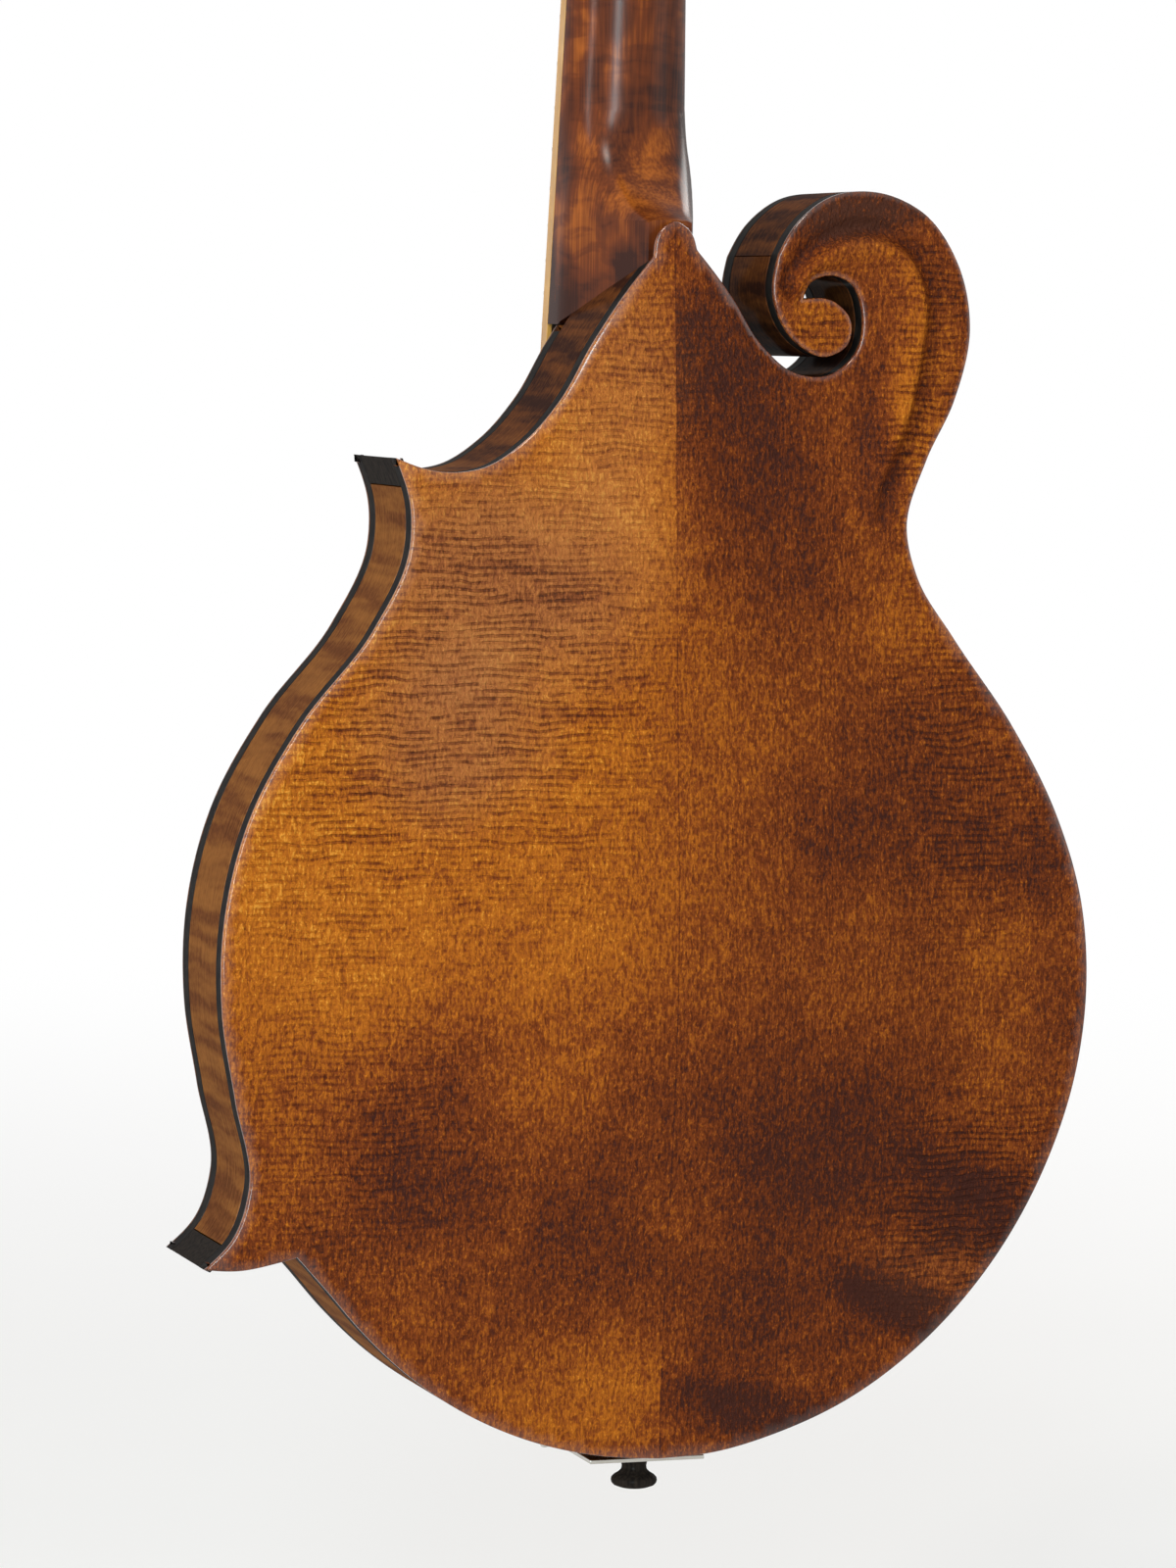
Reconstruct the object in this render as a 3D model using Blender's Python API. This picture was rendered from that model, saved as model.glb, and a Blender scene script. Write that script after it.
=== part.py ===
"""F-style mandolin: carved body with scroll and points, set neck, worm tuners, bridge and tailpiece.

Metres, +Z up along the neck, -Y towards the strings, +X towards the treble side.
The origin is the middle of the neck at the nut, where a hanger holds the instrument.
"""
import math

import bmesh
import bpy
import numpy as np
from mathutils import Matrix, Vector
from mathutils.bvhtree import BVHTree
from mathutils.geometry import delaunay_2d_cdt

MM = 0.001
GAP = 0.0003                      # clearance between two pieces that seat on each other

# Scale and frets
SCALE_LENGTH = 0.353
JOINT_FRET = 15                   # the neck meets the body here
FRET_COUNT = 21
FRET_WIDTH = 0.0014
FRET_HEIGHT = 0.0010
FRET_SEAT = 0.0001                # fret sunk into the board

# Body
JOINT_LEAN = 0.019                # joint lower at the front edge than at the back
BODY_DEPTH = 0.0445
PLATE_EDGE = 0.0040
PLATE_LIP = 0.0012                # wood left over the binding
BACK_ARCH = 0.0115
TOP_ARCH = 0.0120
ARCH_POWER = 2.4
CELL = 0.003                      # step of the arching grid
BINDING_THICKNESS = 0.0015
BINDING_HEIGHT = 0.0053
RIB_THICKNESS = 0.0025
LINING_WIDTH = 0.0050
LINING_HEIGHT = 0.0070
LINING_END = 0.0004               # length over which a lining stops
CAP_REACH = 0.0085                # length of each side of a point cap
BLOCK_REACH = 0.026               # length of each side of a point block
HEAD_BLOCK_END = 0.288
TAIL_BLOCK_HALF_WIDTH = 0.024
TAIL_BLOCK_HEIGHT = 0.017
TONE_BAR_WIDTH = 0.006
TONE_BAR_HEIGHT = 0.010
TONE_BAR_HALF_LENGTH = 0.095
TONE_BAR_CENTRE = 0.160
TONE_BAR_OFFSET = 0.022
TONE_BAR_TAPER = 0.35             # height at the ends over height in the middle
RIDGE_HEIGHT = 0.0024             # carved ridge round the scroll
COVE_DEPTH = 0.0013
BACK_SPINE = 0.0030               # low swell of the plates towards the neck
TOP_SPINE = 0.0020
SPINE_START = 0.190
SPINE_RISE = 0.075
SPINE_BEYOND = 0.022
SPINE_FALL = 0.045
SPINE_WIDTH = 0.024
F_LENGTH = 0.078
F_OFFSET = 0.049
F_HEIGHT = 0.163
F_LOWER_EYE = 0.0042
F_UPPER_EYE = 0.0036

# Neck
NECK_TILT = math.radians(4.0)
BOARD_RISE = 0.0145               # board surface over the front edge plane at the joint
BOARD_THICKNESS = 0.0052
BOARD_END = 0.0050                # board beyond the last fret
BOARD_BINDING = 0.0015
NECK_HALF_WIDTH_NUT = 0.0143
NECK_HALF_WIDTH_JOINT = 0.0199
NECK_DEPTH_NUT = 0.0205
NECK_DEPTH_HEEL = 0.0220
HEEL_CURVE_LENGTH = 0.030
HEEL_HALF_WIDTH = 0.0204          # at the front edge of the body
HEEL_INSET = 0.0005               # heel tip below the end of the button
HEEL_SPACE_BEYOND = 0.035
HEEL_SPACE_MARGIN = 0.0046
NUT_LENGTH = 0.0040
NUT_HEIGHT = 0.0012               # string height over the board at the nut
TENON_LENGTH = 0.020
TENON_HALF_WIDTH = 0.008
TENON_FLARE = 0.003
TRUSS_CHANNEL_WIDTH = 0.0056
TRUSS_CHANNEL_DEPTH = 0.0070
TRUSS_ROD_RADIUS = 0.0024
TRUSS_ROD_START = 0.012           # from the neck joint
TRUSS_NUT_START = 0.008           # beyond the nut end of the board
TRUSS_COVER_THICKNESS = 0.0011

# Peghead
HEAD_TILT = math.radians(15.0)
HEAD_THICKNESS = 0.0145
HEAD_DROP = 0.0016                # overlay face below the board surface at the nut
OVERLAY_THICKNESS = 0.0018
POST_X = 0.0175
POST_FIRST = 0.035
POST_PITCH = 0.0232
POST_RADIUS = 0.0030
POST_WAIST_RADIUS = 0.0024
POST_REACH = 0.0125               # post above the overlay
BUSHING_RADIUS = 0.0042
BUSHING_FLANGE = 0.0053

# Tuners
TUNER_PLATE_THICKNESS = 0.0010
TUNER_PLATE_HALF_WIDTH = 0.0056
GEAR_TEETH = 14
GEAR_RADIUS = 0.0050
GEAR_ROOT_RADIUS = 0.0039
GEAR_THICKNESS = 0.0026
WORM_RADIUS = 0.0024
WORM_ROOT_RADIUS = 0.0014
WORM_HALF_LENGTH = 0.0029
EAR_THICKNESS = 0.0011
BUTTON_START = 0.0150             # from the post line to the button
BUTTON_LENGTH = 0.0110
BUTTON_HALF_WIDTH = 0.0062
BUTTON_HALF_THICKNESS = 0.0027

# Strings
COURSES = ("g", "d", "a", "e")
STRING_RADII = {"g": 0.00050, "d": 0.00033, "a": 0.00022, "e": 0.00018}
COURSE_PITCH_NUT = 0.0072
COURSE_PITCH_BRIDGE = 0.0124
PAIR_PITCH_NUT = 0.0021
PAIR_PITCH_BRIDGE = 0.0026
ACTION = 0.0040                   # string height over the board line at the bridge
WIND_TURNS = 2.5
WIND_SPACE = 0.00055              # clear space between two turns

# Bridge
BRIDGE_LENGTH = 0.115
BRIDGE_WIDTH = 0.012
BRIDGE_RISE = 0.0064              # base top over the crown of the top plate
BRIDGE_END_HEIGHT = 0.0035
WHEEL_OFFSET = 0.035
WHEEL_RADIUS = 0.0058
WHEEL_THICKNESS = 0.0026
WHEEL_LIFT = 0.0015               # wheel above the base at rest
WHEEL_KNURLS = 20
STUD_RADIUS = 0.0018
SADDLE_LENGTH = 0.086
SADDLE_FOOT = 0.0066
SADDLE_CREST = 0.0020
COMPENSATION = (0.0018, 0.0004, 0.0014, 0.0002)

# Tailpiece and strap button
TAILPIECE_HALF_WIDTH = 0.017
TAILPIECE_REACH = 0.029
TAILPIECE_LEG = 0.034
TAILPIECE_METAL = 0.0012
COVER_REACH = 0.046
COVER_HALF_WIDTH = 0.0215
HOOK_LINE = 0.021
STRAP_BUTTON_DEPTH = 0.0225       # axis in front of the back edge plane
STRAP_BUTTON_RADIUS = 0.0066
STRAP_BUTTON_LENGTH = 0.0135

# Body outline, millimetres, treble side +, seen as plan x and height z
BUTTON_TREBLE = (5.9, 337.0)
BUTTON_BASS = (-6.6, 339.1)
POINT_UPPER = (79.6, 280.9)
POINT_LOWER = (132.2, 58.4)
LOWER_NOTCH = (105.8, 60.9)
SLIT_TIP = (-38.2, 325.8)
TREBLE_SHOULDER = (BUTTON_TREBLE, (14.9, 325.5), (23.3, 313.0), (32.8, 296.7), (42.8, 285.6),
                   (54.6, 278.3), (66.4, 277.1), POINT_UPPER)
TREBLE_WAIST = (POINT_UPPER, (75.3, 267.7), (75.4, 256.1), (85.6, 233.6), (105.9, 207.9),
                (120.1, 182.3), (127.0, 155.0), (127.5, 128.0), (123.7, 104.8), (119.6, 80.0),
                (124.1, 66.5), POINT_LOWER)
POINT_UNDERSIDE = (POINT_LOWER, (122.6, 57.7), (111.4, 59.5), LOWER_NOTCH)
TREBLE_TAIL = (LOWER_NOTCH, (97.3, 51.3), (87.1, 39.4), (74.6, 27.4), (56.6, 15.0),
               (37.3, 6.4), (18.3, 1.7), (0.0, 0.0))
BASS_BOUT = ((0.0, 0.0), (-16.6, 1.1), (-34.2, 5.4), (-55.6, 14.0), (-78.9, 29.9),
             (-101.3, 54.4), (-115.6, 79.4), (-124.2, 104.6), (-127.4, 131.0), (-125.3, 155.3),
             (-117.0, 180.7), (-103.0, 206.0), (-84.6, 231.2), (-73.7, 247.8), (-70.2, 262.0),
             (-75.8, 281.0), (-83.8, 297.6), (-88.3, 318.5), (-84.5, 336.0), (-74.3, 350.0),
             (-60.3, 355.8), (-46.4, 354.5), (-36.2, 347.0), (-30.6, 337.8))
SCROLL_CURL = ((-30.6, 337.8), (-29.2, 327.0), (-35.6, 314.2), (-44.9, 309.7), (-51.7, 313.3),
               (-52.5, 319.8), (-46.9, 325.4), SLIT_TIP)
BASS_SHOULDER = (SLIT_TIP, (-39.9, 329.9), (-46.8, 332.4), (-52.6, 330.0), (-55.9, 321.4),
                 (-54.1, 311.1), (-46.5, 304.8), (-35.7, 305.3), (-26.4, 312.5), (-17.0, 326.3),
                 BUTTON_BASS)
BUTTON_END = (BUTTON_BASS, (-4.4, 344.4), (0.0, 346.7), (4.2, 344.0), BUTTON_TREBLE)
SCROLL_RIDGE = ((-37.6, 330.6), (-43.3, 337.5), (-54.7, 342.2), (-67.5, 338.4), (-73.6, 326.5),
                (-72.7, 311.8), (-68.5, 292.0), (-60.5, 272.0), (-58.0, 254.0))

# Peghead outline, millimetres, in the peghead's own plane
HEAD_TREBLE_SIDE = ((14.3, 0.0), (17.0, 10.0), (23.5, 18.5), (30.3, 23.5))
HEAD_TREBLE_EDGE = ((30.3, 23.5), (27.6, 34.0), (26.2, 60.0), (26.4, 90.0), (28.5, 110.0),
                    (38.0, 133.0))
HEAD_TREBLE_HORN = ((38.0, 133.0), (30.0, 129.5), (21.0, 131.0), (15.5, 137.5))
HEAD_CREST = ((15.5, 137.5), (23.0, 138.5), (25.5, 147.0), (18.0, 157.0), (4.0, 162.0),
              (-9.0, 156.0), (-18.0, 143.0), (-27.0, 132.5), (-40.0, 130.0))
HEAD_BASS_EDGE = ((-40.0, 130.0), (-30.0, 112.0), (-26.6, 90.0), (-26.2, 60.0), (-27.6, 34.0),
                  (-30.3, 23.5))
HEAD_BASS_SIDE = ((-30.3, 23.5), (-23.5, 18.5), (-17.0, 10.0), (-14.3, 0.0))
TRUSS_COVER_OUTLINE = ((0.0, 3.0), (6.0, 4.5), (7.6, 12.0), (4.4, 21.0), (0.0, 28.0),
                       (-4.4, 21.0), (-7.6, 12.0), (-6.0, 4.5))

# Lengths that follow from the ones above
HEEL_HEIGHT = BUTTON_TREBLE[1] * MM    # joint height at the back plate
JOINT_HEIGHT = HEEL_HEIGHT - JOINT_LEAN    # and at the front edge plane
HEEL_TIP_HEIGHT = BUTTON_END[2][1] * MM - HEEL_INSET
NECK_TO_JOINT = SCALE_LENGTH * (1 - 2 ** (-JOINT_FRET / 12))
BOARD_LENGTH = SCALE_LENGTH * (1 - 2 ** (-FRET_COUNT / 12)) + BOARD_END

# Frames: the body's origin is the tail end of the seam, on the back plate's edge plane
BOARD_FRONT = -(BODY_DEPTH + BOARD_RISE)
NECK_IN_BODY = (Matrix.Translation((0.0, BOARD_FRONT + NECK_TO_JOINT * math.sin(NECK_TILT),
                                    JOINT_HEIGHT + NECK_TO_JOINT * math.cos(NECK_TILT)))
                @ Matrix.Rotation(-NECK_TILT, 4, "X"))
HEAD_IN_NECK = (Matrix.Translation((0.0, HEAD_DROP, NUT_LENGTH + 2 * GAP))
                @ Matrix.Rotation(-HEAD_TILT, 4, "X"))
HANGER_IN_BODY = NECK_IN_BODY @ Vector((0.0, NECK_DEPTH_NUT / 2, 0.0))
BODY_IN_NECK = NECK_IN_BODY.inverted()

PLATE_TOP = HEAD_THICKNESS + GAP + TUNER_PLATE_THICKNESS
WORM_LEVEL = PLATE_TOP + GAP + WORM_RADIUS
WORM_DISTANCE = GEAR_RADIUS + WORM_ROOT_RADIUS + GAP
WORM_PITCH = 2 * math.pi * (GEAR_RADIUS + GEAR_ROOT_RADIUS) / 2 / GEAR_TEETH
BRIDGE_HEIGHT = (JOINT_HEIGHT + NECK_TO_JOINT * math.cos(NECK_TILT)
                 - SCALE_LENGTH * math.cos(NECK_TILT))


# Curves and polygons

def smooth_curve(knots, turn_limit=math.radians(18), run_limit=28.0):
    """Points in metres on a smooth curve through knots given in millimetres."""
    points = [np.array(knot, float) for knot in knots]
    runs = [np.linalg.norm(b - a) for a, b in zip(points, points[1:])]
    slopes = [(b - a) / run for a, b, run in zip(points, points[1:], runs)]
    tangents = [None] * len(points)
    for i in range(1, len(points) - 1):
        tangents[i] = (slopes[i] * runs[i - 1] + slopes[i - 1] * runs[i]) / (runs[i] + runs[i - 1])
    tangents[0] = 1.5 * slopes[0] - 0.5 * tangents[1]
    tangents[-1] = 1.5 * slopes[-1] - 0.5 * tangents[-2]
    steps = 12
    dense = []
    for i, run in enumerate(runs):
        for step in range(steps):
            t = step / steps
            dense.append((2 * t**3 - 3 * t**2 + 1) * points[i]
                         + (t**3 - 2 * t**2 + t) * run * tangents[i]
                         + (3 * t**2 - 2 * t**3) * points[i + 1]
                         + (t**3 - t**2) * run * tangents[i + 1])
    dense.append(points[-1])
    kept = [dense[0]]
    turned = 0.0
    travelled = 0.0
    for before, here, after in zip(dense, dense[1:], dense[2:]):
        first, second = here - before, after - here
        turned += abs(math.atan2(first[0] * second[1] - first[1] * second[0], first @ second))
        travelled += np.linalg.norm(first)
        if turned > turn_limit or travelled > run_limit:
            kept.append(here)
            turned = 0.0
            travelled = 0.0
    if np.linalg.norm(kept[-1] - dense[-1]) < 1.2 and len(kept) > 1:
        kept.pop()
    kept.append(dense[-1])
    return [Vector((p[0] * MM, p[1] * MM)) for p in kept]


def chain(*stretches):
    """One open path from stretches that share their end points."""
    path = list(stretches[0])
    for stretch in stretches[1:]:
        path += stretch[1:]
    return path


def inset_path(path, distance, closed=False):
    """The path moved to its right-hand side, which is the wood's side of the outline."""
    moved = []
    count = len(path)
    for i, point in enumerate(path):
        before = path[i - 1] if (i or closed) else None
        after = path[(i + 1) % count] if (i < count - 1 or closed) else None
        normals = []
        for start, end in ((before, point), (point, after)):
            if start is not None and end is not None:
                run = (end - start).normalized()
                normals.append(Vector((run.y, -run.x)))
        if len(normals) == 2:
            total = normals[0] + normals[1]
            moved.append(point + total * (distance / max(0.12, 1 + normals[0].dot(normals[1]))))
        else:
            moved.append(point + normals[0] * distance)
    return moved


def trim_path(path, start=0.0, end=0.0):
    """The path without its first and last lengths."""
    def cut(points, length):
        for i in range(len(points) - 1):
            run = (points[i + 1] - points[i]).length
            if run > length:
                first = points[i].lerp(points[i + 1], length / run)
                return [first] + points[i + 1:]
            length -= run
        return points[-1:]
    path = cut(list(path), start) if start else list(path)
    return cut(path[::-1], end)[::-1] if end else path


def inside(points, polygon):
    """Which of the points (n, 2) lie inside the polygon, by even and odd crossings."""
    points = np.atleast_2d(points)
    result = np.zeros(len(points), bool)
    for a, b in zip(polygon, polygon[1:] + polygon[:1]):
        crosses = (a.y > points[:, 1]) != (b.y > points[:, 1])
        slope = (b.x - a.x) / ((b.y - a.y) or 1e-12)
        result ^= crosses & (points[:, 0] < a.x + slope * (points[:, 1] - a.y))
    return result


def edge_distance(points, polygon, closed=True):
    """Least distance of each point (n, 2) to the polygon's sides."""
    points = np.atleast_2d(points)
    best = np.full(len(points), 1.0)
    ends = polygon[1:] + polygon[:1] if closed else polygon[1:]
    for a, b in zip(polygon, ends):
        start = np.array(a)
        side = np.array(b) - start
        t = np.clip(((points - start) @ side) / max(side @ side, 1e-12), 0, 1)
        best = np.minimum(best, np.linalg.norm(points - start - t[:, None] * side, axis=1))
    return best


# The body outline, clockwise as seen from the front with the neck up
shoulder = smooth_curve(TREBLE_SHOULDER)
waist = smooth_curve(TREBLE_WAIST)
underside = smooth_curve(POINT_UNDERSIDE)
treble_tail = smooth_curve(TREBLE_TAIL)
bass_bout = smooth_curve(BASS_BOUT)
curl = smooth_curve(SCROLL_CURL, math.radians(22))
bass_shoulder = smooth_curve(BASS_SHOULDER, math.radians(22))
button_end = smooth_curve(BUTTON_END, math.radians(30))
RIM = chain(shoulder, waist, underside, treble_tail, bass_bout, curl, bass_shoulder)
BACK_OUTLINE = RIM + button_end[1:-1]


def at_joint(path):
    """A path end cut off level with the neck joint."""
    for i in range(len(path) - 1):
        if path[i].y >= JOINT_HEIGHT - GAP > path[i + 1].y:
            share = (path[i].y - JOINT_HEIGHT + GAP) / (path[i].y - path[i + 1].y)
            return [path[i].lerp(path[i + 1], share)] + path[i + 1:]
    return path


top_shoulder = at_joint(shoulder)
top_bass_shoulder = at_joint(bass_shoulder[::-1])[::-1]
TOP_RIM = chain(top_shoulder, waist, underside, treble_tail, bass_bout, curl, top_bass_shoulder)


# Arching: the shape of a sheet blown up inside the outline, with hollow edges

class Arch:
    """Height of a carved plate over its edge plane."""

    def __init__(self, outline, crown, heel_ridge):
        self.outline = outline
        self.crown = crown
        self.heel_ridge = heel_ridge
        xs = [p.x for p in outline]
        zs = [p.y for p in outline]
        self.low = np.array((min(xs) - 2 * CELL, min(zs) - 2 * CELL))
        shape = (int((max(xs) - self.low[0]) / CELL) + 4, int((max(zs) - self.low[1]) / CELL) + 4)
        grid = np.indices(shape).reshape(2, -1).T * CELL + self.low
        mask = inside(grid, outline).reshape(shape)
        sheet = np.zeros(shape)
        for _ in range(5000):
            sheet[1:-1, 1:-1] = (sheet[2:, 1:-1] + sheet[:-2, 1:-1] + sheet[1:-1, 2:]
                                 + sheet[1:-1, :-2] + 1.0) / 4
            sheet *= mask
        self.sheet = sheet / sheet.max()
        self.ridge = smooth_curve(SCROLL_RIDGE)

    def __call__(self, x, z):
        """Height at one point."""
        return float(self.heights(np.array([[x, z]]))[0])

    def heights(self, points):
        """Heights at points (n, 2)."""
        cell = (points - self.low) / CELL
        corner = np.clip(cell.astype(int), 0, np.array(self.sheet.shape) - 2)
        share = cell - corner
        i, j = corner.T
        s, t = share.T
        level = (self.sheet[i, j] * (1 - s) * (1 - t) + self.sheet[i + 1, j] * s * (1 - t)
                 + self.sheet[i, j + 1] * (1 - s) * t + self.sheet[i + 1, j + 1] * s * t)
        arch = self.crown * np.clip(level, 0, 1) ** ARCH_POWER
        edge = np.clip(edge_distance(points, self.outline) / 0.004, 0, 1)
        edge = edge * edge * (3 - 2 * edge)
        rise = np.clip((points[:, 1] - SPINE_START) / SPINE_RISE, 0, 1)
        fall = np.clip((JOINT_HEIGHT + SPINE_BEYOND - points[:, 1]) / SPINE_FALL, 0, 1)
        spine = self.heel_ridge * rise * fall * np.exp(-(points[:, 0] / SPINE_WIDTH) ** 2)
        return arch + edge * (spine + self.scroll(points))

    def scroll(self, points):
        """The carved ridge that follows the scroll, with a cove outside it."""
        path = [np.array(p) for p in self.ridge]
        best = np.full(len(points), 1.0)
        along = np.zeros(len(points))
        side = np.ones(len(points))
        total = sum(np.linalg.norm(b - a) for a, b in zip(path, path[1:]))
        passed = 0.0
        for a, b in zip(path, path[1:]):
            run = np.linalg.norm(b - a)
            t = np.clip(((points - a) @ (b - a)) / run**2, 0, 1)
            offset = points - a - t[:, None] * (b - a)
            distance = np.linalg.norm(offset, axis=1)
            nearer = distance < best
            best = np.where(nearer, distance, best)
            along = np.where(nearer, (passed + t * run) / total, along)
            turn = (b - a)[0] * offset[:, 1] - (b - a)[1] * offset[:, 0]
            side = np.where(nearer, np.sign(turn), side)
            passed += run
        fade = np.clip((1 - along) / 0.5, 0, 1)
        fade = fade * fade * (3 - 2 * fade)
        outer = side < 0
        ridge = RIDGE_HEIGHT * np.exp(-(best / np.where(outer, 0.0032, 0.0065)) ** 2)
        cove = COVE_DEPTH * np.exp(-((best - 0.0075) / 0.0042) ** 2) * outer
        return fade * (ridge - cove)


back_arch = Arch(BACK_OUTLINE, BACK_ARCH, BACK_SPINE)
top_arch = Arch(TOP_RIM, TOP_ARCH, TOP_SPINE)


# Making meshes

def material(name, color, roughness, metallic=0.0):
    made = bpy.data.materials.new(name)
    made.use_nodes = True
    shader = made.node_tree.nodes["Principled BSDF"]
    shader.inputs["Base Color"].default_value = (*color, 1.0)
    shader.inputs["Roughness"].default_value = roughness
    shader.inputs["Metallic"].default_value = metallic
    made.diffuse_color = (*color, 1.0)
    return made


def frame_empty(name, matrix, parent=None):
    empty = bpy.data.objects.new(name, None)
    empty.empty_display_size = 0.02
    bpy.context.scene.collection.objects.link(empty)
    empty.parent = parent
    empty.matrix_local = matrix
    return empty


def add_object(name, bm, finish, parent, location=(0, 0, 0), turn=None, cutter=False):
    """A named object from a bmesh, with its faces turned outward."""
    bmesh.ops.recalc_face_normals(bm, faces=bm.faces[:])
    mesh = bpy.data.meshes.new(name)
    bm.to_mesh(mesh)
    bm.free()
    return add_mesh(name, mesh, finish, parent, location, turn, cutter)


def add_mesh(name, mesh, finish, parent, location=(0, 0, 0), turn=None, cutter=False):
    if finish and not mesh.materials:
        mesh.materials.append(finish)
    mesh.shade_smooth()
    mesh.set_sharp_from_angle(angle=math.radians(32))
    made = bpy.data.objects.new(name, mesh)
    bpy.context.scene.collection.objects.link(made)
    made.parent = parent
    made.location = location
    if turn:
        made.rotation_euler = turn
    if cutter:
        made.hide_render = True
        made.display_type = "WIRE"
    return made


def boolean(target, operand, operation="DIFFERENCE"):
    modifier = target.modifiers.new(operand.name, "BOOLEAN")
    modifier.operation = operation
    modifier.solver = "EXACT"
    modifier.object = operand


def baked(target):
    """The object's mesh with its modifiers applied."""
    depsgraph = bpy.context.evaluated_depsgraph_get()
    return bpy.data.meshes.new_from_object(target.evaluated_get(depsgraph), depsgraph=depsgraph)


def prism(bm, polygon, low, high, place=lambda u, v, w: (u, w, v)):
    """A polygon in u, v pushed from low to high along w."""
    rings = [[bm.verts.new(place(p[0], p[1], level)) for p in polygon] for level in (low, high)]
    bm.faces.new(rings[0])
    bm.faces.new(rings[1][::-1])
    for i in range(len(polygon)):
        j = (i + 1) % len(polygon)
        bm.faces.new((rings[0][i], rings[0][j], rings[1][j], rings[1][i]))


def box(bm, low, high):
    prism(bm, ((low[0], low[2]), (high[0], low[2]), (high[0], high[2]), (low[0], high[2])),
          low[1], high[1])


def loft(bm, sections, capped=True, looped=False):
    """Skin over sections with equal point counts."""
    rings = [[bm.verts.new(point) for point in section] for section in sections]
    pairs = list(zip(rings, rings[1:]))
    if looped:
        pairs.append((rings[-1], rings[0]))
    for first, second in pairs:
        for i in range(len(first)):
            j = (i + 1) % len(first)
            bm.faces.new((first[i], first[j], second[j], second[i]))
    if capped and not looped:
        bm.faces.new(rings[0][::-1])
        bm.faces.new(rings[-1])


def turned(bm, profile, segments, place=lambda x, y, h: (x, h, y), open_bore=False):
    """A profile of (radius, height) turned round its axis."""
    rings = []
    for radius, height in profile:
        if radius == 0:
            rings.append([bm.verts.new(place(0, 0, height))])
        else:
            rings.append([bm.verts.new(place(radius * math.cos(2 * math.pi * k / segments),
                                             radius * math.sin(2 * math.pi * k / segments),
                                             height)) for k in range(segments)])
    pairs = list(zip(rings, rings[1:]))
    if open_bore:
        pairs.append((rings[-1], rings[0]))
    for first, second in pairs:
        for k in range(segments):
            n = (k + 1) % segments
            corners = [first[k % len(first)], first[n % len(first)],
                       second[n % len(second)], second[k % len(second)]]
            bm.faces.new(list(dict.fromkeys(corners)))
    if not open_bore:
        for ring in (rings[0], rings[-1]):
            if len(ring) > 1:
                bm.faces.new(ring)


def swept_strip(bm, path, profile):
    """A strip along an open outline path; its profile is a list of (inset, y)."""
    rails = [inset_path(path, inset) for inset, _ in profile]
    sections = [[(rail[i].x, y, rail[i].y) for rail, (_, y) in zip(rails, profile)]
                for i in range(len(path))]
    loft(bm, sections)


def tube(bm, points, radius, sides=6):
    """A closed round tube along points, with its ring carried along without twist."""
    points = [Vector(p) for p in points]
    tangents = [(points[min(i + 1, len(points) - 1)] - points[max(i - 1, 0)]).normalized()
                for i in range(len(points))]
    side = tangents[0].orthogonal().normalized()
    sections = []
    for point, tangent in zip(points, tangents):
        side = (side - tangent * side.dot(tangent)).normalized()
        other = tangent.cross(side)
        sections.append([point + radius * (side * math.cos(2 * math.pi * k / sides)
                                           + other * math.sin(2 * math.pi * k / sides))
                         for k in range(sides)])
    loft(bm, sections)


def halved(bm, point, normal):
    """Cut away what lies on the normal's side of a plane, and close the cut."""
    cut = bmesh.ops.bisect_plane(bm, geom=bm.verts[:] + bm.edges[:] + bm.faces[:], dist=1e-7,
                                 plane_co=point, plane_no=normal, clear_outer=True)
    edges = [item for item in cut["geom_cut"] if isinstance(item, bmesh.types.BMEdge)]
    bmesh.ops.holes_fill(bm, edges=edges)


# Plates

def spread_points(candidates, taken, spacing):
    """Keep the candidates that stand clear of the points taken so far."""
    for candidate in candidates:
        if all((candidate - other).length > spacing for other in taken):
            taken.append(candidate)


def plate_points(outline, cavity, holes, fine_lines):
    """Points inside a plate's outline: along its edge hollow, its carving and a grid."""
    taken = []
    for line in fine_lines:
        candidates = [p for p in line if edge_distance([p], outline)[0] > 0.0022]
        spread_points(candidates, taken, 0.004)
    hollow = [p for p in inset_path(outline, 0.0085, closed=True)
              if inside([p], outline)[0] and edge_distance([p], outline)[0] > 0.0078]
    spread_points(hollow, taken, 0.010)
    spread_points([p for p in cavity if inside([p], outline)[0]], taken, 0.012)
    step = 0.018
    grid = []
    for row in range(-2, 24):
        for column in range(-9, 10):
            p = Vector(((column + 0.5 * (row % 2)) * step, row * step * 0.87))
            if inside([p], outline)[0] and edge_distance([p], outline)[0] > 0.013:
                grid.append(p)
    spread_points(grid, taken, 0.0115)
    return [p for p in taken
            if all(edge_distance([p], hole)[0] > 0.002 and not inside([p], hole)[0]
                   for hole in holes)]


def face_mesh(bm, loops, extra, height, holes):
    """Triangles between the loops and extra points, lifted by a height function."""
    coords = []
    edges = []
    for loop in loops:
        start = len(coords)
        coords += [Vector((p.x, p.y)) for p in loop]
        edges += [(start + i, start + (i + 1) % len(loop)) for i in range(len(loop))]
    coords += extra
    flat, _, triangles, origins, _, _ = delaunay_2d_cdt(coords, edges, [], 1, 1e-7)
    verts = {}
    for i, sources in enumerate(origins):
        for source in sources:
            verts[source] = i
    made = [bm.verts.new((p.x, height(p.x, p.y), p.y)) for p in flat]
    for triangle in triangles:
        middle = sum((flat[i] for i in triangle), Vector((0, 0))) / 3
        if not any(inside([middle], hole)[0] for hole in holes):
            bm.faces.new([made[i] for i in triangle])
    rings = []
    start = 0
    for loop in loops:
        rings.append([made[verts[start + i]] for i in range(len(loop))])
        start += len(loop)
    for vert in made:
        if not vert.link_faces:
            bm.verts.remove(vert)
    return rings


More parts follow.
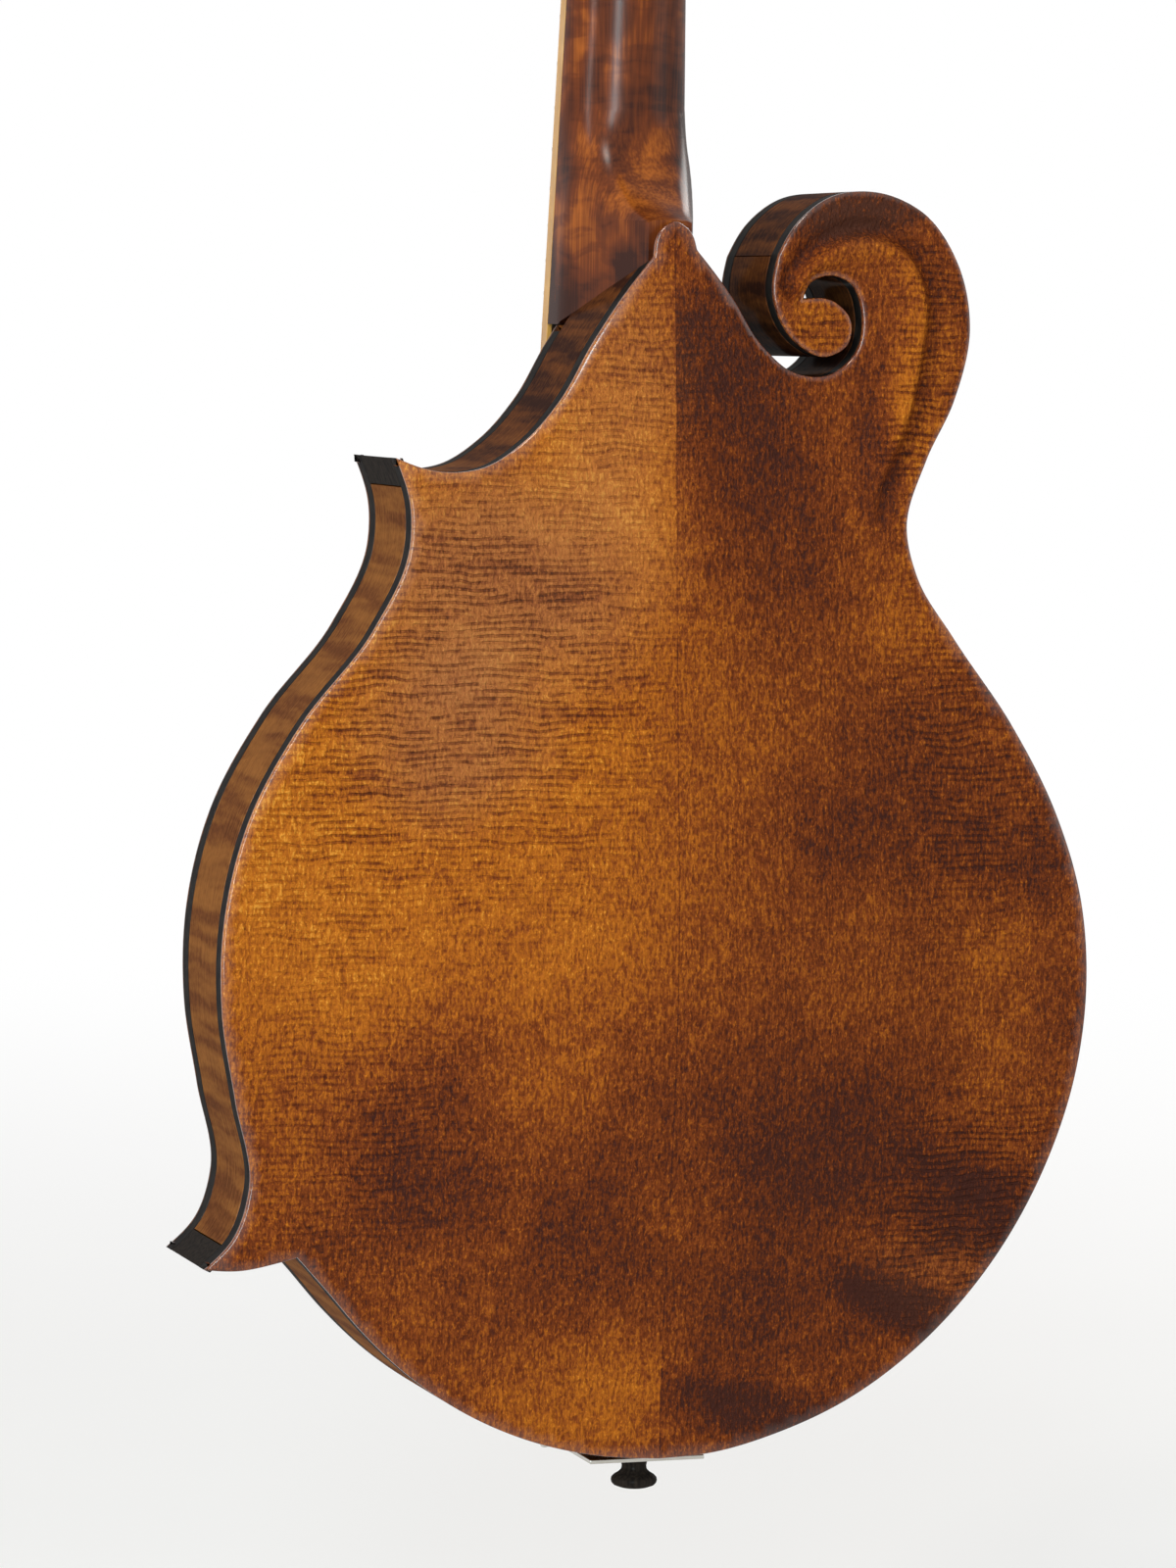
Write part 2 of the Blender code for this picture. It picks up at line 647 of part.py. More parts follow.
def joined_rings(bm, first, second):
    for i in range(len(first)):
        j = (i + 1) % len(first)
        bm.faces.new((first[i], first[j], second[j], second[i]))


def ring_at(bm, loop, y):
    return [bm.verts.new((p.x, y, p.y)) for p in loop]


def carved_plate(name, outline, arch, front, cavity, f_holes, finish, parent):
    """An arched plate with an edge lip over the binding, hollowed inside its cavity line."""
    edge = -BODY_DEPTH if front else 0.0
    out = -1.0 if front else 1.0
    rebate = BINDING_THICKNESS + GAP
    base = inset_path(outline, rebate, closed=True)

    def outer(x, z):
        if edge_distance([(x, z)], outline)[0] < 1e-6:
            return edge
        return edge + out * arch(x, z)

    def inner(x, z):
        level = 0.0
        if inside([(x, z)], cavity)[0]:
            share = min(1.0, edge_distance([(x, z)], cavity)[0] / 0.022)
            level = arch(x, z) * share * share * (3 - 2 * share)
        return edge - out * PLATE_EDGE + out * level

    lines = [arch.ridge, inset_path(arch.ridge, 0.0065), inset_path(arch.ridge, -0.0075)]
    points = plate_points(outline, cavity, f_holes, lines)
    under = [p for p in points if inside([p], cavity)[0]
             and edge_distance([p], cavity)[0] > 0.006]
    bm = bmesh.new()
    outer_rings = face_mesh(bm, [outline] + f_holes, points, outer, f_holes)
    inner_rings = face_mesh(bm, [base, cavity] + f_holes, under, inner, f_holes)
    lip = ring_at(bm, outline, edge - out * PLATE_LIP)
    step = ring_at(bm, base, edge - out * PLATE_LIP)
    joined_rings(bm, outer_rings[0], lip)
    joined_rings(bm, lip, step)
    joined_rings(bm, step, inner_rings[0])
    for above, under_ring in zip(outer_rings[1:], inner_rings[2:]):
        joined_rings(bm, above, under_ring)
    return add_object(name, bm, finish, parent)


def cavity_line(rim):
    """Inner line of the linings and blocks, straight across the head block."""
    depth = RIB_THICKNESS + LINING_WIDTH + 0.001
    inner = inset_path(rim, depth)
    tips = [Vector((p[0] * MM, p[1] * MM)) for p in (POINT_UPPER, POINT_LOWER)]
    kept = []
    for p in inner:
        clear = all((p - tip).length > BLOCK_REACH + 0.004 for tip in tips)
        at_tail = abs(p.x) < TAIL_BLOCK_HALF_WIDTH + 0.006 and p.y < 2 * TAIL_BLOCK_HEIGHT
        if p.y < HEAD_BLOCK_END - 0.004 and clear and not at_tail:
            if not kept or (p - kept[-1]).length > 0.006:
                kept.append(p)
    level = HEAD_BLOCK_END - 0.003
    ends = [a.lerp(b, (a.y - level) / (a.y - b.y)) for a, b in zip(inner, inner[1:])
            if (a.y > level) != (b.y > level)]
    treble, bass = ends[0], ends[-1] if ends[-1].x < -0.05 else ends[1]
    return kept + [bass, Vector((0.0, level)), treble]


def f_hole(side):
    """Outline of one f-hole: a tapered slot along an S curve between two round eyes."""
    steps = 44
    bend = 0.17
    length = F_LENGTH
    centre = Vector((side * F_OFFSET, F_HEIGHT))
    heading = math.radians(90 - 9)
    path = [Vector((0, 0))]
    headings = [heading]
    for i in range(steps):
        t = (i + 0.5) / steps
        curl_in = math.radians(205) * (max(0, (bend - t) / bend) ** 1.1 * 2.1 / steps / bend)
        curl_out = math.radians(205) * (max(0, (t - 1 + bend) / bend) ** 1.1 * 2.1 / steps / bend)
        heading += curl_out + curl_in
        path.append(path[-1] + Vector((math.cos(heading), math.sin(heading))) * length / steps)
        headings.append(heading)
    middle = path[steps // 2]
    tilt = math.pi / 2 - headings[steps // 2] - math.radians(6)
    left, right = [], []
    for i in range(0, steps + 1, 2):
        t = i / steps
        toward_end = min(t, 1 - t) * length
        eye = F_LOWER_EYE if t < 0.5 else F_UPPER_EYE
        slot = 0.0013 + 0.0012 * math.sin(math.pi * t) ** 2
        if toward_end < 2 * eye:
            slot = max(slot if toward_end > eye else 0.0,
                       math.sqrt(max(0.0, eye**2 - (toward_end - eye) ** 2)))
        normal = Vector((-math.sin(headings[i]), math.cos(headings[i])))
        nick = 0.0016 if i == steps // 2 else 0.0
        point = path[i] - middle
        if slot < 1e-6:
            left.append(point)
            continue
        left.append(point + normal * (slot + nick))
        right.append(point - normal * (slot + nick))
    loop = left + right[::-1]
    turn = Matrix.Rotation(tilt, 2)
    placed = [turn @ p for p in loop]
    return [Vector((centre.x + side * p.x, centre.y + p.y)) for p in placed]


# Body pieces

def heel_space(parent):
    """Cutter for the room that the neck and its heel take up, with clearance."""
    slope = (HEEL_HEIGHT - JOINT_HEIGHT) / BODY_DEPTH
    bm = bmesh.new()
    front = -BODY_DEPTH - HEEL_SPACE_BEYOND
    back = BACK_ARCH / 2
    top = HEEL_HEIGHT + HEEL_SPACE_BEYOND
    half = NECK_HALF_WIDTH_JOINT + HEEL_SPACE_MARGIN
    outline = ((front, JOINT_HEIGHT - GAP), (-BODY_DEPTH, JOINT_HEIGHT - GAP),
               (back, HEEL_HEIGHT - GAP + slope * back), (back, top), (front, top))
    prism(bm, outline, -half, half, place=lambda u, v, w: (w, u, v))
    return add_object("heel_space", bm, None, parent, cutter=True)


def tenon_bm(clearance):
    """The dovetail that locks the neck into the head block."""
    low, high = JOINT_HEIGHT - TENON_LENGTH - clearance, JOINT_HEIGHT + 0.024
    narrow = TENON_HALF_WIDTH + clearance
    wide = TENON_HALF_WIDTH + TENON_FLARE + clearance
    front = -BODY_DEPTH + PLATE_EDGE + 0.002 - clearance
    back = -BODY_DEPTH / 2 + 0.002 + clearance
    bm = bmesh.new()
    sections = [[(-wide, y, low), (wide, y, low), (narrow, y, high), (-narrow, y, high)]
                for y in (front, back)]
    loft(bm, sections)
    return bm


def lined(point):
    """Whether the rib carries linings here: everywhere between the blocks."""
    tips = [Vector((p[0] * MM, p[1] * MM)) for p in (POINT_UPPER, POINT_LOWER)]
    at_tail = abs(point.x) < TAIL_BLOCK_HALF_WIDTH + 0.004 and point.y < 2 * TAIL_BLOCK_HEIGHT
    return (point.y < HEAD_BLOCK_END - 0.002 and not at_tail
            and all((point - tip).length > BLOCK_REACH + 0.002 for tip in tips))


def stepped_path(path):
    """The path and its lining flags, with a near point wherever linings start or stop."""
    points = [path[0]]
    flags = [lined(path[0])]
    for before, here in zip(path, path[1:]):
        if lined(before) != lined(here):
            bare, full = (before, here) if lined(here) else (here, before)
            points.append(full.lerp(bare, LINING_END / (bare - full).length))
            flags.append(False)
        points.append(here)
        flags.append(lined(here))
    return points, flags


def ribs(finish, parent, cutter):
    """Bent sides with their linings, stepped at both edges to take the bindings."""
    step = PLATE_LIP + GAP + BINDING_HEIGHT + GAP
    tongue = BINDING_THICKNESS + GAP
    seat = PLATE_EDGE + GAP
    reach = CAP_REACH + GAP
    pieces = {
        "rib_treble_shoulder": (trim_path(shoulder, 0.0, reach), [], []),
        "rib_treble_waist": (trim_path(waist, reach, reach), [], []),
        "rib_treble_tail": (trim_path(chain(underside, treble_tail), reach, GAP / 2), [],
                            [bass_bout[1]]),
        "rib_bass": (trim_path(bass_bout, GAP / 2, GAP / 2), [treble_tail[-2]], [curl[1]]),
        "rib_scroll": (trim_path(chain(curl, bass_shoulder), GAP / 2, 0.0), [bass_bout[-2]], []),
    }
    made = {}
    for name, (path, before, after) in pieces.items():
        points, flags = stepped_path(path)
        kept = slice(len(before), len(before) + len(points))
        plain = not any(flags)
        sections = []
        for far in (RIB_THICKNESS, RIB_THICKNESS + LINING_WIDTH):
            half = [(0.0, -step), (tongue, -step), (tongue, -seat), (far, -seat)]
            if not plain:
                wide = max(far, RIB_THICKNESS + 0.0001)
                half[-1] = (wide, -seat)
                half += [(wide, -seat - 0.002), (RIB_THICKNESS, -seat - LINING_HEIGHT)]
            profile = half + [(inset, -BODY_DEPTH - y) for inset, y in half[::-1]]
            rails = [inset_path(before + points + after, inset)[kept] for inset, _ in profile]
            sections.append([[(rail[i].x, y, rail[i].y) for rail, (_, y) in zip(rails, profile)]
                             for i in range(len(points))])
        bm = bmesh.new()
        loft(bm, [sections[flag][i] for i, flag in enumerate(flags)])
        made[name] = add_object(name, bm, finish, parent)
    for name in ("rib_treble_shoulder", "rib_scroll"):
        boolean(made[name], cutter)
    return made


def bindings(finish, parent, cutter):
    low = PLATE_LIP + GAP
    high = low + BINDING_HEIGHT
    back = [(0.0, -low), (BINDING_THICKNESS, -low), (BINDING_THICKNESS, -high), (0.0, -high)]
    front = [(inset, -BODY_DEPTH - y) for inset, y in back]
    bm = bmesh.new()
    swept_strip(bm, RIM, back)
    boolean(add_object("binding_back", bm, finish, parent), cutter)
    bm = bmesh.new()
    swept_strip(bm, trim_path(TOP_RIM, 0.002, 0.002), front)
    boolean(add_object("binding_top", bm, finish, parent), cutter)


def point_pieces(wood, ebony, parent):
    """A block inside each point, and a cap over its tip."""
    step = PLATE_LIP + GAP + BINDING_HEIGHT + GAP
    seat = PLATE_EDGE + GAP
    sides = {"upper": (shoulder, waist), "lower": (waist, underside)}
    for name, (before, after) in sides.items():
        cap = [trim_path(before[::-1], CAP_REACH)[0], before[-1], trim_path(after, CAP_REACH)[0]]
        bm = bmesh.new()
        prism(bm, cap, -step, step - BODY_DEPTH)
        add_object("point_cap_" + name, bm, ebony, parent)
        reach = min(BLOCK_REACH, path_length(after) - 0.004)
        whole = chain(path_start(before[::-1], BLOCK_REACH)[::-1], path_start(after, reach))
        clear = inset_path(whole, RIB_THICKNESS + GAP)
        chord = (cap[2] - cap[0]).normalized()
        inward = Vector((chord.y, -chord.x))
        if inward.dot(before[-1] - cap[0]) > 0:
            inward = -inward
        block = [p for p in clear if (p - cap[0]).dot(inward) > GAP]
        bm = bmesh.new()
        prism(bm, block, -seat, seat - BODY_DEPTH)
        add_object("point_block_" + name, bm, wood, parent)


def path_length(path):
    return sum((b - a).length for a, b in zip(path, path[1:]))


def path_start(path, length):
    """The first stretch of a path, of the given length."""
    return trim_path(path, 0.0, path_length(path) - length)


def blocks(wood, parent, cutter):
    """Head block with the scroll's core, and tail block."""
    seat = PLATE_EDGE + GAP
    depth = RIB_THICKNESS + GAP
    inner = inset_path(RIM, depth)
    high = [i for i, p in enumerate(inner) if p.y > HEAD_BLOCK_END]
    split = next(k for k, (i, j) in enumerate(zip(high, high[1:])) if j > i + 1) + 1

    def cut_end(above, under):
        share = (inner[above].y - HEAD_BLOCK_END) / (inner[above].y - inner[under].y)
        return inner[above].lerp(inner[under], share)
    polygon = ([inner[i] for i in high[:split]] + [cut_end(high[split - 1], high[split - 1] + 1),
                                                   cut_end(high[split], high[split] - 1)]
               + [inner[i] for i in high[split:]])
    bm = bmesh.new()
    prism(bm, polygon, -seat, seat - BODY_DEPTH)
    head = add_object("head_block", bm, wood, parent)
    boolean(head, cutter)
    mortise = add_object("mortise_space", tenon_bm(GAP), None, parent, cutter=True)
    boolean(head, mortise)

    def crossing(x):
        for before, here in zip(inner, inner[1:]):
            if before.x >= x > here.x and here.y < TAIL_BLOCK_HEIGHT:
                return before.lerp(here, (before.x - x) / (before.x - here.x))
    tail = [p for p in inner if abs(p.x) < TAIL_BLOCK_HALF_WIDTH and p.y < TAIL_BLOCK_HEIGHT]
    tail = [crossing(TAIL_BLOCK_HALF_WIDTH)] + tail + [crossing(-TAIL_BLOCK_HALF_WIDTH)]
    polygon = tail + [Vector((tail[-1].x, TAIL_BLOCK_HEIGHT)),
                      Vector((tail[0].x, TAIL_BLOCK_HEIGHT))]
    bm = bmesh.new()
    prism(bm, polygon, -seat, seat - BODY_DEPTH)
    add_object("tail_block", bm, wood, parent)


def tone_bars(wood, parent, top):
    """Two spruce bars that brace the top, shaped to its inside."""
    surface = surface_probe(top, 1.0)
    for side, name in ((-1, "tone_bar_bass"), (1, "tone_bar_treble")):
        sections = []
        count = 11
        for i in range(count):
            t = i / (count - 1)
            z = TONE_BAR_CENTRE + (2 * t - 1) * TONE_BAR_HALF_LENGTH
            x = side * (TONE_BAR_OFFSET + 0.006 * (1 - 2 * t))
            height = TONE_BAR_HEIGHT * (TONE_BAR_TAPER + (1 - TONE_BAR_TAPER) * math.sin(math.pi * t))
            half = TONE_BAR_WIDTH / 2
            seat = max(surface(x + dx, z + dz) for dx in (-half, half)
                       for dz in (-0.004, 0.0, 0.004)) + GAP
            sections.append([(x - half, seat, z), (x + half, seat, z),
                             (x + half * 0.6, seat + height, z),
                             (x - half * 0.6, seat + height, z)])
        bm = bmesh.new()
        loft(bm, sections)
        add_object(name, bm, wood, parent)


def surface_probe(plate, from_side):
    """A function giving the y of a plate's face as met when coming from one side."""
    tree = BVHTree.FromPolygons([v.co[:] for v in plate.data.vertices],
                                [p.vertices[:] for p in plate.data.polygons])

    def probe(x, z):
        start = Vector((x, -BODY_DEPTH / 2 if from_side > 0 else -2 * BODY_DEPTH, z))
        hit = tree.ray_cast(start, Vector((0, -from_side, 0)))
        return hit[0].y if hit[0] else -BODY_DEPTH
    return probe


# Neck pieces

def board_half_width(along):
    """Half width of neck and board at a distance along the neck from the nut."""
    slope = (NECK_HALF_WIDTH_JOINT - NECK_HALF_WIDTH_NUT) / NECK_TO_JOINT
    return NECK_HALF_WIDTH_NUT + slope * along


def heel_half_width(y):
    """Half width of the heel at a depth in the body, which follows the shoulders."""
    share = min(1.0, max(0.0, (y + BODY_DEPTH) / BODY_DEPTH))
    return HEEL_HALF_WIDTH - (HEEL_HALF_WIDTH - BUTTON_TREBLE[0] * MM) * share


def neck_section(along, top, depth, half_width, heel_share):
    """One section of the neck, seen along it, from edge to edge round the back."""
    count = 8
    section = []
    for i in range(count + 1):
        angle = math.pi * i / count
        y = top + (depth - top) * math.sin(angle)
        round_x = half_width * math.cos(angle)
        body_y = (NECK_IN_BODY @ Vector((0, y, -along))).y
        spread = abs(math.cos(angle)) ** 0.22
        heel_x = math.copysign(min(half_width, heel_half_width(body_y)) * spread,
                               math.cos(angle))
        x = round_x * (1 - heel_share) + heel_x * heel_share
        section.append((x, y, -along))
    return section


def neck_shaft_bm():
    """Shaft, heel and the run into the peghead, cut to seat on the body."""
    top = BOARD_THICKNESS + GAP
    heel_tip = (BODY_IN_NECK @ Vector((0, 0, HEEL_TIP_HEIGHT))).z
    heel_start = -heel_tip - HEEL_CURVE_LENGTH
    sections = [neck_section(-0.022, 0.0125, 0.0195, 0.008, 0.0),
                neck_section(-0.012, 0.0085, 0.0195, 0.0115, 0.0),
                neck_section(-0.0040, top, 0.0207, NECK_HALF_WIDTH_NUT, 0.0)]
    for share in (0.0, 0.25, 0.5, 0.75, 1.0):
        along = share * heel_start
        depth = NECK_DEPTH_NUT + (NECK_DEPTH_HEEL - NECK_DEPTH_NUT) * share
        sections.append(neck_section(along, top, depth, board_half_width(along), 0.0))
    for step in (0.2, 0.4, 0.58, 0.74, 0.87, 0.96, 1.0):
        along = heel_start + HEEL_CURVE_LENGTH * step
        rise = 1 - math.sqrt(1 - step**2)
        depth = NECK_DEPTH_HEEL + (0.060 - NECK_DEPTH_HEEL) * rise
        sections.append(neck_section(along, top, depth, board_half_width(along), step**0.7))
    for along in (-heel_tip + 0.012, NECK_TO_JOINT + 0.014):
        sections.append(neck_section(along, top, 0.062, board_half_width(along), 1.0))
    bm = bmesh.new()
    loft(bm, sections)
    slope = Vector((0, HEEL_HEIGHT - JOINT_HEIGHT, -BODY_DEPTH))
    planes = (((0, -PLATE_EDGE - GAP, 0), (0, 1, 0)),
              ((0, -BODY_DEPTH, JOINT_HEIGHT), slope.normalized()),
              ((0, 0, JOINT_HEIGHT), (0, 0, -1)))
    for point, normal in planes:
        halved(bm, BODY_IN_NECK @ Vector(point), BODY_IN_NECK.to_3x3() @ Vector(normal))
    return bm


def head_outline():
    tight = math.radians(28)
    return chain(smooth_curve(HEAD_TREBLE_SIDE, tight), smooth_curve(HEAD_TREBLE_EDGE, tight),
                 smooth_curve(HEAD_TREBLE_HORN, tight), smooth_curve(HEAD_CREST, tight),
                 smooth_curve(HEAD_BASS_EDGE, tight), smooth_curve(HEAD_BASS_SIDE, tight))


def post_places():
    """Post centres in the peghead's plane: nearest pair first, bass side first."""
    return [(side * POST_X, POST_FIRST + i * POST_PITCH) for side in (-1, 1) for i in range(4)]


def neck(wood, neck_frame, head_frame, body_frame):
    shaft = add_object("neck", neck_shaft_bm(), wood, neck_frame)
    bm = bmesh.new()
    prism(bm, head_outline(), OVERLAY_THICKNESS + GAP, HEAD_THICKNESS)
    head = add_object("peghead_blank", bm, None, head_frame, cutter=True)
    boolean(shaft, head, "UNION")
    tenon = add_object("tenon_blank", tenon_bm(0.0), None, body_frame, cutter=True)
    boolean(shaft, tenon, "UNION")
    bm = bmesh.new()
    half = TRUSS_CHANNEL_WIDTH / 2
    box(bm, (-half, BOARD_THICKNESS - 0.008, -NECK_TO_JOINT + TRUSS_ROD_START),
        (half, BOARD_THICKNESS + GAP + TRUSS_CHANNEL_DEPTH, 0.026))
    channel = add_object("truss_channel", bm, None, neck_frame, cutter=True)
    boolean(shaft, channel)
    bm = bmesh.new()
    box(bm, (-0.020, -0.010, NUT_LENGTH - 0.001),
        (0.020, BOARD_THICKNESS + GAP + 0.00005, NUT_LENGTH + GAP))
    boolean(shaft, add_object("nut_slot", bm, None, neck_frame, cutter=True))
    bm = bmesh.new()
    for x, z in post_places():
        turned(bm, [(BUSHING_RADIUS + GAP, -0.003), (BUSHING_RADIUS + GAP, 0.007),
                    (POST_RADIUS + GAP, 0.0071), (POST_RADIUS + GAP, HEAD_THICKNESS + 0.002)],
               8, place=lambda u, v, h: (x + u, h, z + v))
    holes = add_object("post_holes", bm, None, head_frame, cutter=True)
    boolean(shaft, holes)
    return channel


def truss_rod(steel, ebony, neck_frame, head_frame):
    middle = BOARD_THICKNESS + GAP + TRUSS_CHANNEL_DEPTH - TRUSS_ROD_RADIUS - GAP
    start = -NECK_TO_JOINT + TRUSS_ROD_START + 2 * GAP
    bm = bmesh.new()
    turned(bm, [(TRUSS_ROD_RADIUS, start), (TRUSS_ROD_RADIUS, start + 0.010),
                (TRUSS_ROD_RADIUS * 0.75, start + 0.0105),
                (TRUSS_ROD_RADIUS * 0.75, TRUSS_NUT_START),
                (TRUSS_ROD_RADIUS, TRUSS_NUT_START + 0.0005),
                (TRUSS_ROD_RADIUS, TRUSS_NUT_START + 0.009)],
           8, place=lambda u, v, h: (u, middle + v, h))
    add_object("truss_rod", bm, steel, neck_frame)
    bm = bmesh.new()
    outline = [Vector((x * MM, z * MM)) for x, z in TRUSS_COVER_OUTLINE]
    prism(bm, outline, -GAP - TRUSS_COVER_THICKNESS, -GAP)
    cover = add_object("truss_rod_cover", bm, ebony, head_frame)
    bm = bmesh.new()
    for z in (0.0065, 0.0240):
        round_screw(bm, 0.0014, -GAP - TRUSS_COVER_THICKNESS, -0.0007, 0.0, z)
    boolean(cover, add_object("cover_screws", bm, None, head_frame, cutter=True), "UNION")


def fret_places():
    return [SCALE_LENGTH * (1 - 2 ** (-n / 12)) for n in range(1, FRET_COUNT + 1)]


def fretboard(ebony, binding, parent):
    """Board with its frets pressed in, and the binding round it."""
    end = BOARD_LENGTH
    side = BOARD_BINDING + GAP
    inner = [Vector((-board_half_width(0) + side, 0)), Vector((board_half_width(0) - side, 0)),
             Vector((board_half_width(end) - side, -end + side)),
             Vector((-board_half_width(end) + side, -end + side))]
    bm = bmesh.new()
    prism(bm, inner, 0.0, BOARD_THICKNESS)
    board = add_object("fretboard", bm, ebony, parent)
    wrap = [(-board_half_width(0), 0), (-board_half_width(0) + BOARD_BINDING, 0),
            (-board_half_width(end) + BOARD_BINDING, -end + BOARD_BINDING),
            (board_half_width(end) - BOARD_BINDING, -end + BOARD_BINDING),
            (board_half_width(0) - BOARD_BINDING, 0), (board_half_width(0), 0),
            (board_half_width(end), -end), (-board_half_width(end), -end)]
    bm = bmesh.new()
    prism(bm, [Vector(p) for p in wrap], FRET_SEAT + GAP, BOARD_THICKNESS)
    add_object("fretboard_binding", bm, binding, parent)
    bm = bmesh.new()
    for along in fret_places():
        half = board_half_width(along) - 0.0001
        crown = [(-FRET_WIDTH / 2, FRET_SEAT), (FRET_WIDTH / 2, FRET_SEAT),
                 (FRET_WIDTH * 0.28, -FRET_HEIGHT), (-FRET_WIDTH * 0.28, -FRET_HEIGHT)]
        loft(bm, [[(x, y, -along + z) for z, y in crown] for x in (-half, half)])
    boolean(board, add_object("fret_blanks", bm, None, parent, cutter=True), "UNION")


def extension_support(wood, parent, top):
    """The raised strip that carries the board over the top plate."""
    surface = surface_probe(top, -1.0)
    bm = bmesh.new()
    sections = []
    count = 6
    for i in range(count):
        along = NECK_TO_JOINT + 0.0006 + (BOARD_LENGTH - 0.003 - NECK_TO_JOINT) * i / (count - 1)
        half = board_half_width(along) - 0.0015
        upper = NECK_IN_BODY @ Vector((0, BOARD_THICKNESS + GAP, -along))
        width = (-1.0, -0.5, 0.0, 0.5, 1.0)
        low = [(k * half, min(surface(k * half + d, upper.z + e) for d in (-0.004, 0, 0.004)
                              for e in (-0.005, 0, 0.005)) - GAP, upper.z) for k in width]
        sections.append([(-half, upper.y, upper.z), (half, upper.y, upper.z)] + low[::-1])
    loft(bm, sections)
    add_object("extension_support", bm, wood, parent)


def nut(bone, parent):
    half = NECK_HALF_WIDTH_NUT - 0.0002
    crest = -NUT_HEIGHT + GAP
    profile = [(GAP, crest), (GAP, BOARD_THICKNESS), (NUT_LENGTH, BOARD_THICKNESS),
               (NUT_LENGTH, crest + 0.0012), (NUT_LENGTH * 0.6, crest + 0.0002)]
    bm = bmesh.new()
    loft(bm, [[(x, y, z) for z, y in profile] for x in (-half, half)])
    add_object("nut", bm, bone, parent)


def overlay(ebony, parent, channel):
    """Peghead face with the eight bushings pressed into it."""
    bm = bmesh.new()
    prism(bm, head_outline(), 0.0, OVERLAY_THICKNESS)
    made = add_object("peghead_overlay", bm, ebony, parent)
    boolean(made, channel)
    rings, bores = bmesh.new(), bmesh.new()
    for x, z in post_places():
        turned(rings, [(POST_RADIUS * 1.3, -0.0012), (BUSHING_FLANGE, 0.0002),
                       (BUSHING_RADIUS, 0.0003), (BUSHING_RADIUS, 0.0066)], 8,
               place=lambda u, v, h: (x + u, h, z + v))
        turned(bores, [(POST_RADIUS + GAP, -0.003), (POST_RADIUS + GAP, 0.008)], 8,
               place=lambda u, v, h: (x + u, h, z + v))
    boolean(made, add_object("bushing_blanks", rings, None, parent, cutter=True), "UNION")
    boolean(made, add_object("bushing_bores", bores, None, parent, cutter=True))


# Tuners

def gear_bm():
    """A helical wheel with a tooth gap facing its worm."""
    bm = bmesh.new()
    lead = WORM_PITCH / (2 * math.pi * (WORM_RADIUS + WORM_ROOT_RADIUS) / 2)
    twist = GEAR_THICKNESS * lead / ((GEAR_RADIUS + GEAR_ROOT_RADIUS) / 2)
    middle = -math.pi / 2
    tooth = 2 * math.pi / GEAR_TEETH
    rings = []
    for level, turn in ((-0.5, -0.5 * twist), (0.5, 0.5 * twist)):
        ring = []
        for k in range(GEAR_TEETH):
            for part, radius in ((0.0, GEAR_ROOT_RADIUS), (0.36, GEAR_RADIUS),
                                 (0.64, GEAR_RADIUS)):
                angle = middle + (k + part) * tooth - turn
                ring.append((radius * math.cos(angle), WORM_LEVEL + level * GEAR_THICKNESS,
                             radius * math.sin(angle)))
        rings.append(ring)
    loft(bm, rings)
    return bm


def post_mesh(steel, parent):
    """Post with its wheel and wheel screw, along the local Y axis."""
    under_gear = WORM_LEVEL - GEAR_THICKNESS / 2
    bm = bmesh.new()
    turned(bm, [(POST_RADIUS * 0.75, -POST_REACH), (POST_RADIUS, -POST_REACH + 0.0009),
                (POST_RADIUS, -POST_REACH + 0.0025), (POST_WAIST_RADIUS, -POST_REACH + 0.0033),
                (POST_WAIST_RADIUS, -0.0035), (POST_RADIUS, -0.0028),
                (POST_RADIUS, under_gear + 0.0008),
                (0.0022, WORM_LEVEL + GEAR_THICKNESS / 2 + 0.0010)], 8)
    post = add_object("post_blank", bm, steel, parent, cutter=True)
    gear = add_object("gear_blank", gear_bm(), steel, parent, cutter=True)
    boolean(post, gear, "UNION")
    return baked(post)


def worm_mesh(steel, parent):
    """Worm, shaft and button along the local X axis, button towards +X."""
    def ring(x, radius_y, radius_z):
        return [(x, radius_y * math.cos(math.pi * k / 4), radius_z * math.sin(math.pi * k / 4))
                for k in range(8)]
    core = WORM_ROOT_RADIUS
    start = BUTTON_START
    sections = [ring(-WORM_HALF_LENGTH - EAR_THICKNESS - 0.0012, core, core),
                ring(start - 0.0010, core, core),
                ring(start - 0.0008, core * 1.6, core * 1.6),
                ring(start + 0.0008, BUTTON_HALF_THICKNESS * 0.75, BUTTON_HALF_WIDTH * 0.55),
                ring(start + BUTTON_LENGTH * 0.55, BUTTON_HALF_THICKNESS, BUTTON_HALF_WIDTH),
                ring(start + BUTTON_LENGTH * 0.93, BUTTON_HALF_THICKNESS * 0.85,
                     BUTTON_HALF_WIDTH * 0.75),
                ring(start + BUTTON_LENGTH, BUTTON_HALF_THICKNESS * 0.4,
                     BUTTON_HALF_WIDTH * 0.4)]
    bm = bmesh.new()
    loft(bm, sections)
    shaft = add_object("shaft_blank", bm, steel, parent, cutter=True)
    turns = 1.5
    steps = round(turns * 8)
    thread = []
    for i in range(steps + 1):
        angle = 2 * math.pi * turns * (i / steps - 0.5)
        x = WORM_PITCH * angle / (2 * math.pi)
        radial = Vector((0, math.sin(-angle), math.cos(angle)))
        root = core * 0.75
        thread.append([Vector((x - 0.00034, 0, 0)) + radial * root,
                       Vector((x + 0.00034, 0, 0)) + radial * root,
                       Vector((x + 0.00014, 0, 0)) + radial * WORM_RADIUS,
                       Vector((x - 0.00014, 0, 0)) + radial * WORM_RADIUS])
    bm = bmesh.new()
    loft(bm, thread)
    boolean(shaft, add_object("thread_blank", bm, None, parent, cutter=True), "UNION")
    return baked(shaft)


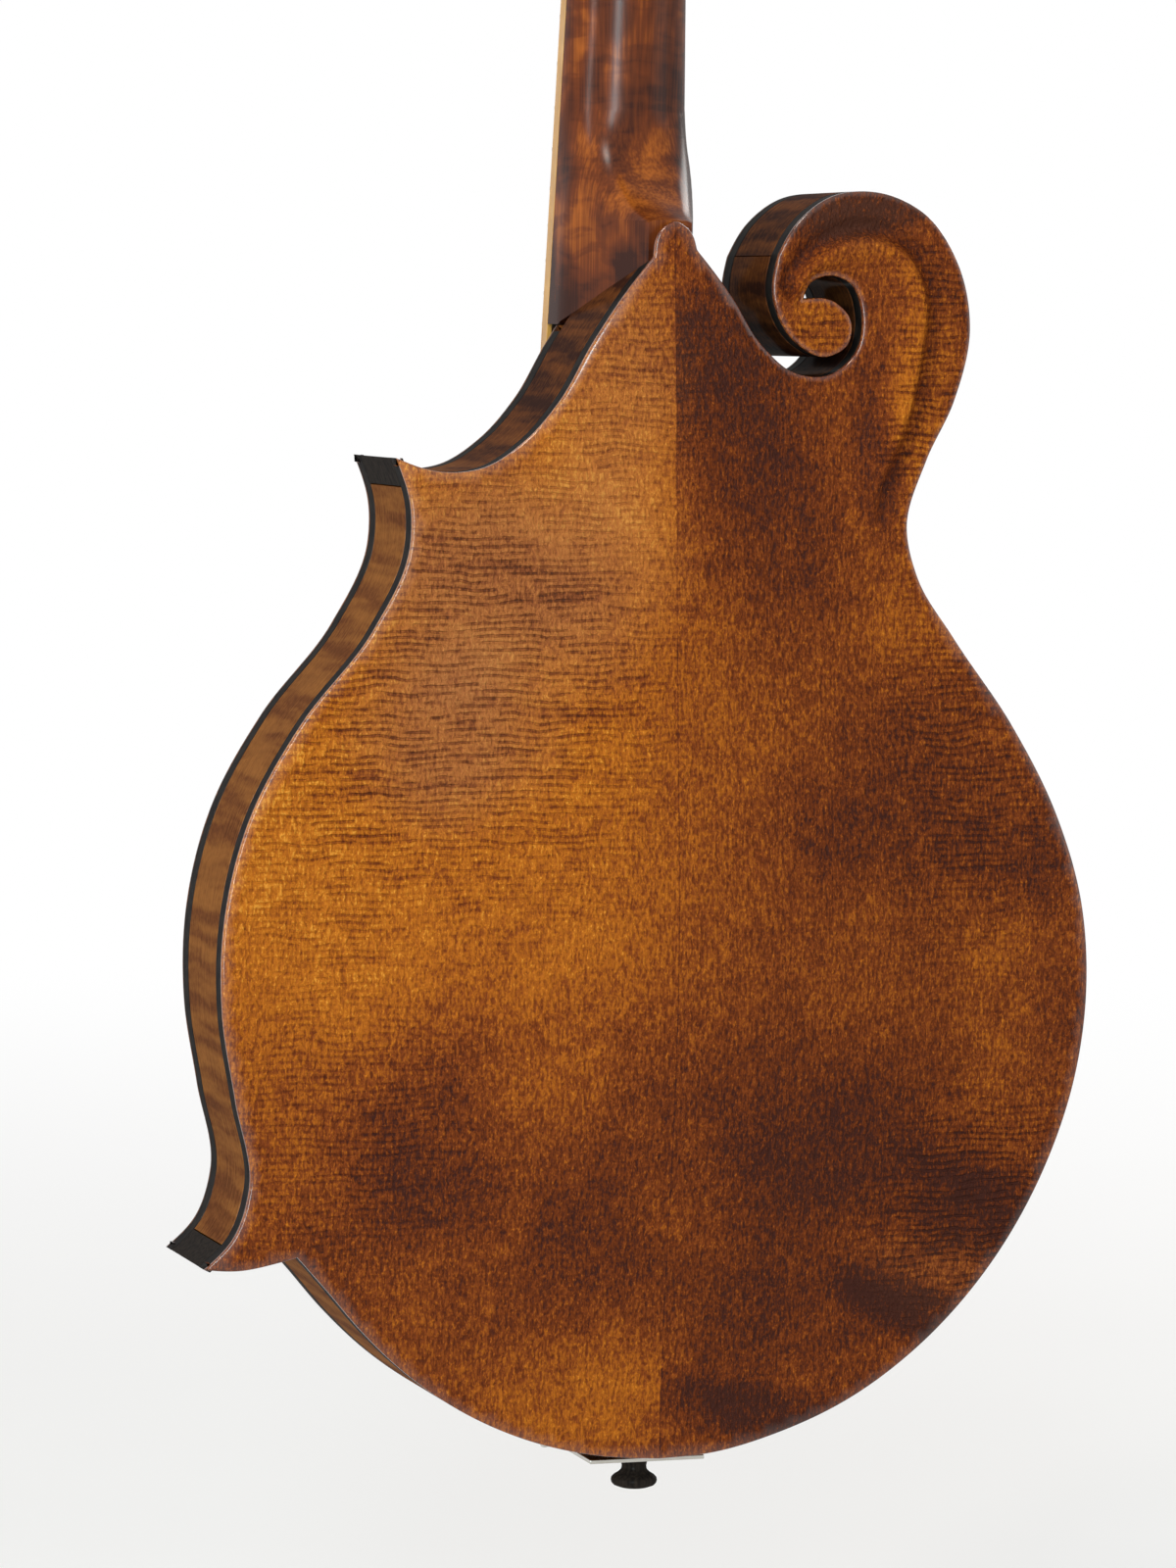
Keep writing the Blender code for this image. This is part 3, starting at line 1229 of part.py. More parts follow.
def tuner_plates(steel, parent):
    """Two plates with four tuners each; an ear on each side of every worm."""
    low = HEAD_THICKNESS + GAP
    ear_gap = WORM_HALF_LENGTH + 0.0004
    end_low = POST_FIRST - WORM_DISTANCE - 0.0060
    end_high = POST_FIRST + 3 * POST_PITCH + 0.0085
    for side, name in ((-1, "tuner_plate_bass"), (1, "tuner_plate_treble")):
        half = TUNER_PLATE_HALF_WIDTH
        x0 = side * POST_X
        outline = [(x0 - half, end_low + 0.003), (x0 - half + 0.003, end_low),
                   (x0 + half - 0.003, end_low), (x0 + half, end_low + 0.003),
                   (x0 + half, end_high - 0.003), (x0 + half - 0.003, end_high),
                   (x0 - half + 0.003, end_high), (x0 - half, end_high - 0.003)]
        bm = bmesh.new()
        prism(bm, outline, low, PLATE_TOP)
        plate = add_object(name, bm, steel, parent)
        ears = bmesh.new()
        bores = bmesh.new()
        heads = bmesh.new()
        round_screw(heads, 0.0016, PLATE_TOP, 0.0013, x0, POST_FIRST - WORM_DISTANCE - 0.0044)
        for i in range(4):
            z = POST_FIRST + i * POST_PITCH
            worm_z = z - WORM_DISTANCE
            for inner in (x0 - ear_gap - EAR_THICKNESS, x0 + ear_gap):
                profile = [(-0.0028, PLATE_TOP - 0.0004), (0.0028, PLATE_TOP - 0.0004),
                           (0.0022, WORM_LEVEL + 0.0022), (-0.0022, WORM_LEVEL + 0.0022)]
                loft(ears, [[(x, y, worm_z + z_off) for z_off, y in profile]
                            for x in (inner, inner + EAR_THICKNESS)])
            reach = half + 0.002
            turned(bores, [(WORM_ROOT_RADIUS + 2 * GAP, x0 - reach),
                           (WORM_ROOT_RADIUS + 2 * GAP, x0 + reach)], 6,
                   place=lambda u, v, h: (h, WORM_LEVEL + u, worm_z + v))
            turned(bores, [(POST_RADIUS + GAP, low - 0.001),
                           (POST_RADIUS + GAP, PLATE_TOP + 0.001)], 8,
                   place=lambda u, v, h: (x0 + u, h, z + v))
            round_screw(heads, 0.0016, PLATE_TOP, 0.0013, x0, z + 0.0072)
        boolean(plate, add_object(name + "_screws", heads, None, parent, cutter=True), "UNION")
        boolean(plate, add_object(name + "_ears", ears, None, parent, cutter=True), "UNION")
        boolean(plate, add_object(name + "_bores", bores, None, parent, cutter=True))


def round_screw(bm, radius, level, rise, x, z, sunk=0.0004):
    """A low round screw head that stands on a surface at y = level."""
    out = math.copysign(1.0, rise)
    turned(bm, [(radius, level - out * sunk), (radius, level + rise * 0.3),
                (radius * 0.55, level + rise)], 6,
           place=lambda u, v, h: (x + u, h, z + v))


# Strings: their places at the nut, the bridge and the posts

def string_list():
    """Course, nut x, bridge x, radius, post number for each string, bass side first."""
    found = []
    for c, course in enumerate(COURSES):
        for half in (-0.5, 0.5):
            nut_x = (c - 1.5) * COURSE_PITCH_NUT + half * PAIR_PITCH_NUT
            bridge_x = (c - 1.5) * COURSE_PITCH_BRIDGE + half * PAIR_PITCH_BRIDGE
            found.append((course, nut_x, bridge_x, STRING_RADII[course]))
    posts = (0, 1, 2, 3, 7, 6, 5, 4)
    return [item + (post,) for item, post in zip(found, posts)]


def wind_radius(radius):
    return POST_WAIST_RADIUS + radius + GAP + 0.00005


def wind_level(radius):
    """Height of the first turn in the peghead's frame."""
    return -0.0038 - radius


def tangent_angle(nut_x, post, radius):
    """Angle round the post at which the string meets its winding."""
    x, z = post_places()[post]
    start = Vector((nut_x, 0.0))
    centre = Vector((x, z))
    away = start - centre
    lean = math.acos(wind_radius(radius) / away.length)
    base = math.atan2(away.y, away.x)
    return base + (lean if x < 0 else -lean)


def winding_points(nut_x, post, radius):
    """The turns round a post as one unbroken path, in the post's own frame."""
    angle = tangent_angle(nut_x, post, radius)
    sense = 1 if post < 4 else -1
    big = wind_radius(radius)
    pitch = 2 * radius + WIND_SPACE
    steps = round(WIND_TURNS * 8)
    points = []
    for i in range(steps + 1):
        turn = sense * 2 * math.pi * WIND_TURNS * i / steps
        points.append(Vector((big * math.cos(angle + turn),
                              wind_level(radius) - pitch * WIND_TURNS * i / steps,
                              big * math.sin(angle + turn))))
    lead = 2 * radius
    first = (points[0] - points[1]).normalized()
    into_post = Vector((0, points[-1].y, 0))
    return [points[0] + first * lead] + points + [points[-1].lerp(into_post, 0.35), into_post]


def least_gap(points, radius, skip=4):
    """Least clear distance between turns that are not neighbours along the path."""
    return min((a - b).length for i, a in enumerate(points)
               for b in points[i + skip:]) - 2 * radius


def tuners(steel, head_frame):
    post = post_mesh(steel, head_frame)
    worm = worm_mesh(steel, head_frame)
    for _, nut_x, _, radius, number in string_list():
        x, z = post_places()[number]
        bm = bmesh.new()
        points = winding_points(nut_x, number, radius)
        tube(bm, points, radius)
        print("winding", number + 1, "least gap to itself",
              round(least_gap(points[:-2], radius) * 1000, 2), "mm")
        name = "tuner_post_%d" % (number + 1)
        turned_post = add_mesh(name, post.copy(), steel, head_frame, location=(x, 0, z))
        winding = add_object(name + "_winding", bm, None, head_frame, location=(x, 0, z),
                             cutter=True)
        boolean(turned_post, winding, "UNION")
        turn = (0, 0, math.pi) if x < 0 else None
        add_mesh("tuner_shaft_%d" % (number + 1), worm, steel, head_frame,
                 location=(x, WORM_LEVEL, z - WORM_DISTANCE), turn=turn)


def strings(steel, parent):
    """Eight strings from hook to winding, in the neck's frame."""
    for number, (course, nut_x, bridge_x, radius, post) in enumerate(string_list()):
        shift = COMPENSATION[COURSES.index(course)]
        saddle = Vector((bridge_x, -ACTION - radius, -SCALE_LENGTH - shift))
        hook = BODY_IN_NECK @ Vector(hook_place(bridge_x, radius))
        nut_top = Vector((nut_x, -NUT_HEIGHT - radius, NUT_LENGTH * 0.3))
        x, z = post_places()[post]
        angle = tangent_angle(nut_x, post, radius)
        big = wind_radius(radius)
        touch = Vector((x + big * math.cos(angle), wind_level(radius),
                        z + big * math.sin(angle)))
        way = Vector((touch.x - nut_x, 0, touch.z)).normalized()
        stop = math.sqrt((big + 2 * radius + 0.0006) ** 2 - big**2)
        end = HEAD_IN_NECK @ (touch - way * stop)
        route = [hook, saddle.lerp(hook, 0.001 / (hook - saddle).length),
                 saddle.lerp(nut_top, 0.001 / (nut_top - saddle).length),
                 nut_top.lerp(saddle, 0.001 / (nut_top - saddle).length),
                 nut_top.lerp(end, 0.001 / (nut_top - end).length), end]
        name = "string_%s%d" % (course, number % 2 + 1)
        bm = bmesh.new()
        tube(bm, route, radius, 5)
        add_object(name, bm, steel, parent)


def hook_place(bridge_x, radius):
    """Where a string's end sits at its tailpiece hook, in the body's frame."""
    return (bridge_x * 0.62, -BODY_DEPTH - 0.0062 - radius, HOOK_LINE + 0.0016)


# Bridge

def saddle_bottom():
    """Underside of the saddle at rest, as y in the body's frame."""
    return bridge_top() - WHEEL_LIFT - WHEEL_THICKNESS - GAP


def bridge_top():
    return -BODY_DEPTH - TOP_ARCH - BRIDGE_RISE


def string_level_at_bridge():
    return (NECK_IN_BODY @ Vector((0, -ACTION, -SCALE_LENGTH))).y


def bridge(ebony, brass, parent, top):
    surface = surface_probe(top, -1.0)
    half_width = BRIDGE_WIDTH / 2
    bm = bmesh.new()
    sections = []
    count = 17
    for i in range(count):
        x = (2 * i / (count - 1) - 1) * BRIDGE_LENGTH / 2
        share = abs(x) / (BRIDGE_LENGTH / 2)
        foot = min(surface(x + d, BRIDGE_HEIGHT + e) for d in (-0.003, 0, 0.003)
                   for e in (-0.007, 0, 0.007)) - GAP
        if share < 0.20:
            foot -= 0.0022 * (1 - (share / 0.20) ** 2)
        fall = max(0.0, (share - 0.72) / 0.28)
        crest = bridge_top() + (foot - BRIDGE_END_HEIGHT - bridge_top()) * fall**1.4
        crest = min(crest, foot - 0.0022)
        sections.append([(x, foot, BRIDGE_HEIGHT - half_width),
                         (x, foot, BRIDGE_HEIGHT + half_width),
                         (x, crest, BRIDGE_HEIGHT + half_width * 0.62),
                         (x, crest, BRIDGE_HEIGHT - half_width * 0.62)])
    loft(bm, sections)
    base = add_object("bridge_base", bm, ebony, parent)
    bm = bmesh.new()
    for side in (-1, 1):
        turned(bm, [(STUD_RADIUS + GAP, bridge_top() - 0.002),
                    (STUD_RADIUS + GAP, bridge_top() + 0.0045)], 10,
               place=lambda u, v, h: (side * WHEEL_OFFSET + u, h, BRIDGE_HEIGHT + v))
    boolean(base, add_object("stud_holes", bm, None, parent, cutter=True))
    for side, name in ((-1, "bridge_stud_bass"), (1, "bridge_stud_treble")):
        bm = bmesh.new()
        turned(bm, [(STUD_RADIUS, bridge_top() + 0.0042), (STUD_RADIUS, saddle_bottom() - 0.0025),
                    (STUD_RADIUS * 0.8, saddle_bottom() - 0.0031)], 10,
               place=lambda u, v, h: (side * WHEEL_OFFSET + u, h, BRIDGE_HEIGHT + v))
        add_object(name, bm, brass, parent)
    for side, name in ((-1, "thumbwheel_bass"), (1, "thumbwheel_treble")):
        bm = bmesh.new()
        low = [(STUD_RADIUS + GAP, 0.0), (WHEEL_RADIUS, 0.0), (WHEEL_RADIUS, -WHEEL_THICKNESS),
               (STUD_RADIUS + GAP, -WHEEL_THICKNESS)]
        turned(bm, low, WHEEL_KNURLS, open_bore=True)
        for vert in bm.verts:
            radial = Vector((vert.co.x, 0, vert.co.z))
            index = round(math.atan2(vert.co.z, vert.co.x) / (2 * math.pi / WHEEL_KNURLS))
            if radial.length > WHEEL_RADIUS * 0.9 and index % 2:
                vert.co -= radial.normalized() * 0.0004
        add_object(name, bm, brass, parent,
                   location=(side * WHEEL_OFFSET, bridge_top() - WHEEL_LIFT, BRIDGE_HEIGHT))


def saddle(ebony, parent):
    """Saddle with a stepped crest that evens out the strings' pitch."""
    low = saddle_bottom()
    crest = string_level_at_bridge() + GAP
    height = low - crest
    end = SADDLE_LENGTH / 2
    stations = []
    course_edges = (-0.0265, -0.0124, 0.0, 0.0124, 0.0265)
    for c in range(4):
        stations.append((course_edges[c] + 0.0002, COMPENSATION[c], 1.0))
        stations.append((course_edges[c + 1] - 0.0002, COMPENSATION[c], 1.0))
    stations.insert(0, (-0.0300, 0.0, 0.85))
    stations.insert(0, (0.004 - end, 0.0, 0.62))
    stations.insert(0, (-end, 0.0, 0.45))
    stations += [(0.0300, 0.0, 0.85), (end - 0.004, 0.0, 0.62), (end, 0.0, 0.45)]
    bm = bmesh.new()
    sections = []
    foot = SADDLE_FOOT / 2
    for x, shift, share in stations:
        top = -height * share
        mid = -height * 0.55 * share
        sections.append([(x, 0, -foot), (x, 0, foot), (x, mid, foot),
                         (x, top, -shift + SADDLE_CREST / 2), (x, top, -shift - SADDLE_CREST / 2),
                         (x, mid, -foot)])
    loft(bm, sections)
    made = add_object("bridge_saddle", bm, ebony, parent, location=(0, low, BRIDGE_HEIGHT))
    bm = bmesh.new()
    for side in (-1, 1):
        turned(bm, [(STUD_RADIUS + GAP, 0.002), (STUD_RADIUS + GAP, -0.0031 - 0.0016)], 10,
               place=lambda u, v, h: (side * WHEEL_OFFSET + u, low + h, BRIDGE_HEIGHT + v))
    boolean(made, add_object("saddle_bores", bm, None, parent, cutter=True))


# Tailpiece and strap button

def tailpiece(metal, parent):
    thick = TAILPIECE_METAL
    half = TAILPIECE_HALF_WIDTH
    top_level = -BODY_DEPTH - 0.0014
    bm = bmesh.new()
    profile = [(-GAP - 0.0012, -BODY_DEPTH + TAILPIECE_LEG), (-GAP - 0.0012 - thick,
                                                              -BODY_DEPTH + TAILPIECE_LEG),
               (-GAP - 0.0012 - thick, top_level - thick), (TAILPIECE_REACH, top_level - thick),
               (TAILPIECE_REACH, top_level), (-GAP - 0.0012, top_level)]
    loft(bm, [[(x, y, z) for z, y in profile] for x in (-half, half)])
    base = add_object("tailpiece_base", bm, metal, parent)
    hooks = bmesh.new()
    for _, _, bridge_x, radius, _ in string_list():
        x, y, z = hook_place(bridge_x, radius)
        rise = y + 0.0001
        profile = [(HOOK_LINE + 0.0010 - GAP, top_level - thick + 0.0004),
                   (HOOK_LINE - 0.0010, top_level - thick + 0.0004),
                   (HOOK_LINE - 0.0022, rise - 0.0020), (HOOK_LINE - 0.0010, rise - 0.0020),
                   (HOOK_LINE + 0.0010 - GAP, rise + 0.0012)]
        loft(hooks, [[(x + w, y_at, z_at) for z_at, y_at in profile] for w in (-0.0008, 0.0008)])
    boolean(base, add_object("hook_blank", hooks, None, parent, cutter=True), "UNION")
    bm = bmesh.new()
    turned(bm, [(0.0036, -0.006), (0.0036, 0.002)], 12,
           place=lambda u, v, h: (u, -STRAP_BUTTON_DEPTH + v, h))
    boolean(base, add_object("end_pin_hole", bm, None, parent, cutter=True))


def tailpiece_cover(metal, parent):
    """A folded cover, open towards the bridge, that slides off over the hooks."""
    thick = 0.0009
    back = -0.0042
    sections_out, sections_in = [], []
    for z, width, rise, foot in ((back, 0.88, 0.0072, 0.0016), (0.004, 0.95, 0.0092, 0.0016),
                                 (0.018, 1.0, 0.0116, 0.0020), (0.034, 0.95, 0.0136, 0.0042),
                                 (COVER_REACH, 0.86, 0.0150, 0.0062)):
        half = COVER_HALF_WIDTH * width
        top = -BODY_DEPTH - rise
        low = -BODY_DEPTH - foot
        outer = [(-half, low, z), (-half, top + 0.003, z), (-half + 0.003, top, z),
                 (half - 0.003, top, z), (half, top + 0.003, z), (half, low, z)]
        inner = [(x - math.copysign(thick, x), y if y == low else y + thick * 0.9, z)
                 for x, y, z in outer]
        sections_out.append(outer)
        sections_in.append(inner)
    bm = bmesh.new()
    rows = [outer + inner[::-1] for outer, inner in zip(sections_out, sections_in)]
    loft(bm, rows)
    shell = add_object("tailpiece_cover", bm, metal, parent, location=(0, 0, 0))
    bm = bmesh.new()
    edge = sections_out[0][0][1]
    prism(bm, [(x, y if y != edge else edge - 0.0014) for x, y, _ in sections_out[0]],
          back - 0.0002, back + thick, place=lambda u, v, w: (u, v, w))
    boolean(shell, add_object("cover_end_blank", bm, None, parent, cutter=True), "UNION")


def strap_button(ebony, parent):
    tail = -GAP - 0.0012 - TAILPIECE_METAL - GAP
    bm = bmesh.new()
    turned(bm, [(0.0030, tail + 0.0100), (0.0030, tail + GAP / 2), (0.0052, tail),
                (0.0040, tail - 0.0030), (0.0038, tail - 0.0060),
                (STRAP_BUTTON_RADIUS * 0.93, tail - 0.0088), (STRAP_BUTTON_RADIUS, tail - 0.0105),
                (STRAP_BUTTON_RADIUS * 0.9, tail - 0.0125),
                (STRAP_BUTTON_RADIUS * 0.62, tail - STRAP_BUTTON_LENGTH)], 14,
           place=lambda u, v, h: (u, -STRAP_BUTTON_DEPTH + v, h))
    return add_object("strap_button", bm, ebony, parent)


def pin_bore(parent, targets):
    """The reamed hole that takes the strap button's peg."""
    bm = bmesh.new()
    turned(bm, [(0.0030 + GAP, -0.004), (0.0030 + GAP, 0.012)], 12,
           place=lambda u, v, h: (u, -STRAP_BUTTON_DEPTH + v, h))
    cutter = add_object("pin_bore", bm, None, parent, cutter=True)
    for target in targets:
        boolean(target, cutter)


def build():
    for old in list(bpy.data.objects):
        bpy.data.objects.remove(old, do_unlink=True)
    maple_back = material("figured maple back", (0.30, 0.115, 0.030), 0.38)
    maple_rib = material("figured maple ribs", (0.22, 0.095, 0.035), 0.40)
    maple_neck = material("maple neck", (0.24, 0.080, 0.025), 0.32)
    spruce = material("spruce top", (0.42, 0.19, 0.055), 0.36)
    inner_wood = material("plain inner wood", (0.60, 0.42, 0.24), 0.70)
    ebony = material("ebony", (0.018, 0.015, 0.013), 0.35)
    black_binding = material("black binding", (0.015, 0.013, 0.012), 0.30)
    ivory_binding = material("aged binding", (0.62, 0.40, 0.16), 0.35)
    bone = material("bone", (0.78, 0.72, 0.58), 0.40)
    steel = material("nickel", (0.62, 0.60, 0.57), 0.28, 1.0)
    wire = material("string steel", (0.55, 0.52, 0.48), 0.35, 1.0)
    brass = material("brass", (0.66, 0.48, 0.22), 0.30, 1.0)

    body_frame = frame_empty("mandolin_frame", Matrix.Translation(-HANGER_IN_BODY))
    neck_frame = frame_empty("neck_frame", NECK_IN_BODY, body_frame)
    head_frame = frame_empty("headstock_frame", HEAD_IN_NECK, neck_frame)
    bpy.context.view_layer.update()

    cutter = heel_space(body_frame)
    cavity = cavity_line(RIM)
    carved_plate("back_plate", BACK_OUTLINE, back_arch, False, cavity, [], maple_back,
                 body_frame)
    top = carved_plate("top_plate", TOP_RIM, top_arch, True, cavity,
                       [f_hole(-1), f_hole(1)], spruce, body_frame)
    sides = ribs(maple_rib, body_frame, cutter)
    bindings(black_binding, body_frame, cutter)
    point_pieces(inner_wood, ebony, body_frame)
    blocks(inner_wood, body_frame, cutter)
    tone_bars(inner_wood, body_frame, top)

    channel = neck(maple_neck, neck_frame, head_frame, body_frame)
    truss_rod(steel, ebony, neck_frame, head_frame)
    fretboard(ebony, ivory_binding, neck_frame)
    extension_support(maple_neck, body_frame, top)
    nut(bone, neck_frame)
    overlay(ebony, head_frame, channel)

    tuner_plates(steel, head_frame)
    tuners(steel, head_frame)
    strings(wire, neck_frame)

    bridge(ebony, brass, body_frame, top)
    saddle(ebony, body_frame)
    tailpiece(steel, body_frame)
    tailpiece_cover(steel, body_frame)
    strap_button(ebony, body_frame)
    tail_block = bpy.data.objects["tail_block"]
    pin_bore(body_frame, [sides["rib_treble_tail"], sides["rib_bass"], tail_block])


build()
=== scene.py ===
import math

import bmesh
import bpy
import numpy as np
from mathutils import Matrix, Vector
from mathutils.bvhtree import BVHTree
from mathutils.geometry import delaunay_2d_cdt


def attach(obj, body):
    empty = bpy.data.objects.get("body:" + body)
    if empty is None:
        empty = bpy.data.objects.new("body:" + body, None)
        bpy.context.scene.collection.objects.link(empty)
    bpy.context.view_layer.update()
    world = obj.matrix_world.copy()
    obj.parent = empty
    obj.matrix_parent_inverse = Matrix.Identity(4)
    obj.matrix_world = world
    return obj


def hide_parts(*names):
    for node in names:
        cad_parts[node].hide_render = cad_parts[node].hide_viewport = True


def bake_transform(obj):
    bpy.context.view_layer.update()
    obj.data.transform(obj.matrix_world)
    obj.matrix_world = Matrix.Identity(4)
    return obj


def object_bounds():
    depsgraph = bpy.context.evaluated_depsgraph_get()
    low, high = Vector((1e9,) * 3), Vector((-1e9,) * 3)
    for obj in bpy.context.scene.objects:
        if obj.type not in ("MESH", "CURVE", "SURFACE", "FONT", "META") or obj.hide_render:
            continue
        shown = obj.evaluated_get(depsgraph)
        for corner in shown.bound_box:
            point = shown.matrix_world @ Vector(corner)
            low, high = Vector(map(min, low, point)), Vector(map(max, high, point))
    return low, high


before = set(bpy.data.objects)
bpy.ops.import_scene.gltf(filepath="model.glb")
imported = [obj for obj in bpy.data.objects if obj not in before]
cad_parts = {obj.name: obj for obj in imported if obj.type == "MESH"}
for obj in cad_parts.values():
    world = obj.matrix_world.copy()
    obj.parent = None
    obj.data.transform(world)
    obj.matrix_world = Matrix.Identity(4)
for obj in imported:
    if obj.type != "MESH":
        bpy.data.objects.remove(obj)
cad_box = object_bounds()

MM = 0.001
GAP = 0.0003

# Camera of the photograph: place in the row frame, the view's right, up and back directions
CAMERA_AT = (0.5399, 1.6258, -0.2041)
VIEW_RIGHT = (-0.95138, 0.30779, 0.01188)
VIEW_UP = (-0.01195, -0.07541, 0.99708)
VIEW_BACK = (0.30779, 0.94846, 0.07542)
FOCAL_PIXELS = 6163.0
PHOTO_SIZE = (1200, 1600)
SENSOR = 36.0

# Dimensions shared with the solids
SCALE_LENGTH = 0.353
JOINT_FRET = 15
FRET_COUNT = 21
FRET_WIDTH = 0.0014
FRET_HEIGHT = 0.0010
JOINT_LEAN = 0.019
BODY_DEPTH = 0.0445
PLATE_EDGE = 0.0040
PLATE_LIP = 0.0012
BACK_ARCH = 0.0115
TOP_ARCH = 0.0120
ARCH_POWER = 2.4
CELL = 0.003
BINDING_THICKNESS = 0.0015
BINDING_HEIGHT = 0.0053
RIB_THICKNESS = 0.0025
CAP_REACH = 0.0085
HEAD_BLOCK_END = 0.288
RIDGE_HEIGHT = 0.0024
COVE_DEPTH = 0.0019
NECK_TILT = math.radians(4.0)
BOARD_RISE = 0.0145
BOARD_THICKNESS = 0.0052
BOARD_END = 0.0050
BOARD_BINDING = 0.0015
NECK_HALF_WIDTH_NUT = 0.0143
NECK_HALF_WIDTH_JOINT = 0.0199
NECK_DEPTH_NUT = 0.0205
NECK_DEPTH_HEEL = 0.0220
HEEL_CURVE_LENGTH = 0.030
HEEL_INSET = 0.0005
HEEL_HALF_WIDTH = 0.0204
HEEL_REACH = 0.0270
NUT_LENGTH = 0.0040
NUT_HEIGHT = 0.0012
HEAD_TILT = math.radians(15.0)
HEAD_THICKNESS = 0.0145
HEAD_DROP = 0.0016
OVERLAY_THICKNESS = 0.0018
POST_X = 0.0175
POST_FIRST = 0.035
POST_PITCH = 0.0232
POST_RADIUS = 0.0030
POST_WAIST_RADIUS = 0.0024
POST_REACH = 0.0125
BUSHING_FLANGE = 0.0053
TUNER_PLATE_THICKNESS = 0.0010
GEAR_TEETH = 14
GEAR_RADIUS = 0.0050
GEAR_ROOT_RADIUS = 0.0039
GEAR_THICKNESS = 0.0026
WORM_RADIUS = 0.0024
WORM_ROOT_RADIUS = 0.0014
WORM_HALF_LENGTH = 0.0029
EAR_THICKNESS = 0.0011
BUTTON_START = 0.0150
BUTTON_LENGTH = 0.0110
BUTTON_HALF_WIDTH = 0.0062
BUTTON_HALF_THICKNESS = 0.0027
COURSES = ("g", "d", "a", "e")
STRING_RADII = {"g": 0.00050, "d": 0.00033, "a": 0.00022, "e": 0.00018}
COURSE_PITCH_NUT = 0.0072
COURSE_PITCH_BRIDGE = 0.0124
PAIR_PITCH_NUT = 0.0021
PAIR_PITCH_BRIDGE = 0.0026
ACTION = 0.0040
WIND_TURNS = 2.5
WIND_SPACE = 0.00055
BRIDGE_LENGTH = 0.115
BRIDGE_WIDTH = 0.012
BRIDGE_RISE = 0.0064
BRIDGE_END_HEIGHT = 0.0035
WHEEL_OFFSET = 0.035
WHEEL_RADIUS = 0.0058
WHEEL_THICKNESS = 0.0026
WHEEL_LIFT = 0.0015
STUD_RADIUS = 0.0018
SADDLE_LENGTH = 0.086
SADDLE_FOOT = 0.0066
SADDLE_CREST = 0.0020
COMPENSATION = (0.0018, 0.0004, 0.0014, 0.0002)
TAILPIECE_METAL = 0.0012
COVER_REACH = 0.046
COVER_HALF_WIDTH = 0.0215
HOOK_LINE = 0.021
STRAP_BUTTON_DEPTH = 0.0225
STRAP_BUTTON_RADIUS = 0.0066
STRAP_BUTTON_LENGTH = 0.0090

# Details of the dressed pieces
FINE_BOX = (-0.0893, -0.0180, 0.240, 0.3560)
EDGE_ROUND = 0.0006
RIB_EDGE = 0.00025
BEAD = 0.0002
SHARP_HALF_ANGLE = math.radians(40)
WORM_TURNS = 2.4
WRAP_PITCH = math.pi / 9500
THICKEST_PLAIN = 0.0003
SADDLE_CREST_END = 0.0262
COVER_START = -0.0042
COVER_METAL = 0.0009

# Body outline, millimetres, treble side +, plan x and height z
BUTTON_TREBLE = (5.9, 337.0)
BUTTON_BASS = (-6.6, 339.1)
POINT_UPPER = (79.6, 280.9)
POINT_LOWER = (132.2, 58.4)
LOWER_NOTCH = (105.8, 60.9)
SLIT_TIP = (-38.2, 325.8)
TREBLE_SHOULDER = (BUTTON_TREBLE, (14.9, 325.5), (23.3, 313.0), (32.8, 296.7), (42.8, 285.6),
                   (54.6, 278.3), (66.4, 277.1), POINT_UPPER)
TREBLE_WAIST = (POINT_UPPER, (75.3, 267.7), (75.4, 256.1), (85.6, 233.6), (105.9, 207.9),
                (120.1, 182.3), (127.0, 155.0), (127.5, 128.0), (123.7, 104.8), (119.6, 80.0),
                (124.1, 66.5), POINT_LOWER)
POINT_UNDERSIDE = (POINT_LOWER, (122.6, 57.7), (111.4, 59.5), LOWER_NOTCH)
TREBLE_TAIL = (LOWER_NOTCH, (97.3, 51.3), (87.1, 39.4), (74.6, 27.4), (56.6, 15.0),
               (37.3, 6.4), (18.3, 1.7), (0.0, 0.0))
BASS_BOUT = ((0.0, 0.0), (-16.6, 1.1), (-34.2, 5.4), (-55.6, 14.0), (-78.9, 29.9),
             (-101.3, 54.4), (-115.6, 79.4), (-124.2, 104.6), (-127.4, 131.0), (-125.3, 155.3),
             (-117.0, 180.7), (-103.0, 206.0), (-84.6, 231.2), (-73.7, 247.8), (-70.2, 262.0),
             (-75.8, 281.0), (-83.8, 297.6), (-88.3, 318.5), (-84.5, 336.0), (-74.3, 350.0),
             (-60.3, 355.8), (-46.4, 354.5), (-36.2, 347.0), (-30.6, 337.8))
SCROLL_CURL = ((-30.6, 337.8), (-29.2, 327.0), (-35.6, 314.2), (-44.9, 309.7), (-51.7, 313.3),
               (-52.5, 319.8), (-46.9, 325.4), SLIT_TIP)
BASS_SHOULDER = (SLIT_TIP, (-39.9, 329.9), (-46.8, 332.4), (-52.6, 330.0), (-55.9, 321.4),
                 (-54.1, 311.1), (-46.5, 304.8), (-35.7, 305.3), (-26.4, 312.5), (-17.0, 326.3),
                 BUTTON_BASS)
BUTTON_END = (BUTTON_BASS, (-4.4, 344.4), (0.0, 346.7), (4.2, 344.0), BUTTON_TREBLE)
SCROLL_RIDGE = ((-37.6, 330.6), (-43.3, 337.5), (-54.7, 342.2), (-67.5, 338.4), (-73.6, 326.5),
                (-72.7, 311.8), (-68.5, 292.0), (-60.5, 272.0), (-58.0, 254.0))

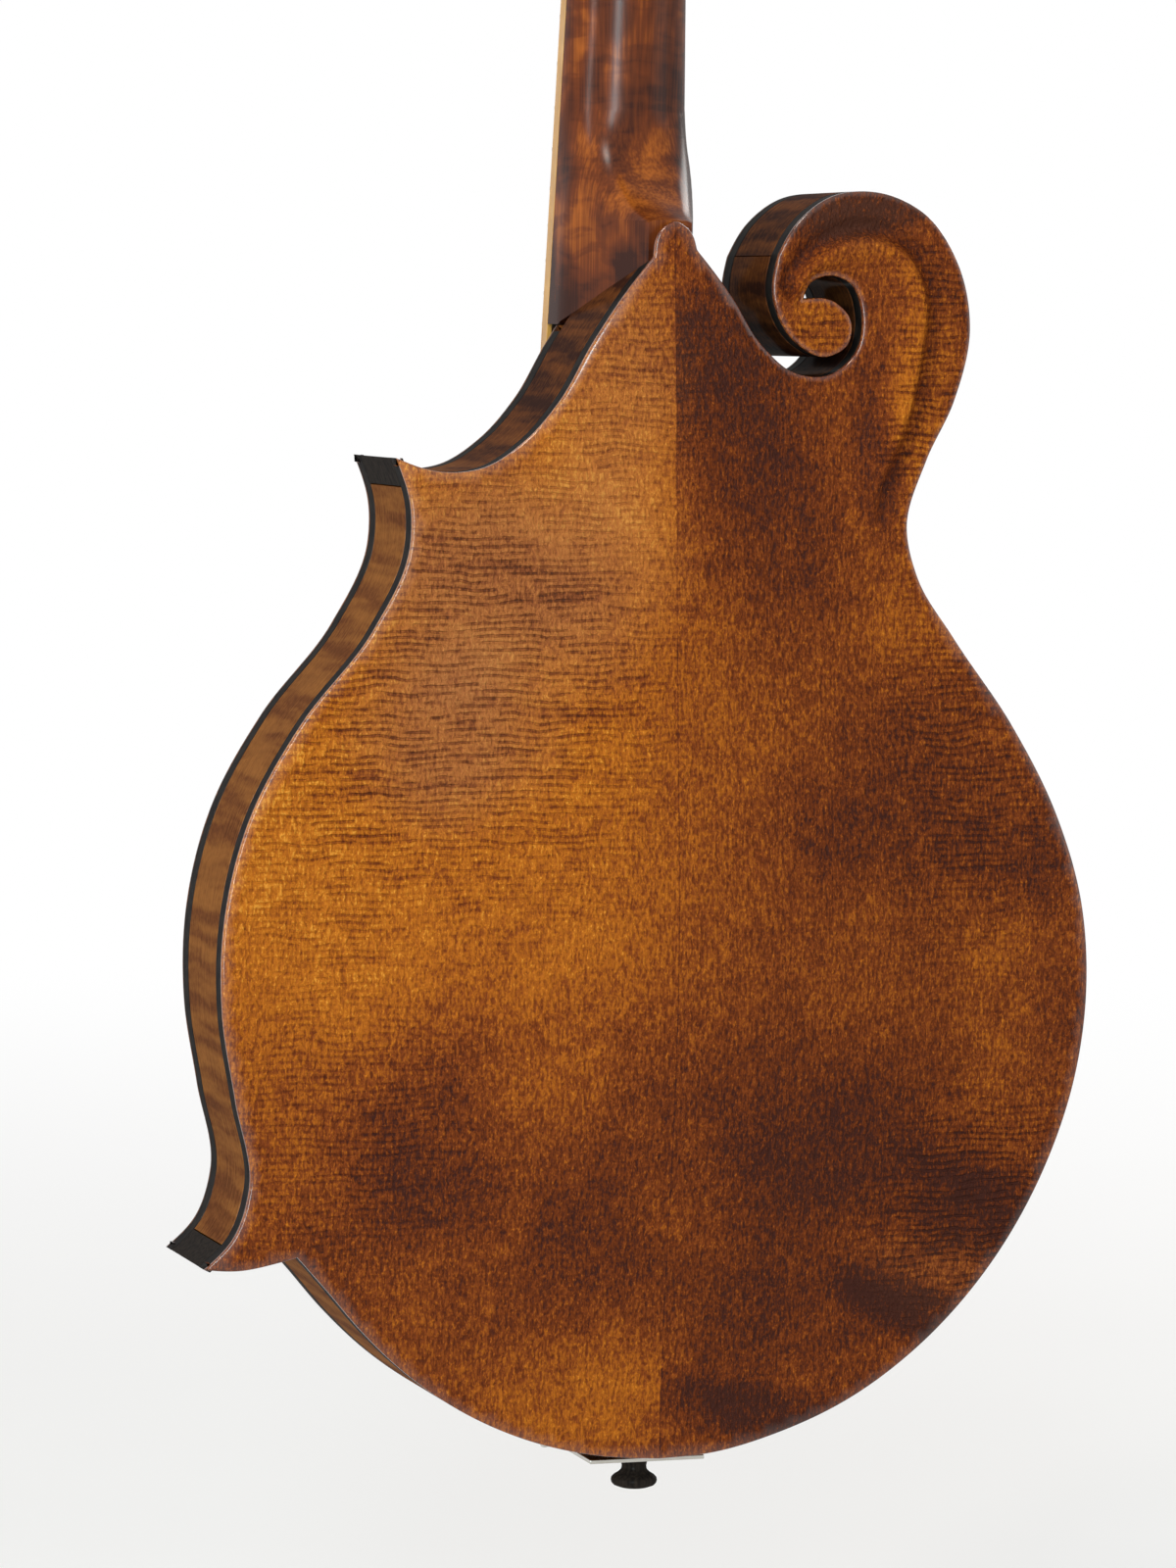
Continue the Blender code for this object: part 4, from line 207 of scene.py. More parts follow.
# Peghead outline, millimetres, in the peghead's own plane
HEAD_TREBLE_SIDE = ((14.3, 0.0), (17.0, 10.0), (23.5, 18.5), (30.3, 23.5))
HEAD_TREBLE_EDGE = ((30.3, 23.5), (27.6, 34.0), (26.2, 60.0), (26.4, 90.0), (28.5, 110.0),
                    (38.0, 133.0))
HEAD_TREBLE_HORN = ((38.0, 133.0), (30.0, 129.5), (21.0, 131.0), (15.5, 137.5))
HEAD_CREST = ((15.5, 137.5), (23.0, 138.5), (25.5, 147.0), (18.0, 157.0), (4.0, 162.0),
              (-9.0, 156.0), (-18.0, 143.0), (-27.0, 132.5), (-40.0, 130.0))
HEAD_BASS_EDGE = ((-40.0, 130.0), (-30.0, 112.0), (-26.6, 90.0), (-26.2, 60.0), (-27.6, 34.0),
                  (-30.3, 23.5))
HEAD_BASS_SIDE = ((-30.3, 23.5), (-23.5, 18.5), (-17.0, 10.0), (-14.3, 0.0))

# Frames and lengths that follow from the ones above
HEEL_HEIGHT = BUTTON_TREBLE[1] * MM
JOINT_HEIGHT = HEEL_HEIGHT - JOINT_LEAN
HEEL_TIP_HEIGHT = BUTTON_END[2][1] * MM - HEEL_INSET
BOARD_LENGTH = SCALE_LENGTH * (1 - 2 ** (-FRET_COUNT / 12)) + BOARD_END
NECK_TO_JOINT = SCALE_LENGTH * (1 - 2 ** (-JOINT_FRET / 12))
NECK_IN_BODY = (Matrix.Translation((0.0, -(BODY_DEPTH + BOARD_RISE)
                                    + NECK_TO_JOINT * math.sin(NECK_TILT),
                                    JOINT_HEIGHT + NECK_TO_JOINT * math.cos(NECK_TILT)))
                @ Matrix.Rotation(-NECK_TILT, 4, "X"))
HEAD_IN_NECK = (Matrix.Translation((0.0, HEAD_DROP, NUT_LENGTH + 2 * GAP))
                @ Matrix.Rotation(-HEAD_TILT, 4, "X"))
BODY = Matrix.Translation(-(NECK_IN_BODY @ Vector((0.0, NECK_DEPTH_NUT / 2, 0.0))))
NECK = BODY @ NECK_IN_BODY
HEAD = NECK @ HEAD_IN_NECK
BODY_IN_NECK = NECK_IN_BODY.inverted()
JOINT_SLOPE = Vector((0, HEEL_HEIGHT - JOINT_HEIGHT, -BODY_DEPTH)).normalized()
PLATE_TOP = HEAD_THICKNESS + GAP + TUNER_PLATE_THICKNESS
WORM_LEVEL = PLATE_TOP + GAP + WORM_RADIUS
WORM_DISTANCE = GEAR_RADIUS + WORM_ROOT_RADIUS + GAP
WORM_PITCH = 2 * math.pi * (GEAR_RADIUS + GEAR_ROOT_RADIUS) / 2 / GEAR_TEETH
BRIDGE_HEIGHT = (JOINT_HEIGHT + NECK_TO_JOINT * math.cos(NECK_TILT)
                 - SCALE_LENGTH * math.cos(NECK_TILT))
BRIDGE_TOP = -BODY_DEPTH - TOP_ARCH - BRIDGE_RISE
SADDLE_BOTTOM = BRIDGE_TOP - WHEEL_LIFT - WHEEL_THICKNESS - GAP
ROOT = "instrument"
POSTS = [(side * POST_X, POST_FIRST + i * POST_PITCH) for side in (-1, 1) for i in range(4)]
# How far the nut and each fret lie from the nut's face
FRETS = [SCALE_LENGTH * (1 - 2 ** (-n / 12)) for n in range(FRET_COUNT + 1)]


def string_row(number):
    """Course, places across the nut and the bridge, radius and post of a string."""
    course, half = number // 2, number % 2 - 0.5
    return (COURSES[course], (course - 1.5) * COURSE_PITCH_NUT + half * PAIR_PITCH_NUT,
            (course - 1.5) * COURSE_PITCH_BRIDGE + half * PAIR_PITCH_BRIDGE,
            STRING_RADII[COURSES[course]], number if number < 4 else 11 - number)


STRINGS = [string_row(number) for number in range(8)]



# Curves and outlines

def smooth_curve(knots, step=0.8):
    """Points in metres, about a step of millimetres apart, on a curve through the knots."""
    points = [np.array(knot, float) for knot in knots]
    runs = [np.linalg.norm(b - a) for a, b in zip(points, points[1:])]
    slopes = [(b - a) / run for a, b, run in zip(points, points[1:], runs)]
    tangents = [None] * len(points)
    for i in range(1, len(points) - 1):
        tangents[i] = (slopes[i] * runs[i - 1] + slopes[i - 1] * runs[i]) / (runs[i] + runs[i - 1])
    tangents[0] = 1.5 * slopes[0] - 0.5 * tangents[1]
    tangents[-1] = 1.5 * slopes[-1] - 0.5 * tangents[-2]
    dense = []
    for i, run in enumerate(runs):
        steps = max(2, round(run / step))
        for t in (k / steps for k in range(steps)):
            dense.append((2 * t**3 - 3 * t**2 + 1) * points[i]
                         + (t**3 - 2 * t**2 + t) * run * tangents[i]
                         + (3 * t**2 - 2 * t**3) * points[i + 1]
                         + (t**3 - t**2) * run * tangents[i + 1])
    return [Vector((p[0] * MM, p[1] * MM)) for p in dense + points[-1:]]


def chain(*stretches):
    return list(stretches[0]) + [p for stretch in stretches[1:] for p in stretch[1:]]


def inset_path(path, distance, closed=False, reach=8.0):
    """The path moved to its right-hand side, the wood's side, by up to reach at sharp corners."""
    count = len(path)
    runs = [(path[(i + 1) % count] - path[i]).normalized() for i in range(count)]
    normals = [Vector((run.y, -run.x)) for run in runs]
    moved = []
    for i, point in enumerate(path):
        if closed or 0 < i < count - 1:
            bend = 1 + normals[i - 1].dot(normals[i])
            moved.append(point + (normals[i - 1] + normals[i]) * (distance / max(1 / reach, bend)))
        else:
            moved.append(point + normals[i - 1 if i else 0] * distance)
    return moved


def trim_path(path, start=0.0, end=0.0):
    def cut(points, length):
        for i in range(len(points) - 1):
            run = (points[i + 1] - points[i]).length
            if run > length:
                return [points[i].lerp(points[i + 1], length / run)] + points[i + 1:]
            length -= run
        return points[-1:]
    path = cut(list(path), start) if start else list(path)
    return cut(path[::-1], end)[::-1] if end else path


def arc(radius, first, last, steps, centre=(0.0, 0.0)):
    """Points on an arc about the centre, from one angle in degrees to another."""
    angles = [math.radians(first + (last - first) * k / steps) for k in range(steps + 1)]
    return [(centre[0] + radius * math.cos(a), centre[1] + radius * math.sin(a)) for a in angles]


def circle(radius, sides):
    angles = [2 * math.pi * k / sides for k in range(sides)]
    return [(radius * math.cos(a), radius * math.sin(a)) for a in angles]


def inside(points, polygon):
    """Which of the points (n, 2) lie inside the polygon."""
    result = np.zeros(len(points), bool)
    for a, b in zip(polygon, polygon[1:] + polygon[:1]):
        crosses = (a.y > points[:, 1]) != (b.y > points[:, 1])
        slope = (b.x - a.x) / ((b.y - a.y) or 1e-12)
        result ^= crosses & (points[:, 0] < a.x + slope * (points[:, 1] - a.y))
    return result


def edge_distance(points, polygon):
    """Least distance of each point (n, 2) to the polygon's sides."""
    best = np.full(len(points), 1.0)
    for a, b in zip(polygon, polygon[1:] + polygon[:1]):
        start = np.array(a)
        side = np.array(b) - start
        t = np.clip(((points - start) @ side) / max(side @ side, 1e-12), 0, 1)
        best = np.minimum(best, np.linalg.norm(points - start - t[:, None] * side, axis=1))
    return best


shoulder, waist, underside, treble_tail, bass_bout, curl, bass_shoulder, button_end = map(
    smooth_curve, (TREBLE_SHOULDER, TREBLE_WAIST, POINT_UNDERSIDE, TREBLE_TAIL, BASS_BOUT,
                   SCROLL_CURL, BASS_SHOULDER, BUTTON_END))
RIM = chain(shoulder, waist, underside, treble_tail, bass_bout, curl, bass_shoulder)
BACK_OUTLINE = RIM + button_end[1:-1]


def at_joint(path):
    """A path end cut off level with the neck joint."""
    for i in range(len(path) - 1):
        if path[i].y >= JOINT_HEIGHT - GAP > path[i + 1].y:
            share = (path[i].y - JOINT_HEIGHT + GAP) / (path[i].y - path[i + 1].y)
            return [path[i].lerp(path[i + 1], share)] + path[i + 1:]
    return path


TOP_RIM = chain(at_joint(shoulder), waist, underside, treble_tail, bass_bout, curl,
                at_joint(bass_shoulder[::-1])[::-1])


def eased(share):
    """0 to 1 with a soft start and end."""
    share = np.clip(share, 0, 1)
    return share * share * (3 - 2 * share)


class Arch:
    """Height of a carved plate over its edge plane."""

    def __init__(self, outline, crown, heel_ridge):
        self.outline, self.crown, self.heel_ridge = outline, crown, heel_ridge
        corners = np.array([tuple(p) for p in outline])
        self.low = corners.min(axis=0) - 2 * CELL
        shape = tuple(((corners.max(axis=0) - self.low) / CELL).astype(int) + 4)
        grid = np.indices(shape).reshape(2, -1).T * CELL + self.low
        mask = inside(grid, outline[::3]).reshape(shape)
        sheet = np.zeros(shape)
        for _ in range(5000):
            sheet[1:-1, 1:-1] = (sheet[2:, 1:-1] + sheet[:-2, 1:-1] + sheet[1:-1, 2:]
                                 + sheet[1:-1, :-2] + 1.0) / 4
            sheet *= mask
        self.sheet = sheet / sheet.max()
        self.ridge = smooth_curve(SCROLL_RIDGE, 2.0)

    def level(self, cell):
        """The sheet at fractional cells, by smooth (cubic) interpolation along both axes."""
        corner = np.clip(cell.astype(int), 1, np.array(self.sheet.shape) - 3)
        weights = [(-0.5 * t**3 + t**2 - 0.5 * t, 1.5 * t**3 - 2.5 * t**2 + 1,
                    -1.5 * t**3 + 2 * t**2 + 0.5 * t, 0.5 * t**3 - 0.5 * t**2)
                   for t in (cell - corner).T]
        total = np.zeros(len(cell))
        for i in range(4):
            for j in range(4):
                total += (weights[0][i] * weights[1][j]
                          * self.sheet[corner[:, 0] + i - 1, corner[:, 1] + j - 1])
        return np.clip(total, 0, 1)

    def heights(self, points):
        arch = self.crown * self.level((points - self.low) / CELL) ** ARCH_POWER
        rise = np.clip((points[:, 1] - 0.190) / 0.075, 0, 1)
        fall = np.clip((JOINT_HEIGHT + 0.022 - points[:, 1]) / 0.045, 0, 1)
        spine = self.heel_ridge * rise * fall * np.exp(-(points[:, 0] / 0.024) ** 2)
        ridge, cove = self.scroll(points)
        edge = eased(edge_distance(points, self.outline[::2]) / 0.004)
        return arch + edge * (spine + RIDGE_HEIGHT * ridge - COVE_DEPTH * cove)

    def scroll(self, points):
        """Shares of the carved ridge that follows the scroll and of the cove outside it."""
        path = [np.array(p) for p in self.ridge]
        best = np.full(len(points), 1.0)
        along = np.zeros(len(points))
        side = np.ones(len(points))
        total = sum(np.linalg.norm(b - a) for a, b in zip(path, path[1:]))
        passed = 0.0
        for a, b in zip(path, path[1:]):
            run = np.linalg.norm(b - a)
            t = np.clip(((points - a) @ (b - a)) / run**2, 0, 1)
            offset = points - a - t[:, None] * (b - a)
            distance = np.linalg.norm(offset, axis=1)
            nearer = distance < best
            best = np.where(nearer, distance, best)
            along = np.where(nearer, (passed + t * run) / total, along)
            turn = (b - a)[0] * offset[:, 1] - (b - a)[1] * offset[:, 0]
            side = np.where(nearer, np.sign(turn), side)
            passed += run
        fade = eased((1 - along) / 0.35)
        outer = side < 0
        ridge = np.exp(-(best / np.where(outer, 0.0015, 0.0065)) ** 2)
        cove = np.exp(-((best - 0.0040) / 0.0026) ** 2) * outer
        return fade * ridge, fade * cove


back_arch = Arch(BACK_OUTLINE, BACK_ARCH, 0.0030)
top_arch = Arch(TOP_RIM, TOP_ARCH, 0.0020)


# Materials

class Graph:
    """A node tree with short calls for the nodes used here."""

    def __init__(self, tree):
        self.tree = tree

    def feed(self, socket, value):
        if isinstance(value, bpy.types.NodeSocket):
            self.tree.links.new(value, socket)
        elif isinstance(value, tuple) and len(value) == 3 and socket.type == "RGBA":
            socket.default_value = (*value, 1.0)
        else:
            socket.default_value = value

    def node(self, kind, inputs, output=0, **settings):
        """A new node with its settings and inputs; its output, or the node where that is None."""
        made = self.tree.nodes.new("ShaderNode" + kind)
        for setting, value in settings.items():
            setattr(made, setting, value)
        for key, value in inputs.items():
            self.feed(made.inputs[key], value)
        return made if output is None else made.outputs[output]

    def math(self, operation, a, b=0.0, clamp=False):
        return self.node("Math", {0: a, 1: b}, operation=operation, use_clamp=clamp)

    def times(self, a, b, clamp=False):
        return self.math("MULTIPLY", a, b, clamp)

    def add(self, first, *others, clamp=False):
        for i, other in enumerate(others, 1):
            first = self.math("ADD", first, other, clamp and i == len(others))
        return first

    def seen_rays(self):
        """1 for the rays that show the background: to the camera, mirrored or passed through."""
        camera, glossy, through = (self.node("LightPath", {}, "Is %s Ray" % kind)
                                   for kind in ("Camera", "Glossy", "Transmission"))
        return self.math("MAXIMUM", self.math("MAXIMUM", camera, glossy), through)


class Paint(Graph):
    """Builds one procedural material, node by node."""

    def __init__(self, name):
        self.material = bpy.data.materials.new(name)
        self.material.use_nodes = True
        super().__init__(self.material.node_tree)
        self.shader = self.tree.nodes["Principled BSDF"]
        self.place = self.node("TexCoord", {}, "Object")

    def stretched(self, scale, turn=(0, 0, 0), source=None):
        return self.node("Mapping", {"Vector": source or self.place, "Scale": scale,
                                     "Rotation": turn})

    def noise(self, scale, source=None, detail=2.0, roughness=0.5, distortion=0.0):
        """Noise of a scale, or of scale 1 on coordinates stretched by three factors."""
        if isinstance(scale, tuple):
            scale, source = 1.0, self.stretched(scale, source=source)
        return self.node("TexNoise", {"Vector": source or self.place, "Scale": scale,
                                      "Detail": detail, "Roughness": roughness,
                                      "Distortion": distortion}, "Fac")

    def shifted(self, amount, scale, source=None):
        """Coordinates pushed about by a soft noise, so that bands waver."""
        place = source or self.place
        cloud = self.node("TexNoise", {"Vector": place, "Scale": scale, "Detail": 1.0}, "Color")
        centred = self.node("VectorMath", {0: cloud, 1: (0.5,) * 3}, operation="SUBTRACT")
        return self.node("VectorMath", {0: centred, 1: (amount,) * 3, 2: place},
                         operation="MULTIPLY_ADD")

    def span(self, value, low, high, out_low=0.0, out_high=1.0):
        return self.node("MapRange", {"Value": value, "From Min": low, "From Max": high,
                                      "To Min": out_low, "To Max": out_high},
                         interpolation_type="SMOOTHSTEP")

    def ramp(self, value, stops):
        made = self.node("ValToRGB", {0: value}, None)
        elements = made.color_ramp.elements
        while len(elements) < len(stops):
            elements.new(0.5)
        for element, (position, color) in zip(elements, stops):
            element.position = position
            element.color = (*color, 1.0)
        return made.outputs[0]

    def axis(self, letter):
        return self.node("SeparateXYZ", {0: self.place}, "XYZ".index(letter))

    def layer(self, name):
        """A value that the mesh code left on the vertices."""
        return self.node("Attribute", {}, "Fac", attribute_name=name)

    def waves(self, pitch, source=None):
        """Level bands, one each pitch along Z."""
        return self.node("TexWave", {"Vector": source or self.place,
                                     "Scale": math.pi / 10 / pitch}, "Fac", bands_direction="Z")

    def patch(self, centre, radii, angle, source):
        """1 inside a soft ellipse in the x-z plane, 0 outside it."""
        place = self.node("Mapping", {"Vector": source, "Location": (centre[0], 0.0, centre[1]),
                                      "Rotation": (0.0, angle, 0.0),
                                      "Scale": (radii[0], 100.0, radii[1])},
                          vector_type="TEXTURE")
        return self.span(self.node("VectorMath", {0: place}, "Value", operation="LENGTH"),
                         0.25, 1.15, 1.0, 0.0)

    def patches(self, table, source):
        """Sum of the soft ellipses of a table in photo pixels, each by its strength."""
        total = 0.0
        across = self.axis("X")
        for centre, radii, angle, strength, *side in table:
            size = (radii[0] / PIXELS_PER_METRE, radii[1] / PIXELS_PER_METRE)
            soft = self.patch(on_back(centre), size, math.radians(angle), source)
            if side and side[0]:
                keep = "LESS_THAN" if side[0] < 0 else "GREATER_THAN"
                soft = self.times(soft, self.math(keep, across, 0.0))
            total = self.add(self.times(soft, strength), total)
        return total

    def bump(self, height, strength, distance, normal=None):
        inputs = {"Height": height, "Strength": strength, "Distance": distance}
        return self.node("Bump", {**inputs, "Normal": normal} if normal else inputs)

    def finish(self, color, roughness, normal=None, metallic=0.0, coat=0.0, coat_roughness=0.1,
               specular=0.5):
        for key, value in (("Base Color", color), ("Roughness", roughness), ("Normal", normal),
                           ("Metallic", metallic), ("Specular IOR Level", specular),
                           ("Coat Weight", coat), ("Coat Roughness", coat_roughness)):
            if value is not None:
                self.feed(self.shader.inputs[key], value)
        return self.material


def on_back(pixel, lift=0.006):
    """Where a pixel of the photograph falls on the back, as x and z in the row frame."""
    across = (pixel[0] - PHOTO_SIZE[0] / 2) / FOCAL_PIXELS
    down = (pixel[1] - PHOTO_SIZE[1] / 2) / FOCAL_PIXELS
    ray = Vector(VIEW_RIGHT) * across - Vector(VIEW_UP) * down - Vector(VIEW_BACK)
    point = Vector(CAMERA_AT) + ray * ((BODY.translation.y + lift - CAMERA_AT[1]) / ray.y)
    return point.x, point.z


# Tone of the back as the photograph shows it: stain and figure, with painted light, painted
# shade and a painted sheen. Centre and radii in photo pixels, angle in degrees, strength, and the
# side of the seam it keeps to (-1 bass, 1 treble, 0 both)
# Lighter patches: paler stain, and painted light where the back faces the light
LIT_AND_PALE_PATCHES = (
    ((420, 740), (420, 470), 0, 0.48, 0), ((630, 430), (120, 230), 0, 0.36, 1),
    ((290, 1010), (150, 300), 0, 0.12, 0), ((600, 1440), (190, 90), 0, 0.26, 1),
    ((952, 400), (48, 160), 6, 0.34, 0), ((945, 610), (80, 110), 0, 0.22, 0),
    ((1020, 1010), (70, 160), 0, 0.14, 0), ((835, 345), (60, 40), 0, 0.25, 0),
)
# Darker patches: darker stain, and painted shade where the back turns from the light and in the
# scroll's cove
SHADED_AND_DARK_PATCHES = (
    ((775, 480), (110, 180), 10, 0.22, -1), ((735, 330), (70, 110), -18, 0.22, -1),
    ((905, 845), (150, 70), 12, 0.16, 0), ((835, 1160), (180, 140), 0, 0.26, 0),
    ((430, 1140), (105, 150), 0, 0.20, 0), ((1000, 1250), (80, 60), -38, 0.26, 0),
    ((935, 1345), (130, 34), -30, 0.34, 0), ((985, 1200), (90, 30), -20, 0.16, 0),
    ((780, 1440), (130, 46), -8, 0.34, -1), ((1090, 860), (40, 100), 0, 0.14, 0),
    ((470, 740), (110, 90), -8, 0.14, 0), ((520, 590), (150, 60), 0, 0.20, 0),
    ((880, 215), (120, 34), 6, 0.40, 0), ((905, 470), (36, 150), 8, 0.22, 0),
    ((1040, 905), (50, 60), 0, 0.12, 0), ((600, 1250), (90, 130), 0, 0.14, 0),
    ((800, 1335), (210, 80), -10, 0.20, 0),
)
# Painted sheen: a painted reflection of the lamps that greys parts of the back
PAINTED_SHEEN_PATCHES = (
    ((510, 590), (210, 150), 0, 0.80), ((640, 400), (90, 170), 0, 0.45),
    ((470, 755), (120, 110), 0, 0.70),
    ((880, 215), (110, 40), 0, 0.40), ((985, 1330), (140, 60), -30, 0.25),
)
RIPPLE_PATCHES = (
    ((500, 690), (230, 300), 0, 0.95), ((1010, 760), (120, 300), 0, 0.55),
    ((955, 400), (60, 190), 0, 0.80), ((1000, 1250), (140, 190), 0, 0.80),
    ((350, 1150), (150, 200), 0, 0.40), ((330, 850), (120, 200), 0, 0.55),
    ((640, 400), (110, 170), 0, 0.50), ((840, 345), (50, 50), 0, 0.60),
)
GOLD = (0.560, 0.215, 0.0260)
HONEY = (0.430, 0.128, 0.0110)
AMBER = (0.310, 0.083, 0.0085)
CINNAMON = (0.172, 0.038, 0.0080)
RUSSET = (0.104, 0.022, 0.0060)
UMBER = (0.044, 0.0135, 0.0090)
# Colour of the painted sheen, a painted reflection of the lamps
PAINTED_SHEEN = (0.285, 0.118, 0.052)
BASE_TONE = 0.64
PIXELS_PER_METRE = 3655.0


def maple_back():
    """Book-matched maple under a hand-rubbed stain: blotches, ripple lines and crinkled pores,
    with painted light, painted shade, painted glints and a painted sheen.
    """
    paint = Paint("figured maple back")
    wavering = paint.shifted(0.016, 24.0)
    light, dark, sheen_cloud, figure = (paint.patches(table, wavering) for table in
                                 (LIT_AND_PALE_PATCHES, SHADED_AND_DARK_PATCHES, PAINTED_SHEEN_PATCHES, RIPPLE_PATCHES))
    tone = paint.add(paint.math("SUBTRACT", BASE_TONE, light), dark)
    for scale, reach in ((30.0, 0.07), (150.0, 0.05)):
        tone = paint.add(tone, paint.span(paint.noise(scale, detail=4.0), 0.3, 0.7,
                                          -reach, reach))
    line_place = paint.shifted(0.0008, 300.0, paint.shifted(0.0045, 55.0))
    broken = paint.noise((150.0, 150.0, 420.0))
    lines = paint.times(paint.span(paint.waves(0.00195, line_place), 0.45, 0.98),
                        paint.span(broken, 0.33, 0.58))
    bands = paint.noise((34.0, 34.0, 300.0), wavering, 1.0)
    ripple = paint.times(paint.add(lines, paint.span(bands, 0.50, 0.70, 0.0, 0.6)),
                         paint.add(figure, 0.14))
    streak = paint.noise((1500.0, 1500.0, 260.0))
    crinkle_place = paint.stretched((1.0, 1.0, 0.60), turn=(0.0, 0.45, 0.0))
    crinkle = paint.noise(1000.0, crinkle_place, roughness=0.55, distortion=0.4)
    # Noise for the painted glints, fine bright flecks painted into the colour
    painted_glint = paint.noise(1900.0, crinkle_place, 1.0)
    seam = paint.math("ABSOLUTE", paint.axis("X"))
    tone = paint.add(tone, paint.times(ripple, 0.30),
                     paint.span(streak, 0.32, 0.68, 0.11, -0.13),
                     # crinkled finish: its own mottle, with painted shade and painted light on its
                     # facets
                     paint.span(crinkle, 0.32, 0.68, 0.16, -0.14),
                     # painted highlights: fine bright glints on the crinkled finish
                     paint.span(painted_glint, 0.56, 0.72, 0.0, -0.26),
                     paint.span(seam, 0.00006, 0.00030, 0.22, 0.0),
                     # painted shade in the scroll's cove and a painted highlight along its ridge
                     paint.times(paint.layer("cove"), 0.26),
                     paint.times(paint.layer("ridge"), -0.14))
    tone = paint.add(paint.times(tone, 0.8), 0.12, clamp=True)
    color = paint.ramp(tone, ((0.0, GOLD), (0.12, HONEY), (0.344, AMBER), (0.56, CINNAMON),
                              (0.728, RUSSET), (0.92, UMBER)))
    # Painted sheen, a painted reflection of the lamps, strongest over the lighter tones
    sheen_cloud = paint.times(sheen_cloud, paint.span(tone, 0.9, 0.0, 0.15, 0.70), clamp=True)
    color = paint.node("Mix", {0: sheen_cloud, 6: color, 7: PAINTED_SHEEN}, 2, data_type="RGBA")
    height = paint.math("SUBTRACT", crinkle, paint.times(ripple, 0.45))
    normal = paint.bump(streak, 0.50, 0.00012, paint.bump(height, 1.0, 0.00110))
    return paint.finish(color, paint.span(crinkle, 0.3, 0.7, 0.50, 0.36), normal,
                        specular=0.02, coat=paint.layer("rim"), coat_roughness=0.12)


def maple_side():
    """Flamed maple of the ribs: bands across the rim, by length along it in the UV map."""
    paint = Paint("figured maple ribs")
    place = paint.node("UVMap", {}, uv_map="along")
    flame = paint.noise((170.0, 16.0, 1.0), paint.shifted(0.004, 60.0, place))
    fibre = paint.noise((60.0, 1500.0, 1.0), place)
    fleck = paint.noise(700.0)
    tone = paint.add(paint.span(flame, 0.34, 0.68, 0.0, 0.46),
                     paint.span(fibre, 0.3, 0.7, -0.12, 0.16),
                     paint.span(fleck, 0.3, 0.7, 0.0, 0.18),
                     paint.span(paint.axis("Z"), -0.262, -0.225, 0.0, 0.50), clamp=True)
    color = paint.ramp(tone, ((0.0, (0.255, 0.098, 0.023)), (0.55, (0.120, 0.038, 0.011)),
                              (1.0, (0.030, 0.011, 0.007))))
    return paint.finish(color, paint.span(fleck, 0.3, 0.7, 0.40, 0.54),
                        paint.bump(paint.add(fibre, fleck), 0.3, 0.0001), specular=0.0,
                        coat=0.04)


def maple_neck():
    """Neck wood, rubbed to a shine, with long amber flames."""
    paint = Paint("maple neck")
    flame = paint.noise((40.0, 40.0, 26.0), paint.shifted(0.02, 30.0), 3.0, 0.6)
    figure = paint.noise((70.0, 70.0, 330.0), paint.shifted(0.004, 90.0))
    fibre = paint.noise((1300.0, 1300.0, 26.0), detail=3.0)
    tone = paint.add(paint.span(flame, 0.40, 0.66, 0.72, 0.08),
                     paint.span(fibre, 0.3, 0.7, -0.12, 0.14),
                     paint.span(figure, 0.48, 0.68, 0.0, 0.16), clamp=True)
    # Painted shade: the bass side of the neck (towards negative x) is darker; the tone also
    # darkens towards the body
    tone = paint.add(tone, paint.span(paint.axis("X"), -0.013, 0.002, 0.22, 0.04),
                     paint.span(paint.axis("Z"), -0.200, -0.165, 0.45, 0.0), clamp=True)
    color = paint.ramp(tone, ((0.0, (0.36, 0.096, 0.012)), (0.5, (0.120, 0.026, 0.006)),
                              (1.0, (0.032, 0.008, 0.004))))
    return paint.finish(color, 0.40, paint.bump(fibre, 0.16, 0.00008), coat=0.34,
                        coat_roughness=0.24, specular=0.0)


def spruce():
    """Fine straight grain under an amber to brown shaded finish."""
    paint = Paint("spruce top")
    rings = paint.noise((820.0, 20.0, 6.0), paint.shifted(0.0006, 40.0), 1.0)
    silk = paint.noise((300.0, 30.0, 900.0))
    fleck = paint.noise(600.0)
    glow = paint.patch((0.0, BODY.translation.z + 0.150), (0.115, 0.155), 0.0,
                       paint.shifted(0.02, 16.0))
    tone = paint.add(paint.span(rings, 0.36, 0.64, -0.09, 0.12),
                     paint.span(silk, 0.35, 0.65, -0.03, 0.04), paint.times(glow, -0.72), 0.90,
                     clamp=True)
    color = paint.ramp(tone, ((0.0, (0.58, 0.25, 0.042)), (0.45, (0.28, 0.078, 0.010)),
                              (1.0, (0.030, 0.010, 0.005))))
    normal = paint.bump(rings, 0.2, 0.0001, paint.bump(fleck, 0.15, 0.0001))
    return paint.finish(color, paint.span(fleck, 0.3, 0.7, 0.32, 0.44), normal, specular=0.1,
                        coat=0.10, coat_roughness=0.30)


def plain(name, tint, stops, relief, bump, rough, by_relief=True, **finish):
    """A simple finish: one noise tints it, another gives its relief, and one its gloss."""
    paint = Paint(name)
    cloud = paint.noise(tint[0], None, *tint[1:])
    grain = paint.noise(relief[0], None, *relief[1:]) if relief else cloud
    if isinstance(rough, tuple):
        rough = paint.span(grain if by_relief else cloud, *rough)
    return paint.finish(paint.ramp(cloud, stops), rough, paint.bump(grain, *bump), **finish)


